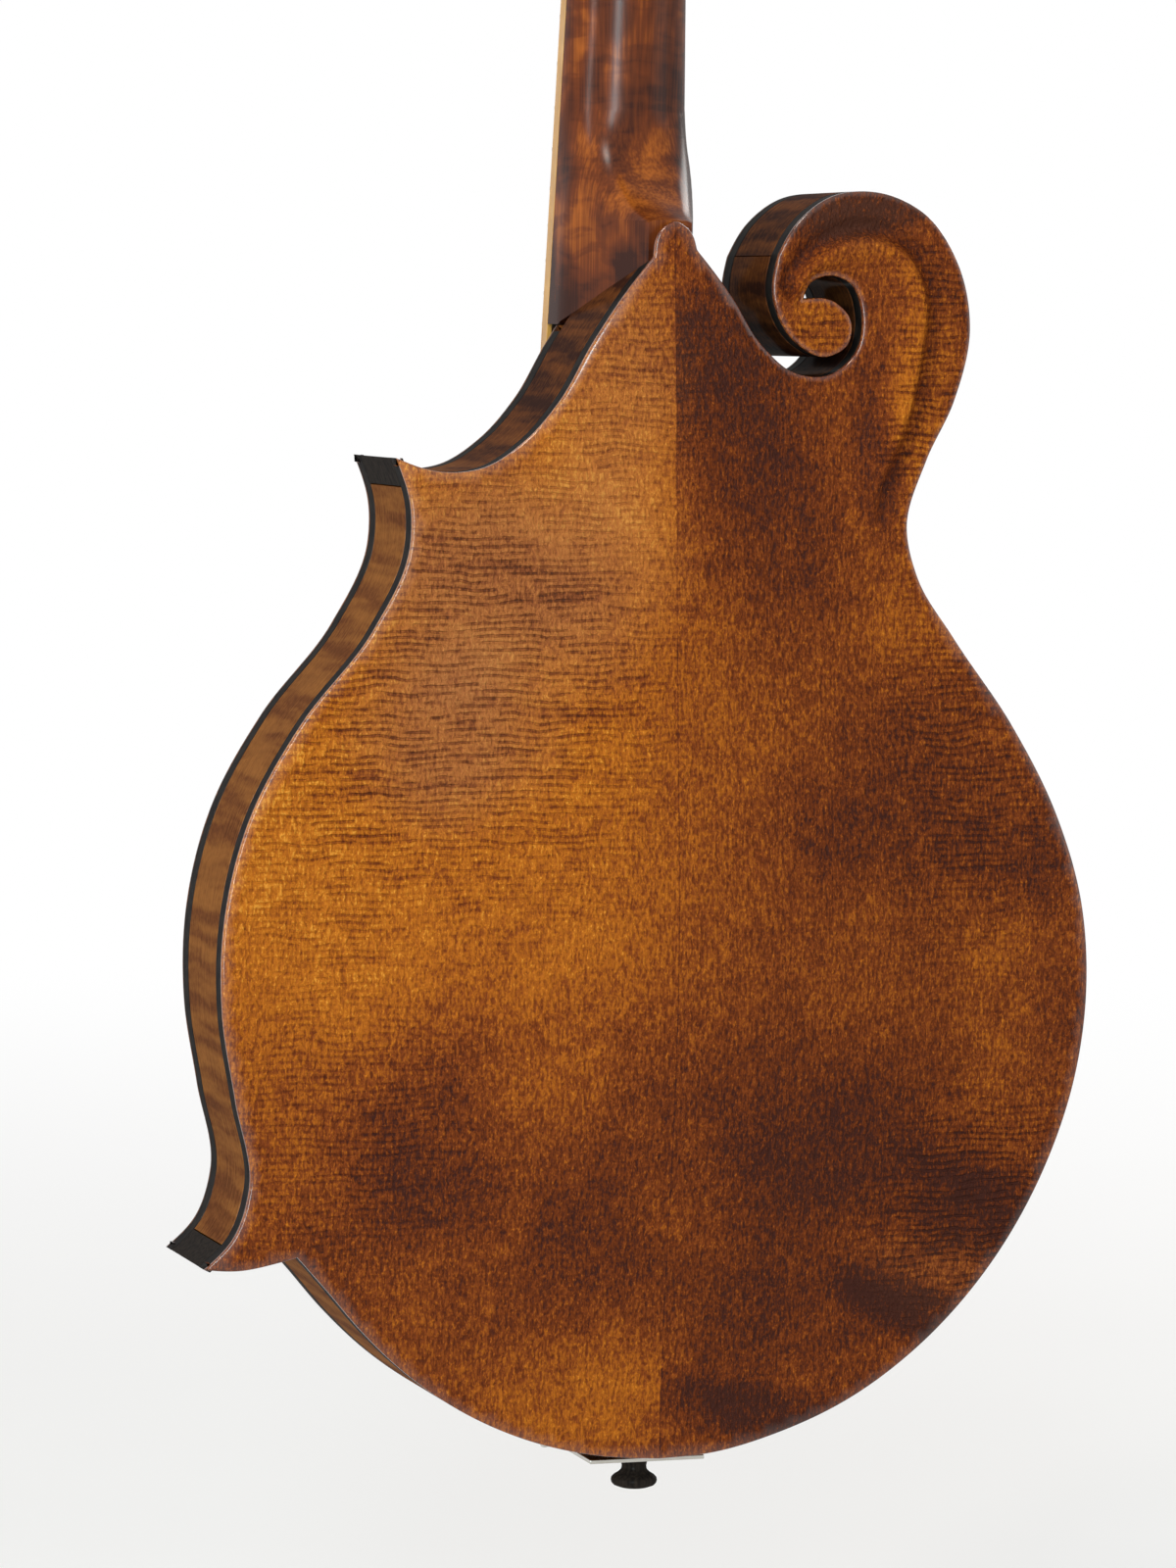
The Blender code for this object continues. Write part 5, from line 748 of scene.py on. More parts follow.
def metal(name, bright, dull, rough_low, rough_high, scale=240.0):
    paint = Paint(name)
    sheen_cloud = paint.noise(scale, None, 4.0, 0.6)
    brushed = paint.noise((2600.0, 2600.0, 220.0))
    rough = paint.add(paint.span(sheen_cloud, 0.3, 0.75, rough_low, rough_high),
                      paint.span(brushed, 0.3, 0.7, -0.03, 0.05))
    return paint.finish(paint.ramp(sheen_cloud, ((0.35, bright), (0.8, dull))), rough,
                        paint.bump(brushed, 0.07, 0.00003), metallic=1.0)


def wound_wire():
    """Bronze wrap of the two lower courses: fine ridges along the string."""
    paint = Paint("wound string")
    color = paint.ramp(paint.noise(300.0), ((0.3, (0.62, 0.42, 0.22)), (0.8, (0.42, 0.27, 0.13))))
    return paint.finish(color, 0.34, paint.bump(paint.waves(WRAP_PITCH), 0.8, 0.00005),
                        metallic=1.0)


def floor_paint():
    """Matt pale floor that fades into the white of the studio away from the instrument."""
    paint = Paint("studio floor")
    paint.finish(paint.ramp(paint.noise(3.0), ((0.3, (0.80, 0.80, 0.79)),
                                               (0.7, (0.83, 0.83, 0.82)))), 0.9)
    radius = paint.node("VectorMath", {0: paint.place}, "Value", operation="LENGTH")
    share = paint.times(paint.seen_rays(), paint.span(radius, 0.4, 2.4, 0.5, 1.0))
    mixed = paint.node("MixShader", {0: share, 1: paint.shader.outputs[0],
                                     2: paint.node("Emission", {})})
    paint.feed(paint.tree.nodes["Material Output"].inputs["Surface"], mixed)
    return paint.material


MAPLE_BACK = maple_back()
MAPLE_SIDE = maple_side()
MAPLE_NECK = maple_neck()
SPRUCE = spruce()
PLAIN_WOOD = plain("plain inner wood", ((700.0, 700.0, 24.0), 3.0),
                   ((0.3, (0.60, 0.40, 0.20)), (0.7, (0.44, 0.27, 0.13))), None,
                   (0.3, 0.0001), 0.75)
EBONY = plain("ebony", ((1100.0, 1100.0, 30.0), 3.0),
              ((0.35, (0.010, 0.008, 0.007)), (0.75, (0.030, 0.022, 0.017))),
              ((2400.0, 2400.0, 160.0), 1.0), (0.2, 0.00006), (0.35, 0.65, 0.30, 0.48),
              specular=0.0, coat=0.06, coat_roughness=0.22)
BLACK = plain("black binding", (260.0, 3.0),
              ((0.3, (0.008, 0.007, 0.007)), (0.75, (0.020, 0.017, 0.015))),
              ((900.0, 900.0, 900.0),), (0.08, 0.00004), (0.3, 0.7, 0.18, 0.32),
              by_relief=False, specular=0.0, coat=0.08, coat_roughness=0.15)
AGED = plain("aged binding", (90.0, 3.0),
             ((0.3, (0.56, 0.29, 0.060)), (0.7, (0.40, 0.185, 0.034))),
             ((900.0, 900.0, 60.0),), (0.1, 0.00005), (0.3, 0.7, 0.28, 0.40))
BONE = plain("bone", (160.0, 4.0), ((0.3, (0.80, 0.74, 0.60)), (0.7, (0.66, 0.57, 0.41))),
             ((900.0, 2600.0, 2600.0), 1.0), (0.12, 0.00005), (0.3, 0.7, 0.30, 0.42))
PEARL = plain("pearl inlay", (420.0, 3.0, 0.5, 1.5),
              ((0.25, (0.78, 0.80, 0.78)), (0.5, (0.62, 0.70, 0.70)),
               (0.75, (0.82, 0.74, 0.72))), None, (0.06, 0.00004), 0.22, coat=0.4)
NICKEL = metal("nickel", (0.55, 0.53, 0.49), (0.47, 0.44, 0.39), 0.15, 0.25, 110.0)
WIRE = metal("string steel", (0.62, 0.61, 0.58), (0.48, 0.46, 0.43), 0.24, 0.36, 500.0)
BRASS = metal("brass", (0.68, 0.48, 0.20), (0.46, 0.30, 0.12), 0.24, 0.40)
WOUND = wound_wire()


# Making pieces

def added(name, bm, matrix):
    """An object from a bmesh that is given in a local frame."""
    mesh = bpy.data.meshes.new(name)
    bm.to_mesh(mesh)
    bm.free()
    mesh.transform(matrix)
    made = bpy.data.objects.new(name, mesh)
    bpy.context.scene.collection.objects.link(made)
    return made


def finished(name, bm, paint, matrix, node, body=ROOT, sharp=30, bevel=0.0, blended=None):
    """A piece from a bmesh in a local frame: in place, painted, riding its body."""
    bmesh.ops.recalc_face_normals(bm, faces=bm.faces[:])
    made = added(name, bm, matrix)
    made.data.materials.append(paint)
    smooth(made, sharp)
    if bevel:
        edges = made.modifiers.new("edges", "BEVEL")
        edges.width, edges.segments, edges.limit_method = bevel, 2, "ANGLE"
        edges.angle_limit = math.radians(35)
        made.modifiers.new("normals", "WEIGHTED_NORMAL").keep_sharp = True
    if blended:
        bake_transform(made)
    else:
        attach(made, body)
    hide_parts(node)
    return made


def smooth(made, sharp):
    made.data.shade_smooth()
    made.data.set_sharp_from_angle(angle=math.radians(sharp))


def cut_away(made, bm, matrix):
    """Cut the shape in bm, given in a local frame, out of a piece."""
    bmesh.ops.recalc_face_normals(bm, faces=bm.faces[:])
    cutter = added("cutter", bm, matrix)
    modifier = made.modifiers.new("cut", "BOOLEAN")
    modifier.object = cutter
    modifier.solver = "EXACT"
    graph = bpy.context.evaluated_depsgraph_get()
    mesh = bpy.data.meshes.new_from_object(made.evaluated_get(graph), depsgraph=graph)
    made.modifiers.remove(modifier)
    made.data = mesh
    bpy.data.objects.remove(cutter, do_unlink=True)


def joined(bm, rings):
    """Faces between neighbouring rings with equal counts of vertices."""
    for first, second in zip(rings, rings[1:]):
        for i in range(len(first)):
            j = (i + 1) % len(first)
            bm.faces.new((first[i], first[j], second[j], second[i]))


def loft(sections, bm=None, closed=False, reverse=(True, False)):
    """Skin over sections with equal point counts, closed in a ring or with two caps.

    For the caps, reverse says which of them take their section backwards.
    """
    bm = bm or bmesh.new()
    rings = [[bm.verts.new(point) for point in section] for section in sections]
    joined(bm, rings + rings[:1] if closed else rings)
    if not closed:
        for ring, backwards in zip((rings[0], rings[-1]), reverse):
            bm.faces.new(ring[::-1] if backwards else ring)
    return bm


# Where a point u, v of a section at height h lies, for each axis of a shape
ALONG = {"X": lambda u, v, h: (h, u, v), "Y": lambda u, v, h: (u, h, v),
         "Z": lambda u, v, h: (u, v, h)}


def turned(profile, segments, centre=(0.0, 0.0), axis="Y", bm=None, bore=False):
    """A shape turned about an axis; its profile is a list of (radius, height)."""
    return loft([[ALONG[axis](centre[0] + u, centre[1] + v, height)
                  for u, v in circle(radius, segments)]
                 for radius, height in profile], bm, bore, (False, False))


def prism(polygon, low, high, axis="Y", bm=None):
    return loft([[ALONG[axis](p[0], p[1], level) for p in polygon] for level in (low, high)],
                bm, reverse=(False, True))


def soft_prism(outline, low, high, edge):
    """A flat plate in x and z with rounded edges, between two levels of y."""
    quarter = [i * math.pi / 8 for i in range(5)]
    rows = [(edge * (1 - math.sin(a)), low + edge * (1 - math.cos(a))) for a in quarter]
    rows += [(edge * (1 - math.sin(a)), high - edge * (1 - math.cos(a)))
             for a in quarter[::-1]]
    return loft([[(p.x, level, p.y) for p in inset_path(outline, inset, True, 2.0)]
                 for inset, level in rows], reverse=(False, True))


def tube(points, radius, sides=12):
    points = [Vector(p) for p in points]
    tangents = [(points[min(i + 1, len(points) - 1)] - points[max(i - 1, 0)]).normalized()
                for i in range(len(points))]
    side = tangents[0].orthogonal().normalized()
    sections = []
    for point, tangent in zip(points, tangents):
        side = (side - tangent * side.dot(tangent)).normalized()
        other = tangent.cross(side)
        sections.append([point + radius * (side * u + other * v)
                         for u, v in circle(1.0, sides)])
    return loft(sections)


def halved(bm, point, normal, parts=None):
    """Cut off what lies on the normal's side of a plane, and close the cut."""
    parts = parts or bm.verts[:] + bm.edges[:] + bm.faces[:]
    cut = bmesh.ops.bisect_plane(bm, geom=parts, dist=1e-7, plane_co=point, plane_no=normal,
                                 clear_outer=True)
    edges = [item for item in cut["geom_cut"] if isinstance(item, bmesh.types.BMEdge)]
    bmesh.ops.holes_fill(bm, edges=edges)


# Plates

def face_mesh(bm, loops, extra, heights, holes):
    """Triangles between the loops and extra points, lifted by the heights function."""
    coords, edges = [], []
    for loop in loops:
        start = len(coords)
        coords += [Vector((p.x, p.y)) for p in loop]
        edges += [(start + i, start + (i + 1) % len(loop)) for i in range(len(loop))]
    coords += [Vector(p) for p in extra]
    flat, _, triangles, origins, _, _ = delaunay_2d_cdt(coords, edges, [], 1, 1e-7)
    lifted = heights(np.array([(p.x, p.y) for p in flat]))
    made = [bm.verts.new((p.x, y, p.y)) for p, y in zip(flat, lifted)]
    middles = np.array([sum((flat[i] for i in t), Vector((0, 0))) / 3 for t in triangles])
    out = np.zeros(len(triangles), bool)
    for hole in holes:
        out |= inside(middles, hole)
    for triangle, skip in zip(triangles, out):
        if not skip:
            bm.faces.new([made[i] for i in triangle])
    verts = {source: made[i] for i, sources in enumerate(origins) for source in sources}
    rings, start = [], 0
    for loop in loops:
        rings.append([verts[start + i] for i in range(len(loop))])
        start += len(loop)
    for vert in made:
        if not vert.link_faces:
            bm.verts.remove(vert)
    return rings


def grid_points(outline, step, margin, holes, clear, box=None):
    """Points of a hexagonal grid inside the outline, clear of its edge and of the holes."""
    xs, zs = [p.x for p in outline], [p.y for p in outline]
    low_x, high_x, low_z, high_z = box or (min(xs), max(xs), min(zs), max(zs))
    rise = step * 0.87
    row, column = np.indices((int((high_z - low_z) / rise) + 1,
                              int((high_x - low_x) / step) + 1)).reshape(2, -1)
    found = np.stack((low_x + (column + 0.5 * (row % 2)) * step, low_z + row * step * 0.87), 1)
    found = found[inside(found, outline) & (edge_distance(found, outline) > margin)]
    for hole in holes:
        found = found[(edge_distance(found, hole) > clear) & ~inside(found, hole)]
    return found


def plate(name, node, outline, arch, front, holes, paint):
    """An arched plate with a rounded edge, its scroll carved on a finer grid."""
    edge, out = (-BODY_DEPTH, -1.0) if front else (0.0, 1.0)
    coarse = grid_points(outline, 0.0026, 0.0022, holes, 0.0008)
    x, z = coarse.T
    near = ((x > FINE_BOX[0]) & (x < FINE_BOX[1]) & (z > FINE_BOX[2]) & (z < FINE_BOX[3]))
    fine = grid_points(outline, 0.0009, 0.0011, holes, 0.0008, FINE_BOX)

    def outer(flat):
        return edge + out * arch.heights(flat)

    def inner(flat):
        share = np.clip((edge_distance(flat, outline[::3]) - 0.010) / 0.022, 0, 1)
        share = eased(share * np.clip((HEAD_BLOCK_END - flat[:, 1]) / 0.02, 0, 1))
        return edge - out * PLATE_EDGE + out * np.clip(arch.heights(flat), 0, 1) * share

    bm = bmesh.new()
    worn, ridge, cove = (bm.verts.layers.float.new(label) for label in ("rim", "ridge", "cove"))
    outer_rings = face_mesh(bm, [inset_path(outline, EDGE_ROUND, True)] + holes,
                            np.concatenate([coarse[~near], fine]), outer, holes)
    base = inset_path(outline, BINDING_THICKNESS + GAP, True)
    inner_rings = face_mesh(bm, [base] + holes, grid_points(outline, 0.008, 0.010, holes, 0.002),
                            inner, holes)
    rows = [outer_rings[0]]
    for u, v in arc(EDGE_ROUND, 45, 0, 2):
        rows.append([bm.verts.new((p.x, edge - out * (EDGE_ROUND - v), p.y))
                     for p in inset_path(outline, EDGE_ROUND - u, True)])
    lip = [[bm.verts.new((p.x, edge - out * PLATE_LIP, p.y)) for p in line]
           for line in (outline, base)]
    joined(bm, rows + lip + [inner_rings[0]])
    for pair in zip(outer_rings[1:], inner_rings[1:]):
        joined(bm, pair)
    for vert in (vert for ring in rows + lip[:1] for vert in ring):
        vert[worn] = 1.0
    # Where the back's paint puts painted shade (the cove) and a painted highlight (the ridge)
    shares = arch.scroll(np.array([(v.co.x, v.co.z) for v in bm.verts]))
    for vert, on_ridge, in_cove in zip(bm.verts, *shares):
        vert[ridge], vert[cove] = on_ridge, in_cove
    return finished(name, bm, paint, BODY, node, sharp=40)


def f_hole(side):
    """Outline of one f-hole: a tapered slot along an S curve between two round eyes."""
    steps, bend, length = 88, 0.17, 0.078
    headings, path = [math.radians(81)], [Vector((0, 0))]
    for i in range(steps):
        t = (i + 0.5) / steps
        curled = (max(0, bend - t) / bend) ** 1.1 + (max(0, t - 1 + bend) / bend) ** 1.1
        headings.append(headings[-1] + math.radians(205) * 2.1 * curled / steps / bend)
        path.append(path[-1] + Vector((math.cos(headings[-1]), math.sin(headings[-1])))
                    * length / steps)
    left, right = [], []
    for i, heading in enumerate(headings):
        toward_end = min(i, steps - i) / steps * length
        eye = 0.0042 if i < steps / 2 else 0.0036
        slot = 0.0013 + 0.0012 * math.sin(math.pi * i / steps) ** 2
        if toward_end < 2 * eye:
            slot = max(slot if toward_end > eye else 0.0,
                       math.sqrt(max(0.0, eye**2 - (toward_end - eye) ** 2)))
        reach = slot + (0.0016 if i == steps // 2 else 0.0)
        normal = Vector((-math.sin(heading), math.cos(heading)))
        point = path[i] - path[steps // 2]
        left.append(point + normal * reach)
        if slot >= 1e-6:
            right.append(point - normal * reach)
    turn = Matrix.Rotation(math.pi / 2 - headings[steps // 2] - math.radians(6), 2)
    return [Vector((side * (0.049 + p.x), 0.163 + p.y))
            for p in (turn @ point for point in left + right[::-1])]


# Sides

def tucked(path, rail, inset):
    """Keep a rail off the far side of a sharp point: there it ends on the middle line."""
    for tip in range(1, len(path) - 1):
        before = (path[tip - 1] - path[tip]).normalized()
        after = (path[tip + 1] - path[tip]).normalized()
        half = before.angle(after) / 2
        if half > SHARP_HALF_ANGLE:
            continue
        for i, point in enumerate(path):
            limit = (point - path[tip]).length * math.tan(half) * 0.95
            if limit < inset:
                rail[i] = point.lerp(rail[i], limit / inset)
    return rail


def running_length(points):
    lengths = [0.0]
    for a, b in zip(points, points[1:]):
        lengths.append(lengths[-1] + (b - a).length)
    return lengths


def swept(path, profile, before, after):
    """A strip along the rim, unrolled in its UV map; its profile is a list of (inset, y)."""
    line = [*before, *path, *after]
    rails = [tucked(path, inset_path(line, inset)[len(before):len(before) + len(path)], inset)
             for inset, _ in profile]
    sections = [[(rail[i].x, y, rail[i].y) for rail, (_, y) in zip(rails, profile)]
                for i in range(len(path))]
    along = running_length(path)
    around = running_length([Vector(p) for p in sections[0] + sections[0][:1]])
    bm = bmesh.new()
    layer = bm.loops.layers.uv.new("along")
    loft(sections, bm)
    for number, face in enumerate(bm.faces):
        k, i = divmod(number, len(profile))
        if k < len(path) - 1:
            corners = ((along[k], around[i]), (along[k], around[i + 1]),
                       (along[k + 1], around[i + 1]), (along[k + 1], around[i]))
            for item, corner in zip(face.loops, corners):
                item[layer].uv = corner
    return bm


def joint_planes(bm):
    """Cut the ends of a rim strip off at the sloping face that the heel seats on."""
    near = [face for face in bm.faces if all(abs(v.co.x) < HEEL_REACH for v in face.verts)]
    parts = set(near)
    for face in near:
        parts.update(face.verts)
        parts.update(face.edges)
    halved(bm, Vector((0, -BODY_DEPTH, JOINT_HEIGHT - GAP)), -JOINT_SLOPE, list(parts))


def under_cap(line):
    """The part of a line that a cap covers, up to the tip where the line starts."""
    cut = trim_path(line, CAP_REACH)[0]
    reach = (cut - line[0]).length - 1e-4
    return [cut] + [p for p in line[::-1] if (p - line[0]).length < reach]


def sides():
    low = PLATE_LIP + GAP
    high = low + BINDING_HEIGHT
    step = high + GAP
    tongue = BINDING_THICKNESS + GAP
    seat = PLATE_EDGE + GAP
    half = [(RIB_THICKNESS, -seat), (tongue, -seat), (tongue, -step), (RIB_EDGE, -step),
            (0.0, -step - RIB_EDGE)]
    rib = half + [(inset, -BODY_DEPTH - y) for inset, y in half[::-1]]
    back = [(BINDING_THICKNESS, -low), (BEAD, -low), (0.0, -low - BEAD), (0.0, -high + BEAD),
            (BEAD, -high), (BINDING_THICKNESS, -high)]
    front = [(inset, -BODY_DEPTH - y) for inset, y in back]
    reach = CAP_REACH + GAP
    for name, path, profile, before, after in (
            ("rib_treble_shoulder", trim_path(shoulder, 0.0, reach), rib, [], []),
            ("rib_treble_waist", trim_path(waist, reach, reach), rib, [], []),
            ("rib_treble_tail", trim_path(chain(underside, treble_tail), reach, GAP / 2), rib,
             [], [bass_bout[1]]),
            ("rib_bass", trim_path(bass_bout, GAP / 2, GAP / 2), rib, [treble_tail[-2]],
             [curl[1]]),
            ("rib_scroll", trim_path(chain(curl, bass_shoulder), GAP / 2), rib,
             [bass_bout[-2]], []),
            ("binding_back", RIM, back, [], []),
            ("binding_top", trim_path(TOP_RIM, 0.002, 0.002), front, [], [])):
        bm = swept(path, profile, before, after)
        if name in ("rib_treble_shoulder", "rib_scroll", "binding_back"):
            joint_planes(bm)
        ending, paint = ("_wood", MAPLE_SIDE) if profile is rib else ("_strip", BLACK)
        finished(name + ending, bm, paint, BODY, name)
    for name, before, after in (("point_cap_upper", shoulder, waist),
                                ("point_cap_lower", waist, underside)):
        rim = under_cap(before[::-1]) + under_cap(after)[-2::-1]
        finished(name + "_ebony", prism(rim, -step, step - BODY_DEPTH), EBONY, BODY, name,
                 bevel=0.0002)


# Neck and peghead

def board_half_width(along):
    slope = (NECK_HALF_WIDTH_JOINT - NECK_HALF_WIDTH_NUT) / NECK_TO_JOINT
    return NECK_HALF_WIDTH_NUT + slope * along


def neck_section(along, top, depth, half_width, heel_share):
    """A round neck section that turns into the squarer one of the heel."""
    section = []
    for u, v in arc(1.0, 0, 180, 48):
        y = top + (depth - top) * v
        body_y = (NECK_IN_BODY @ Vector((0, y, -along))).y
        taper = min(1.0, max(0.0, (body_y + BODY_DEPTH) / BODY_DEPTH))
        heel = HEEL_HALF_WIDTH - (HEEL_HALF_WIDTH - BUTTON_TREBLE[0] * MM) * taper
        heel_x = math.copysign(min(half_width, heel) * abs(u) ** 0.22, u)
        section.append((half_width * u * (1 - heel_share) + heel_x * heel_share, y, -along))
    return section


def neck_shaft():
    top = BOARD_THICKNESS + GAP
    heel_end = -(BODY_IN_NECK @ Vector((0, 0, HEEL_TIP_HEIGHT))).z
    heel_start = heel_end - HEEL_CURVE_LENGTH
    sections = [neck_section(-0.022, 0.0125, 0.0195, 0.008, 0.0),
                neck_section(-0.017, 0.0105, 0.0195, 0.0100, 0.0),
                neck_section(-0.012, 0.0085, 0.0195, 0.0115, 0.0),
                neck_section(-0.0040, top, 0.0207, NECK_HALF_WIDTH_NUT, 0.0)]
    stations = []
    for i in range(31):
        depth = NECK_DEPTH_NUT + (NECK_DEPTH_HEEL - NECK_DEPTH_NUT) * i / 30
        stations.append((heel_start * i / 30, depth, 0.0))
    for i in range(1, 41):
        step = math.sin(math.pi / 2 * i / 40)
        rise = 1 - math.sqrt(max(0.0, 1 - step**2))
        stations.append((heel_start + HEEL_CURVE_LENGTH * step,
                         NECK_DEPTH_HEEL + (0.060 - NECK_DEPTH_HEEL) * rise, step**0.7))
    for i in range(1, 7):
        stations.append((heel_end + (NECK_TO_JOINT + 0.014 - heel_end) * i / 6, 0.062, 1.0))
    sections += [neck_section(along, top, depth, board_half_width(along), heel_share)
                 for along, depth, heel_share in stations]
    bm = loft(sections)
    for point, normal in (((0, -PLATE_EDGE - GAP, 0), (0, 1, 0)),
                          ((0, -BODY_DEPTH, JOINT_HEIGHT), JOINT_SLOPE),
                          ((0, 0, JOINT_HEIGHT), (0, 0, -1))):
        halved(bm, BODY_IN_NECK @ Vector(point), BODY_IN_NECK.to_3x3() @ Vector(normal))
    finished("neck_shaft", bm, MAPLE_NECK, NECK, "neck", sharp=38, bevel=0.0003)


def peghead():
    outline = chain(*map(smooth_curve, (HEAD_TREBLE_SIDE, HEAD_TREBLE_EDGE, HEAD_TREBLE_HORN,
                                        HEAD_CREST, HEAD_BASS_EDGE, HEAD_BASS_SIDE)))[:-1]
    hole = POST_RADIUS + 2 * GAP
    for name, node, low, high, edge, paint in (
            ("peghead_core", "neck", OVERLAY_THICKNESS + GAP, HEAD_THICKNESS, 0.0009,
             MAPLE_NECK),
            ("peghead_face", "peghead_overlay", 0.0, OVERLAY_THICKNESS, 0.0003, EBONY)):
        made = finished(name, soft_prism(outline, low, high, edge), paint, HEAD, node, sharp=40)
        holes = bmesh.new()
        for place in POSTS:
            turned([(hole, -0.003), (hole, HEAD_THICKNESS + 0.002)], 32, place, bm=holes)
        cut_away(made, holes, HEAD)
        smooth(made, 40)
    profile = [(POST_RADIUS + GAP, -0.0012), (POST_RADIUS * 1.3, -0.0013),
               (BUSHING_FLANGE * 0.9, -0.0006), (BUSHING_FLANGE, -0.0002),
               (BUSHING_FLANGE, 0.0001), (POST_RADIUS + GAP, 0.0001)]
    for number, place in enumerate(POSTS, 1):
        finished("bushing_%d" % number, turned(profile, 48, place, bore=True), NICKEL, HEAD,
                 "peghead_overlay", sharp=35)


def screw(name, node, x, z, level, out, radius, rise):
    """Round-headed screw in the peghead's frame, with a slot across its head."""
    profile = [(radius, level - out * 0.0003), (radius, level + out * rise * 0.15)]
    profile += [(radius * math.cos(a), level + out * rise * (0.15 + 0.85 * math.sin(a)))
                for a in (0.4, 0.8, 1.2)]
    made = finished(name, turned(profile, 24, (x, z)), NICKEL, HEAD, node, sharp=35)
    long, wide = radius * 1.2, radius * 0.14
    slot = [(x - long, z - wide), (x + long, z - wide), (x + long, z + wide),
            (x - long, z + wide)]
    cut_away(made, prism(slot, level + out * rise * 0.5, level + out * rise * 1.6), HEAD)


def truss_cover():
    """Bell-shaped cover over the rod's nut, held by two small screws."""
    half = smooth_curve(((0.0, 3.0), (6.0, 4.5), (7.6, 12.0), (4.4, 21.0), (0.0, 28.0)), 0.5)
    outline = half + [Vector((-p.x, p.y)) for p in half[-2:0:-1]]
    face = -GAP - 0.0011
    finished("truss_cover_plate", soft_prism(outline, face, -GAP, 0.00025), EBONY, HEAD,
             "truss_rod_cover", sharp=45)
    for number, z in enumerate((0.0065, 0.0240), 1):
        screw("truss_screw_%d" % number, "truss_rod_cover", 0.0, z, face, -1.0, 0.0013, 0.0006)


# Fretboard and nut

def fretboard():
    start, end = board_half_width(0), board_half_width(BOARD_LENGTH)
    wrap = BOARD_BINDING
    side = wrap + 0.0001
    inner = [(side - start, 0), (start - side, 0), (end - side, side - BOARD_LENGTH),
             (side - end, side - BOARD_LENGTH)]
    finished("board", prism(inner, 0.0, BOARD_THICKNESS), EBONY, NECK, "fretboard",
             bevel=0.00015)
    edge = [(-start, 0), (wrap - start, 0), (wrap - end, wrap - BOARD_LENGTH),
            (end - wrap, wrap - BOARD_LENGTH), (start - wrap, 0), (start, 0),
            (end, -BOARD_LENGTH), (-end, -BOARD_LENGTH)]
    finished("board_binding", prism(edge, 0.0001, BOARD_THICKNESS), AGED, NECK,
             "fretboard_binding", bevel=0.0002)
    frets = bmesh.new()
    for along in FRETS[1:]:
        half = board_half_width(along) - 0.0001
        loft([[(x, 0.0001 - (FRET_HEIGHT + 0.0001) * v**0.8 * lift, FRET_WIDTH / 2 * u - along)
               for u, v in arc(1.0, 0, 180, 8)]
              for x, lift in ((-half, 0.35), (-half + 0.0006, 1.0), (half - 0.0006, 1.0),
                              (half, 0.35))], frets)
    finished("fret_wires", frets, NICKEL, NECK, "fretboard", sharp=50)
    dots, side_dots = bmesh.new(), bmesh.new()
    for number in (5, 7, 10, 12, 15):
        along = (FRETS[number - 1] + FRETS[number]) / 2
        reach = board_half_width(along)
        for shift in (-1, 1) if number == 12 else (0,):
            turned([(0.0028, -0.00006), (0.0028, 0.0004)], 40, (0.0075 * shift, -along),
                   bm=dots)
            turned([(0.0008, -reach - 0.00006), (0.0008, -reach + 0.0004)], 24,
                   (BOARD_THICKNESS * 0.45, 0.0022 * shift - along), "X", side_dots)
    finished("position_dots", dots, PEARL, NECK, "fretboard")
    finished("side_dots", side_dots, EBONY, NECK, "fretboard_binding")


def notch(x, slots, depth, flare):
    """How far a crest is cut down at x; slots are the (place, radius) of the strings."""
    return max(depth * max(0.0, 1 - (abs(x - centre) / (radius * flare)) ** 4)
               for centre, radius in slots)


def nut():
    half = NECK_HALF_WIDTH_NUT - 0.0002
    slots = [(nut_x, radius) for _, nut_x, _, radius, _ in STRINGS]
    stations = {-half, half, -half + 0.0004, half - 0.0004}
    stations |= {x + k * r * 0.35 for x, r in slots for k in range(-5, 6)}
    sections = []
    for x in sorted(stations):
        top = -NUT_HEIGHT - 0.0002 + notch(x, slots, 0.00055, 1.5)
        if abs(x) > half - 1e-6:
            top += 0.0004
        sections.append([(x, BOARD_THICKNESS, GAP), (x, top + 0.0002, GAP), (x, top, GAP * 2),
                         (x, top + 0.0003, NUT_LENGTH * 0.6), (x, top + 0.0012, NUT_LENGTH),
                         (x, BOARD_THICKNESS, NUT_LENGTH)])
    finished("nut_bone", loft(sections), BONE, NECK, "nut", sharp=28)


# Tuners

def wind_radius(radius):
    return POST_WAIST_RADIUS + radius + GAP + 0.00005


def wind_level(radius):
    return -0.0038 - radius


def tangent_angle(nut_x, number, radius):
    """Where on its post a string from the nut arrives, as an angle about the post."""
    place = Vector(POSTS[number])
    away = Vector((nut_x, 0.0)) - place
    lean = math.acos(wind_radius(radius) / away.length)
    return math.atan2(away.y, away.x) + (lean if place.x < 0 else -lean)


def winding_points(nut_x, number, radius):
    angle = tangent_angle(nut_x, number, radius)
    sense = 1 if number < 4 else -1
    steps = round(WIND_TURNS * 32)
    points = []
    for i in range(steps + 1):
        turns = WIND_TURNS * i / steps
        around = angle + sense * 2 * math.pi * turns
        points.append(Vector((wind_radius(radius) * math.cos(around),
                              wind_level(radius) - (2 * radius + WIND_SPACE) * turns,
                              wind_radius(radius) * math.sin(around))))
    first = (points[0] - points[4]).normalized()
    centre = Vector((0, points[-1].y, 0))
    return [points[0] + first * 2 * radius, *points, points[-1].lerp(centre, 0.2),
            points[-1].lerp(centre, 0.6)]


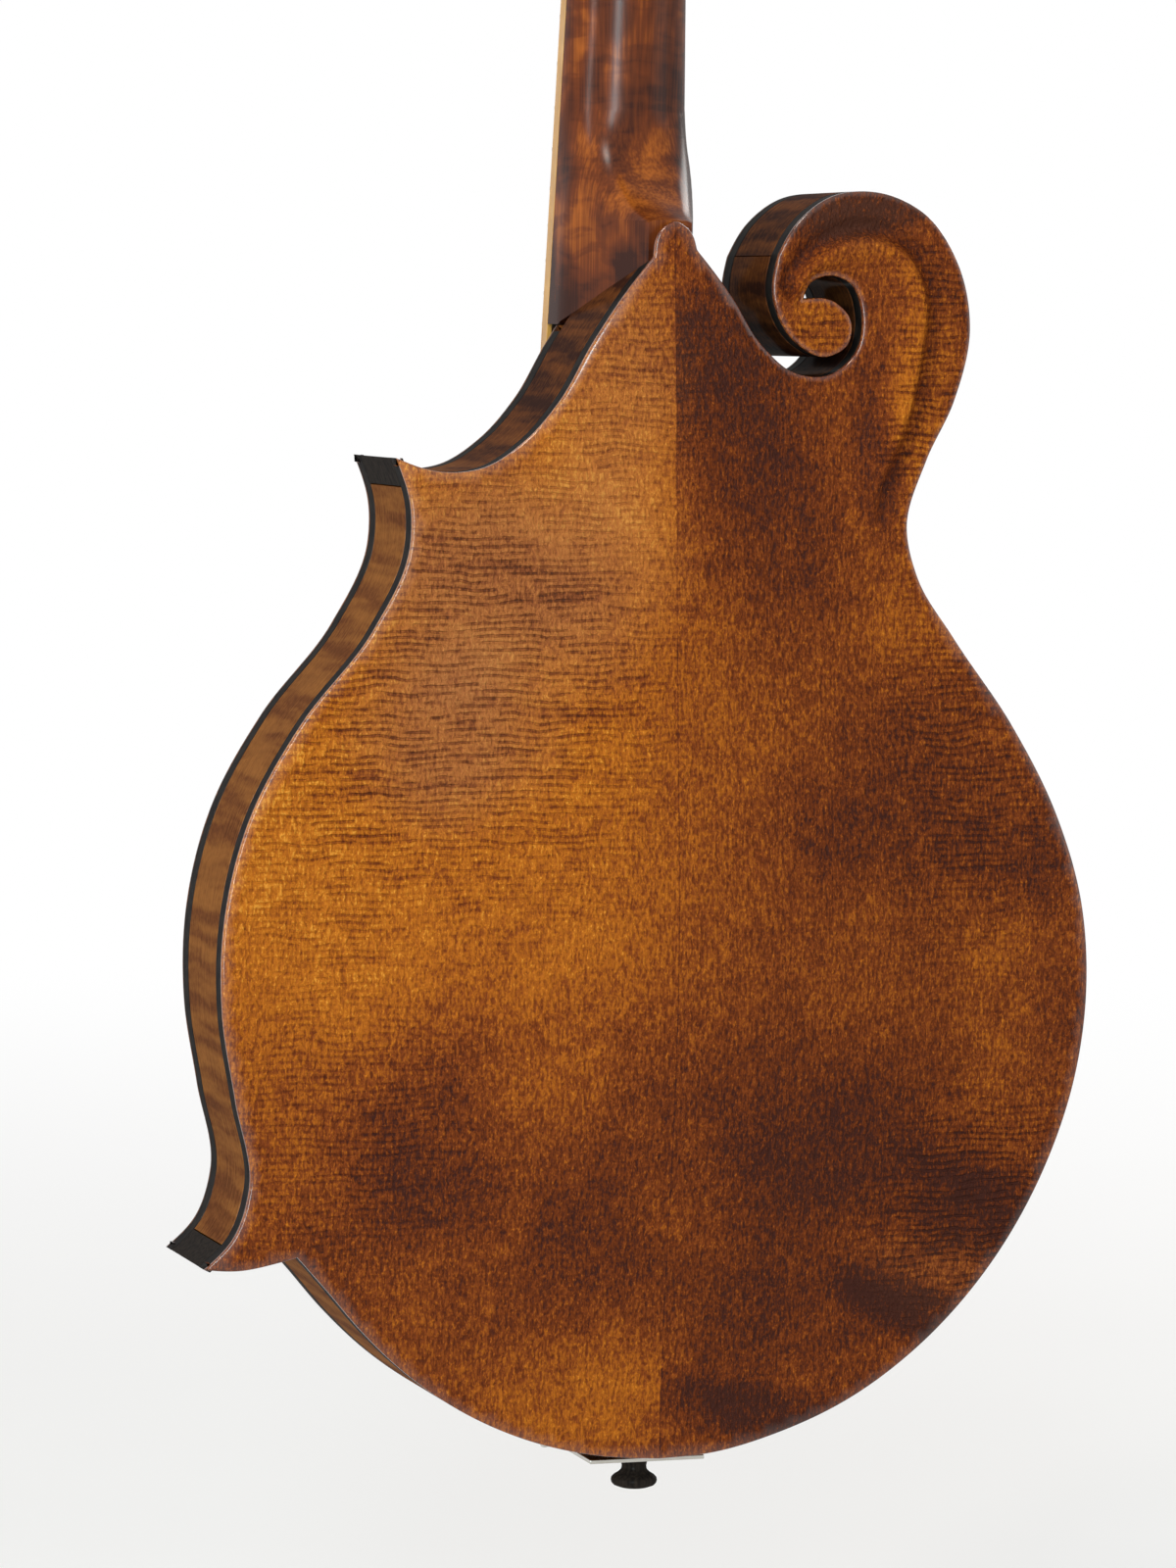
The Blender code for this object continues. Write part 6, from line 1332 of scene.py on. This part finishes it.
def gear():
    lead = WORM_PITCH / (math.pi * (WORM_RADIUS + WORM_ROOT_RADIUS))
    twist = GEAR_THICKNESS * lead / ((GEAR_RADIUS + GEAR_ROOT_RADIUS) / 2)
    shape = ((-0.10, GEAR_ROOT_RADIUS), (0.0, GEAR_ROOT_RADIUS * 0.985), (0.10, GEAR_ROOT_RADIUS),
             (0.34, GEAR_RADIUS * 0.985), (0.42, GEAR_RADIUS), (0.58, GEAR_RADIUS),
             (0.66, GEAR_RADIUS * 0.985))
    rings = []
    for level, size in ((-0.5, 0.97), (-0.44, 1.0), (0.0, 1.0), (0.44, 1.0), (0.5, 0.97)):
        spokes = [((k + part) * 2 * math.pi / GEAR_TEETH - math.pi / 2 - level * twist,
                   radius * size) for k in range(GEAR_TEETH) for part, radius in shape]
        rings.append([(reach * math.cos(angle), WORM_LEVEL + level * GEAR_THICKNESS,
                       reach * math.sin(angle)) for angle, reach in spokes])
    return loft(rings)


def post():
    end, waist_radius = -POST_REACH, POST_WAIST_RADIUS
    return turned([(POST_RADIUS * 0.6, end), (POST_RADIUS * 0.8, end + 0.0001),
                   (POST_RADIUS * 0.95, end + 0.0005), (POST_RADIUS, end + 0.0010),
                   (POST_RADIUS, end + 0.0025), (waist_radius * 1.08, end + 0.0030),
                   (waist_radius, end + 0.0037), (waist_radius, -0.0040),
                   (waist_radius * 1.08, -0.0034), (POST_RADIUS, -0.0028),
                   (POST_RADIUS, WORM_LEVEL - GEAR_THICKNESS / 2 + 0.0002)], 40)


def wheel_screw():
    top = WORM_LEVEL + GEAR_THICKNESS / 2
    return turned([(0.0022, top - 0.0002), (0.0022, top + 0.0005), (0.0019, top + 0.0008),
                   (0.0012, top + 0.00098)], 32)


def worm():
    """Shaft with its helical thread, along the local X axis."""
    start, core = BUTTON_START, WORM_ROOT_RADIUS
    end = -WORM_HALF_LENGTH - EAR_THICKNESS
    bm = turned([(core * 0.8, end - 0.0012), (core, end - 0.0009), (core, start - 0.0022),
                 (core * 1.5, start - 0.0016), (core * 1.7, start - 0.0010),
                 (core * 1.5, start - 0.0004), (core * 1.2, start + 0.0010)], 32, axis="X")
    steps = round(WORM_TURNS * 32)
    thread = []
    for i in range(steps + 1):
        angle = 2 * math.pi * WORM_TURNS * (i / steps - 0.5)
        x = WORM_PITCH * angle / (2 * math.pi)
        crest = core + (WORM_RADIUS - core) * min(1.0, min(i, steps - i) / 6 + 0.1)
        radial = Vector((0, math.sin(-angle), math.cos(angle)))
        thread.append([Vector((x + shift, 0, 0)) + radial * reach for shift, reach in (
            (-0.00040, core * 0.9), (0.00040, core * 0.9), (0.00018, crest - 0.00006),
            (0.0, crest), (-0.00018, crest - 0.00006))])
    return loft(thread, bm)


def tuner_button():
    """The kidney-shaped knob, pinched where it meets the shaft."""
    stations = ((0.0, 0.40, 0.26), (0.03, 0.52, 0.34), (0.10, 0.70, 0.52), (0.22, 0.86, 0.78),
                (0.38, 0.96, 0.95), (0.55, 1.0, 1.0), (0.70, 0.97, 0.94), (0.83, 0.88, 0.80),
                (0.92, 0.72, 0.60), (0.98, 0.46, 0.36), (1.0, 0.20, 0.16))
    return loft([[(BUTTON_START + BUTTON_LENGTH * share, BUTTON_HALF_THICKNESS * thick * u,
                   BUTTON_HALF_WIDTH * wide * v) for u, v in circle(1.0, 40)]
                 for share, thick, wide in stations])


def tuners():
    for _, nut_x, _, radius, number in STRINGS:
        x, z = POSTS[number]
        at_post = HEAD @ Matrix.Translation((x, 0, z))
        at_worm = (HEAD @ Matrix.Translation((x, WORM_LEVEL, z - WORM_DISTANCE))
                   @ Matrix.Rotation(math.pi if x < 0 else 0.0, 4, "Z"))
        winding = tube(winding_points(nut_x, number, radius), radius, 10)
        for name, bm, paint, matrix, node, sharp in (
                ("post_%d", post(), NICKEL, at_post, "tuner_post_%d", 30),
                ("gear_%d", gear(), BRASS, at_post, "tuner_post_%d", 30),
                ("wheel_screw_%d", wheel_screw(), NICKEL, at_post, "tuner_post_%d", 30),
                ("winding_%d", winding, wire(radius), at_post, "tuner_post_%d", 60),
                ("worm_%d", worm(), NICKEL, at_worm, "tuner_shaft_%d", 30),
                ("button_%d", tuner_button(), BONE, at_worm, "tuner_shaft_%d", 30)):
            node %= number + 1
            finished(name % (number + 1), bm, paint, matrix, node, node, sharp)


def tuner_plates():
    """The two plates, each with ears and screws for its four tuners."""
    half, corner = 0.0056, 0.0022
    worm_z = [POST_FIRST + i * POST_PITCH - WORM_DISTANCE for i in range(4)]
    screw_z = [worm_z[0] - 0.0044] + [POST_FIRST + i * POST_PITCH + 0.0072 for i in range(4)]
    low = worm_z[0] - 0.0060 + corner
    high = POST_FIRST + 3 * POST_PITCH + 0.0085 - corner
    ear_foot = PLATE_TOP - 0.0004
    ear = [(0.0027, ear_foot), *arc(0.0024, 0, 180, 10, (0.0, WORM_LEVEL)), (-0.0027, ear_foot)]
    ear_gap = WORM_HALF_LENGTH + 0.0004
    for name, x0 in (("tuner_plate_bass", -POST_X), ("tuner_plate_treble", POST_X)):
        left, right = x0 - half + corner, x0 + half - corner
        outline = [Vector(p) for x, z, first in ((left, low, 180), (right, low, 270),
                                                 (right, high, 0), (left, high, 90))
                   for p in arc(corner, first, first + 90, 6, (x, z))]
        finished(name + "_strip", soft_prism(outline[::-1], HEAD_THICKNESS + GAP, PLATE_TOP,
                                             0.00022), NICKEL, HEAD, name, sharp=45)
        ears = bmesh.new()
        for middle in worm_z:
            for inner in (x0 - ear_gap - EAR_THICKNESS, x0 + ear_gap):
                loft([[(x, y, middle + z) for z, y in ear]
                      for x in (inner, inner + EAR_THICKNESS)], ears)
        finished(name + "_ears", ears, NICKEL, HEAD, name, bevel=0.00015)
        for i, z in enumerate(screw_z):
            screw("%s_screw_%d" % (name, i), name, x0, z, PLATE_TOP, 1.0, 0.0016, 0.0011)


# Strings

def wire(radius):
    return WOUND if radius > THICKEST_PLAIN else WIRE


def hook_place(bridge_x, radius):
    return Vector((bridge_x * 0.62, -BODY_DEPTH - 0.0062 - radius, HOOK_LINE + 0.0016))


def strings():
    bend = 0.0008
    for i, (course, nut_x, bridge_x, radius, number) in enumerate(STRINGS):
        saddle_top = Vector((bridge_x, -ACTION - radius, -SCALE_LENGTH - COMPENSATION[i // 2]))
        hook = BODY_IN_NECK @ hook_place(bridge_x, radius)
        nut_top = Vector((nut_x, -NUT_HEIGHT - radius, NUT_LENGTH * 0.3))
        x, z = POSTS[number]
        angle = tangent_angle(nut_x, number, radius)
        big = wind_radius(radius)
        touch = Vector((x + big * math.cos(angle), wind_level(radius), z + big * math.sin(angle)))
        way = Vector((touch.x - nut_x, 0, touch.z)).normalized()
        stop = math.sqrt((big + 2 * radius + 0.0006) ** 2 - big**2)
        end = HEAD_IN_NECK @ (touch - way * stop)
        tail = [hook.lerp(saddle_top, k / 24) for k in range(25)]
        rest = [saddle_top.lerp(nut_top, k / 60) for k in range(60)]
        rest += [nut_top.lerp(saddle_top, bend / (nut_top - saddle_top).length), nut_top,
                 nut_top - (nut_top - end).normalized() * bend]
        rest += [nut_top.lerp(end, k / 8) for k in range(1, 9)]
        name = "string_%s%d" % (course, i % 2 + 1)
        for ending, points, still in (("_tail", tail, hook), ("_speaking", rest, nut_top)):
            finished(name + ending, tube(points, radius), wire(radius), NECK, name, "saddle",
                     sharp=60, blended=(NECK @ still, NECK @ saddle_top))


# Bridge

def plate_probe(made):
    """y of the top plate's outer face in the body's frame."""
    tree = BVHTree.FromPolygons([BODY.inverted() @ v.co for v in made.data.vertices],
                                [p.vertices[:] for p in made.data.polygons])

    def probe(x, z):
        hit = tree.ray_cast(Vector((x, -0.1, z)), Vector((0, 1, 0)))
        return hit[0].y if hit[0] else -BODY_DEPTH
    return probe


def bridge(surface):
    half = BRIDGE_WIDTH / 2
    sections = []
    for i in range(97):
        x = (2 * i / 96 - 1) * BRIDGE_LENGTH / 2
        share = abs(x) / (BRIDGE_LENGTH / 2)
        feet = [surface(x, BRIDGE_HEIGHT + e) - 0.00005 for e in (-half, half)]
        foot = min(feet) - GAP
        lift = 0.0022 * max(0.0, 1 - (share / 0.20) ** 2)
        fall = max(0.0, (share - 0.72) / 0.28) ** 1.4
        crest = min(BRIDGE_TOP + (foot - BRIDGE_END_HEIGHT - BRIDGE_TOP) * fall, foot - 0.0022)
        middle = crest + (foot - crest) * 0.45
        sections.append([(x, y, BRIDGE_HEIGHT + half * wide) for y, wide in (
            (feet[0] - lift, -1), (feet[1] - lift, 1), (middle, 0.93), (crest + 0.0004, 0.66),
            (crest, 0.56), (crest, -0.56), (crest + 0.0004, -0.66), (middle, -0.93))])
    finished("bridge_base_ebony", loft(sections), EBONY, BODY, "bridge_base")
    stud = [(STUD_RADIUS, BRIDGE_TOP + 0.0042)]
    thread = BRIDGE_TOP + 0.0004
    while thread > SADDLE_BOTTOM - 0.0018:
        stud += [(STUD_RADIUS, thread), (STUD_RADIUS - 0.00022, thread - 0.00035)]
        thread -= 0.0007
    stud += [(STUD_RADIUS * 0.8, SADDLE_BOTTOM - 0.0031)]
    bore, face = STUD_RADIUS + GAP, WHEEL_RADIUS - 0.0005
    wheel = [(bore, 0.0), (face, 0.0), (WHEEL_RADIUS, -0.0004),
             (WHEEL_RADIUS, -WHEEL_THICKNESS + 0.0004), (face, -WHEEL_THICKNESS),
             (bore, -WHEEL_THICKNESS)]
    knurl = (0.0, 0.000175, 0.00035, 0.000175)
    for x, name in ((-WHEEL_OFFSET, "bass"), (WHEEL_OFFSET, "treble")):
        finished("stud_" + name, turned(stud, 32, (x, BRIDGE_HEIGHT)), BRASS, BODY,
                 "bridge_stud_" + name, sharp=25)
        rings = [[((radius - deep) * u, height, (radius - deep) * v) for (u, v), deep in zip(
            circle(1.0, 160), (knurl if radius > bore else (0.0,)) * 160)]
                 for radius, height in wheel]
        place = BODY @ Matrix.Translation((x, BRIDGE_TOP - WHEEL_LIFT, BRIDGE_HEIGHT))
        finished("wheel_" + name, loft(rings, closed=True), BRASS, place, "thumbwheel_" + name,
                 "thumbwheel_" + name, sharp=40)


def saddle():
    """Saddle with a stepped crest, notched for each string."""
    height = SADDLE_BOTTOM - (NECK_IN_BODY @ Vector((0, -ACTION, -SCALE_LENGTH))).y - GAP
    slots = [(bridge_x, radius) for _, _, bridge_x, radius, _ in STRINGS]
    steps = (-0.0265, -0.0124, 0.0, 0.0124, 0.0265)
    end, foot = SADDLE_LENGTH / 2, SADDLE_FOOT / 2
    wing = end - SADDLE_CREST_END
    stations = {centre + k * radius * 0.4 for centre, radius in slots for k in range(-5, 6)}
    stations |= {edge + shift for edge in steps[1:-1] for shift in (-0.0005, 0.0005)}
    stations |= {side * (end - wing * k / 10) for side in (-1, 1) for k in range(11)}
    sections = []
    for x in sorted(stations):
        share = 1.0 - 0.55 * max(0.0, (abs(x) - SADDLE_CREST_END) / wing) ** 0.8
        shift = sum(amount for amount, low, high in zip(COMPENSATION, steps, steps[1:])
                    if low <= x < high)
        top = -height * share - 0.0003 + notch(x, slots, 0.00045, 1.6)
        middle = -height * 0.55 * share
        sections.append([(x, 0, -foot), (x, 0, foot), (x, middle, foot * 0.96),
                         (x, top + 0.0003, -shift + SADDLE_CREST / 2),
                         (x, top, -shift + SADDLE_CREST / 4),
                         (x, top, -shift - SADDLE_CREST / 4),
                         (x, top + 0.0003, -shift - SADDLE_CREST / 2), (x, middle, -foot * 0.96)])
    place = BODY @ Matrix.Translation((0, SADDLE_BOTTOM, BRIDGE_HEIGHT))
    made = finished("saddle_ebony", loft(sections), EBONY, place, "bridge_saddle", "saddle",
                    sharp=28)
    holes = bmesh.new()
    for x in (-WHEEL_OFFSET, WHEEL_OFFSET):
        turned([(STUD_RADIUS + GAP, 0.002), (STUD_RADIUS + GAP, -0.0047)], 32, (x, 0.0),
               bm=holes)
    cut_away(made, holes, place)


# Tailpiece and strap button

def tailpiece():
    """Bent plate over the tail, with a hook for each string."""
    half, bend = 0.017, 0.0012
    top = -BODY_DEPTH - 0.0014
    leg = -BODY_DEPTH + 0.034
    inner = -GAP - 0.0012
    outer = inner - TAILPIECE_METAL
    face = top - TAILPIECE_METAL
    profile = [(outer, leg), *arc(bend, 180, 270, 6, (outer + bend, face + bend)),
               (0.029, face), (0.029, top), (inner, top), (inner, leg)]
    bm = loft([[(x, y, z) for z, y in profile]
               for x in (-half, -half + 0.004, half - 0.004, half)])
    finished("tailpiece_plate", bm, NICKEL, BODY, "tailpiece_base", bevel=0.0002)
    for number, (_, _, bridge_x, radius, _) in enumerate(STRINGS, 1):
        place = hook_place(bridge_x, radius)
        tip = place.y - 0.0013
        sections = []
        for back, y, lean in ((0.0, face + 0.0004, 0), (0.0, tip + 0.0016, 0),
                              (0.0003, tip + 0.0006, 35), (0.0011, tip, 70),
                              (0.0020, tip + 0.0001, 85)):
            dz = 0.00055 * math.cos(math.radians(lean))
            dy = 0.00055 * math.sin(math.radians(lean))
            sections.append([(place.x + side * 0.0008, y + out * dy, HOOK_LINE - back + out * dz)
                             for side, out in ((-1, 1), (1, 1), (1, -1), (-1, -1))])
        finished("hook_%d" % number, loft(sections), NICKEL, BODY, "tailpiece_base",
                 bevel=0.00015)


def cover_outline(z, deeper=0.0):
    """Half width of the cover at z, the level midway up it, and its outline there."""
    share = (z - COVER_START) / (COVER_REACH - COVER_START)
    half = COVER_HALF_WIDTH * (0.86 + 0.14 * math.sin(math.pi * (0.12 + 0.82 * share)))
    top = -BODY_DEPTH - 0.0072 - 0.0078 * share**0.85
    low = -BODY_DEPTH - 0.0016 - 0.0046 * share**2.2 - deeper
    corner = 0.003
    side = half - corner
    return half, (top + low) / 2, [(-half, low), *arc(corner, 180, 270, 8, (-side, top + corner)),
                                   *arc(corner, 270, 360, 8, (side, top + corner)), (half, low)]


def tailpiece_cover():
    """The pressed cover, crowned across and open towards the bridge."""
    node = "tailpiece_cover"
    rows = []
    for k in range(41):
        z = COVER_START + (COVER_REACH - COVER_START) * k / 40
        half, middle, outer = cover_outline(z)
        inner = [(x * (1 - COVER_METAL / half),
                  y + COVER_METAL * max(0.0, min(1.0, (middle - y) / 0.002))) for x, y in outer]
        rows.append([(x, y, z) for x, y in outer + inner[::-1]])
    finished("cover_shell", loft(rows), NICKEL, BODY, node, node, sharp=40)
    end = prism(cover_outline(COVER_START, 0.0014)[2], COVER_START - 0.0002,
                COVER_START + COVER_METAL, "Z")
    finished("cover_end", end, NICKEL, BODY, node, node, bevel=0.0002)


def strap_button():
    """Turned ebony button with a bead, a waist and a domed end."""
    tail = -GAP - 0.0012 - TAILPIECE_METAL - GAP
    turning = ((0.76, -0.01), (0.79, 0.03), (0.76, 0.08), (0.64, 0.13), (0.56, 0.21),
               (0.53, 0.33), (0.56, 0.44), (0.70, 0.54), (0.88, 0.62), (0.98, 0.70),
               (1.0, 0.78), (0.97, 0.86), (0.88, 0.93), (0.70, 0.98), (0.62, 1.0))
    profile = [(0.0030, tail + 0.0100), (0.0030, tail + GAP / 2)]
    profile += [(STRAP_BUTTON_RADIUS * wide, tail - STRAP_BUTTON_LENGTH * deep)
                for wide, deep in turning]
    bm = turned(profile, 64, (0.0, -STRAP_BUTTON_DEPTH), "Z")
    finished("strap_button_ebony", bm, EBONY, BODY, "strap_button", sharp=50)


# Studio and build

def carried_over():
    """Inner pieces and plain ones keep the solids' shape and get their finish here."""
    finishes = dict.fromkeys(("head_block", "tail_block", "tone_bar_bass", "tone_bar_treble",
                              "point_block_upper", "point_block_lower"), PLAIN_WOOD)
    for name, paint in {**finishes, "truss_rod": NICKEL, "extension_support": MAPLE_NECK}.items():
        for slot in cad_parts[name].material_slots:
            slot.material = paint


# Name, place, power, width, height and colour of each lamp
LAMPS = (("key", (0.75, 2.3, 0.35), 4.0, 1.1, 1.1, (1.0, 0.94, 0.86)),
         ("strip", (0.92, 2.1, -0.10), 46.0, 0.36, 1.9, (0.74, 0.94, 1.0)),
         ("edge", (2.0, 0.62, -0.10), 14.0, 0.14, 1.7, (1.0, 0.98, 0.97)),
         ("above", (0.9, 0.9, 1.35), 16.0, 0.4, 0.4, (1.0, 0.94, 0.86)),
         ("fill", (-1.9, 1.3, 0.1), 5.0, 1.2, 1.2, (1.0, 0.98, 0.96)),
         ("front", (-1.9, -1.6, 0.9), 34.0, 1.3, 1.3, (1.0, 0.98, 0.95)))
LAMPS_AIM = Vector((0.0, 0.0, -0.25))


def studio():
    """Pale floor and world, soft lamps, and the camera of the photograph."""
    scene = bpy.context.scene
    bm = bmesh.new()
    bmesh.ops.create_grid(bm, x_segments=2, y_segments=2, size=6.0)
    floor = added("floor", bm, Matrix.Identity(4))
    floor.data.materials.append(floor_paint())
    floor.location = (0, 0, cad_box[0][2] - 0.10)
    scene.world = bpy.data.worlds.new("studio")
    scene.world.use_nodes = True
    graph = Graph(scene.world.node_tree)
    graph.tree.nodes.clear()
    dim = graph.node("Background", {"Color": (1.0, 0.99, 0.97), "Strength": 0.30})
    white = graph.node("Background", {"Color": (1.0, 1.0, 1.0), "Strength": 1.0})
    mixed = graph.node("MixShader", {0: graph.seen_rays(), 1: dim, 2: white})
    graph.node("OutputWorld", {0: mixed}, None)
    for name, place, power, width, height, color in LAMPS:
        light = bpy.data.lights.new(name, "AREA")
        light.shape, light.energy, light.color = "RECTANGLE", power, color
        light.size, light.size_y = width, height
        lamp = bpy.data.objects.new(name, light)
        lamp.location = place
        lamp.rotation_euler = (LAMPS_AIM - Vector(place)).to_track_quat("-Z", "Y").to_euler()
        scene.collection.objects.link(lamp)
    camera_data = bpy.data.cameras.new("camera")
    camera_data.sensor_width = SENSOR
    camera_data.lens = FOCAL_PIXELS * SENSOR / PHOTO_SIZE[1]
    camera_data.clip_end = 50.0
    camera = bpy.data.objects.new("camera", camera_data)
    turn = Matrix((VIEW_RIGHT, VIEW_UP, VIEW_BACK)).transposed().to_4x4()
    camera.matrix_world = Matrix.Translation(CAMERA_AT) @ turn
    scene.collection.objects.link(camera)
    scene.camera = camera
    scene.view_settings.view_transform = "Standard"


def build():
    plate("back", "back_plate", BACK_OUTLINE, back_arch, False, [], MAPLE_BACK)
    top = plate("top", "top_plate", TOP_RIM, top_arch, True, [f_hole(-1), f_hole(1)], SPRUCE)
    surface = plate_probe(top)
    sides()
    neck_shaft()
    peghead()
    truss_cover()
    fretboard()
    nut()
    tuner_plates()
    tuners()
    strings()
    bridge(surface)
    saddle()
    tailpiece()
    tailpiece_cover()
    strap_button()
    carried_over()
    studio()


build()
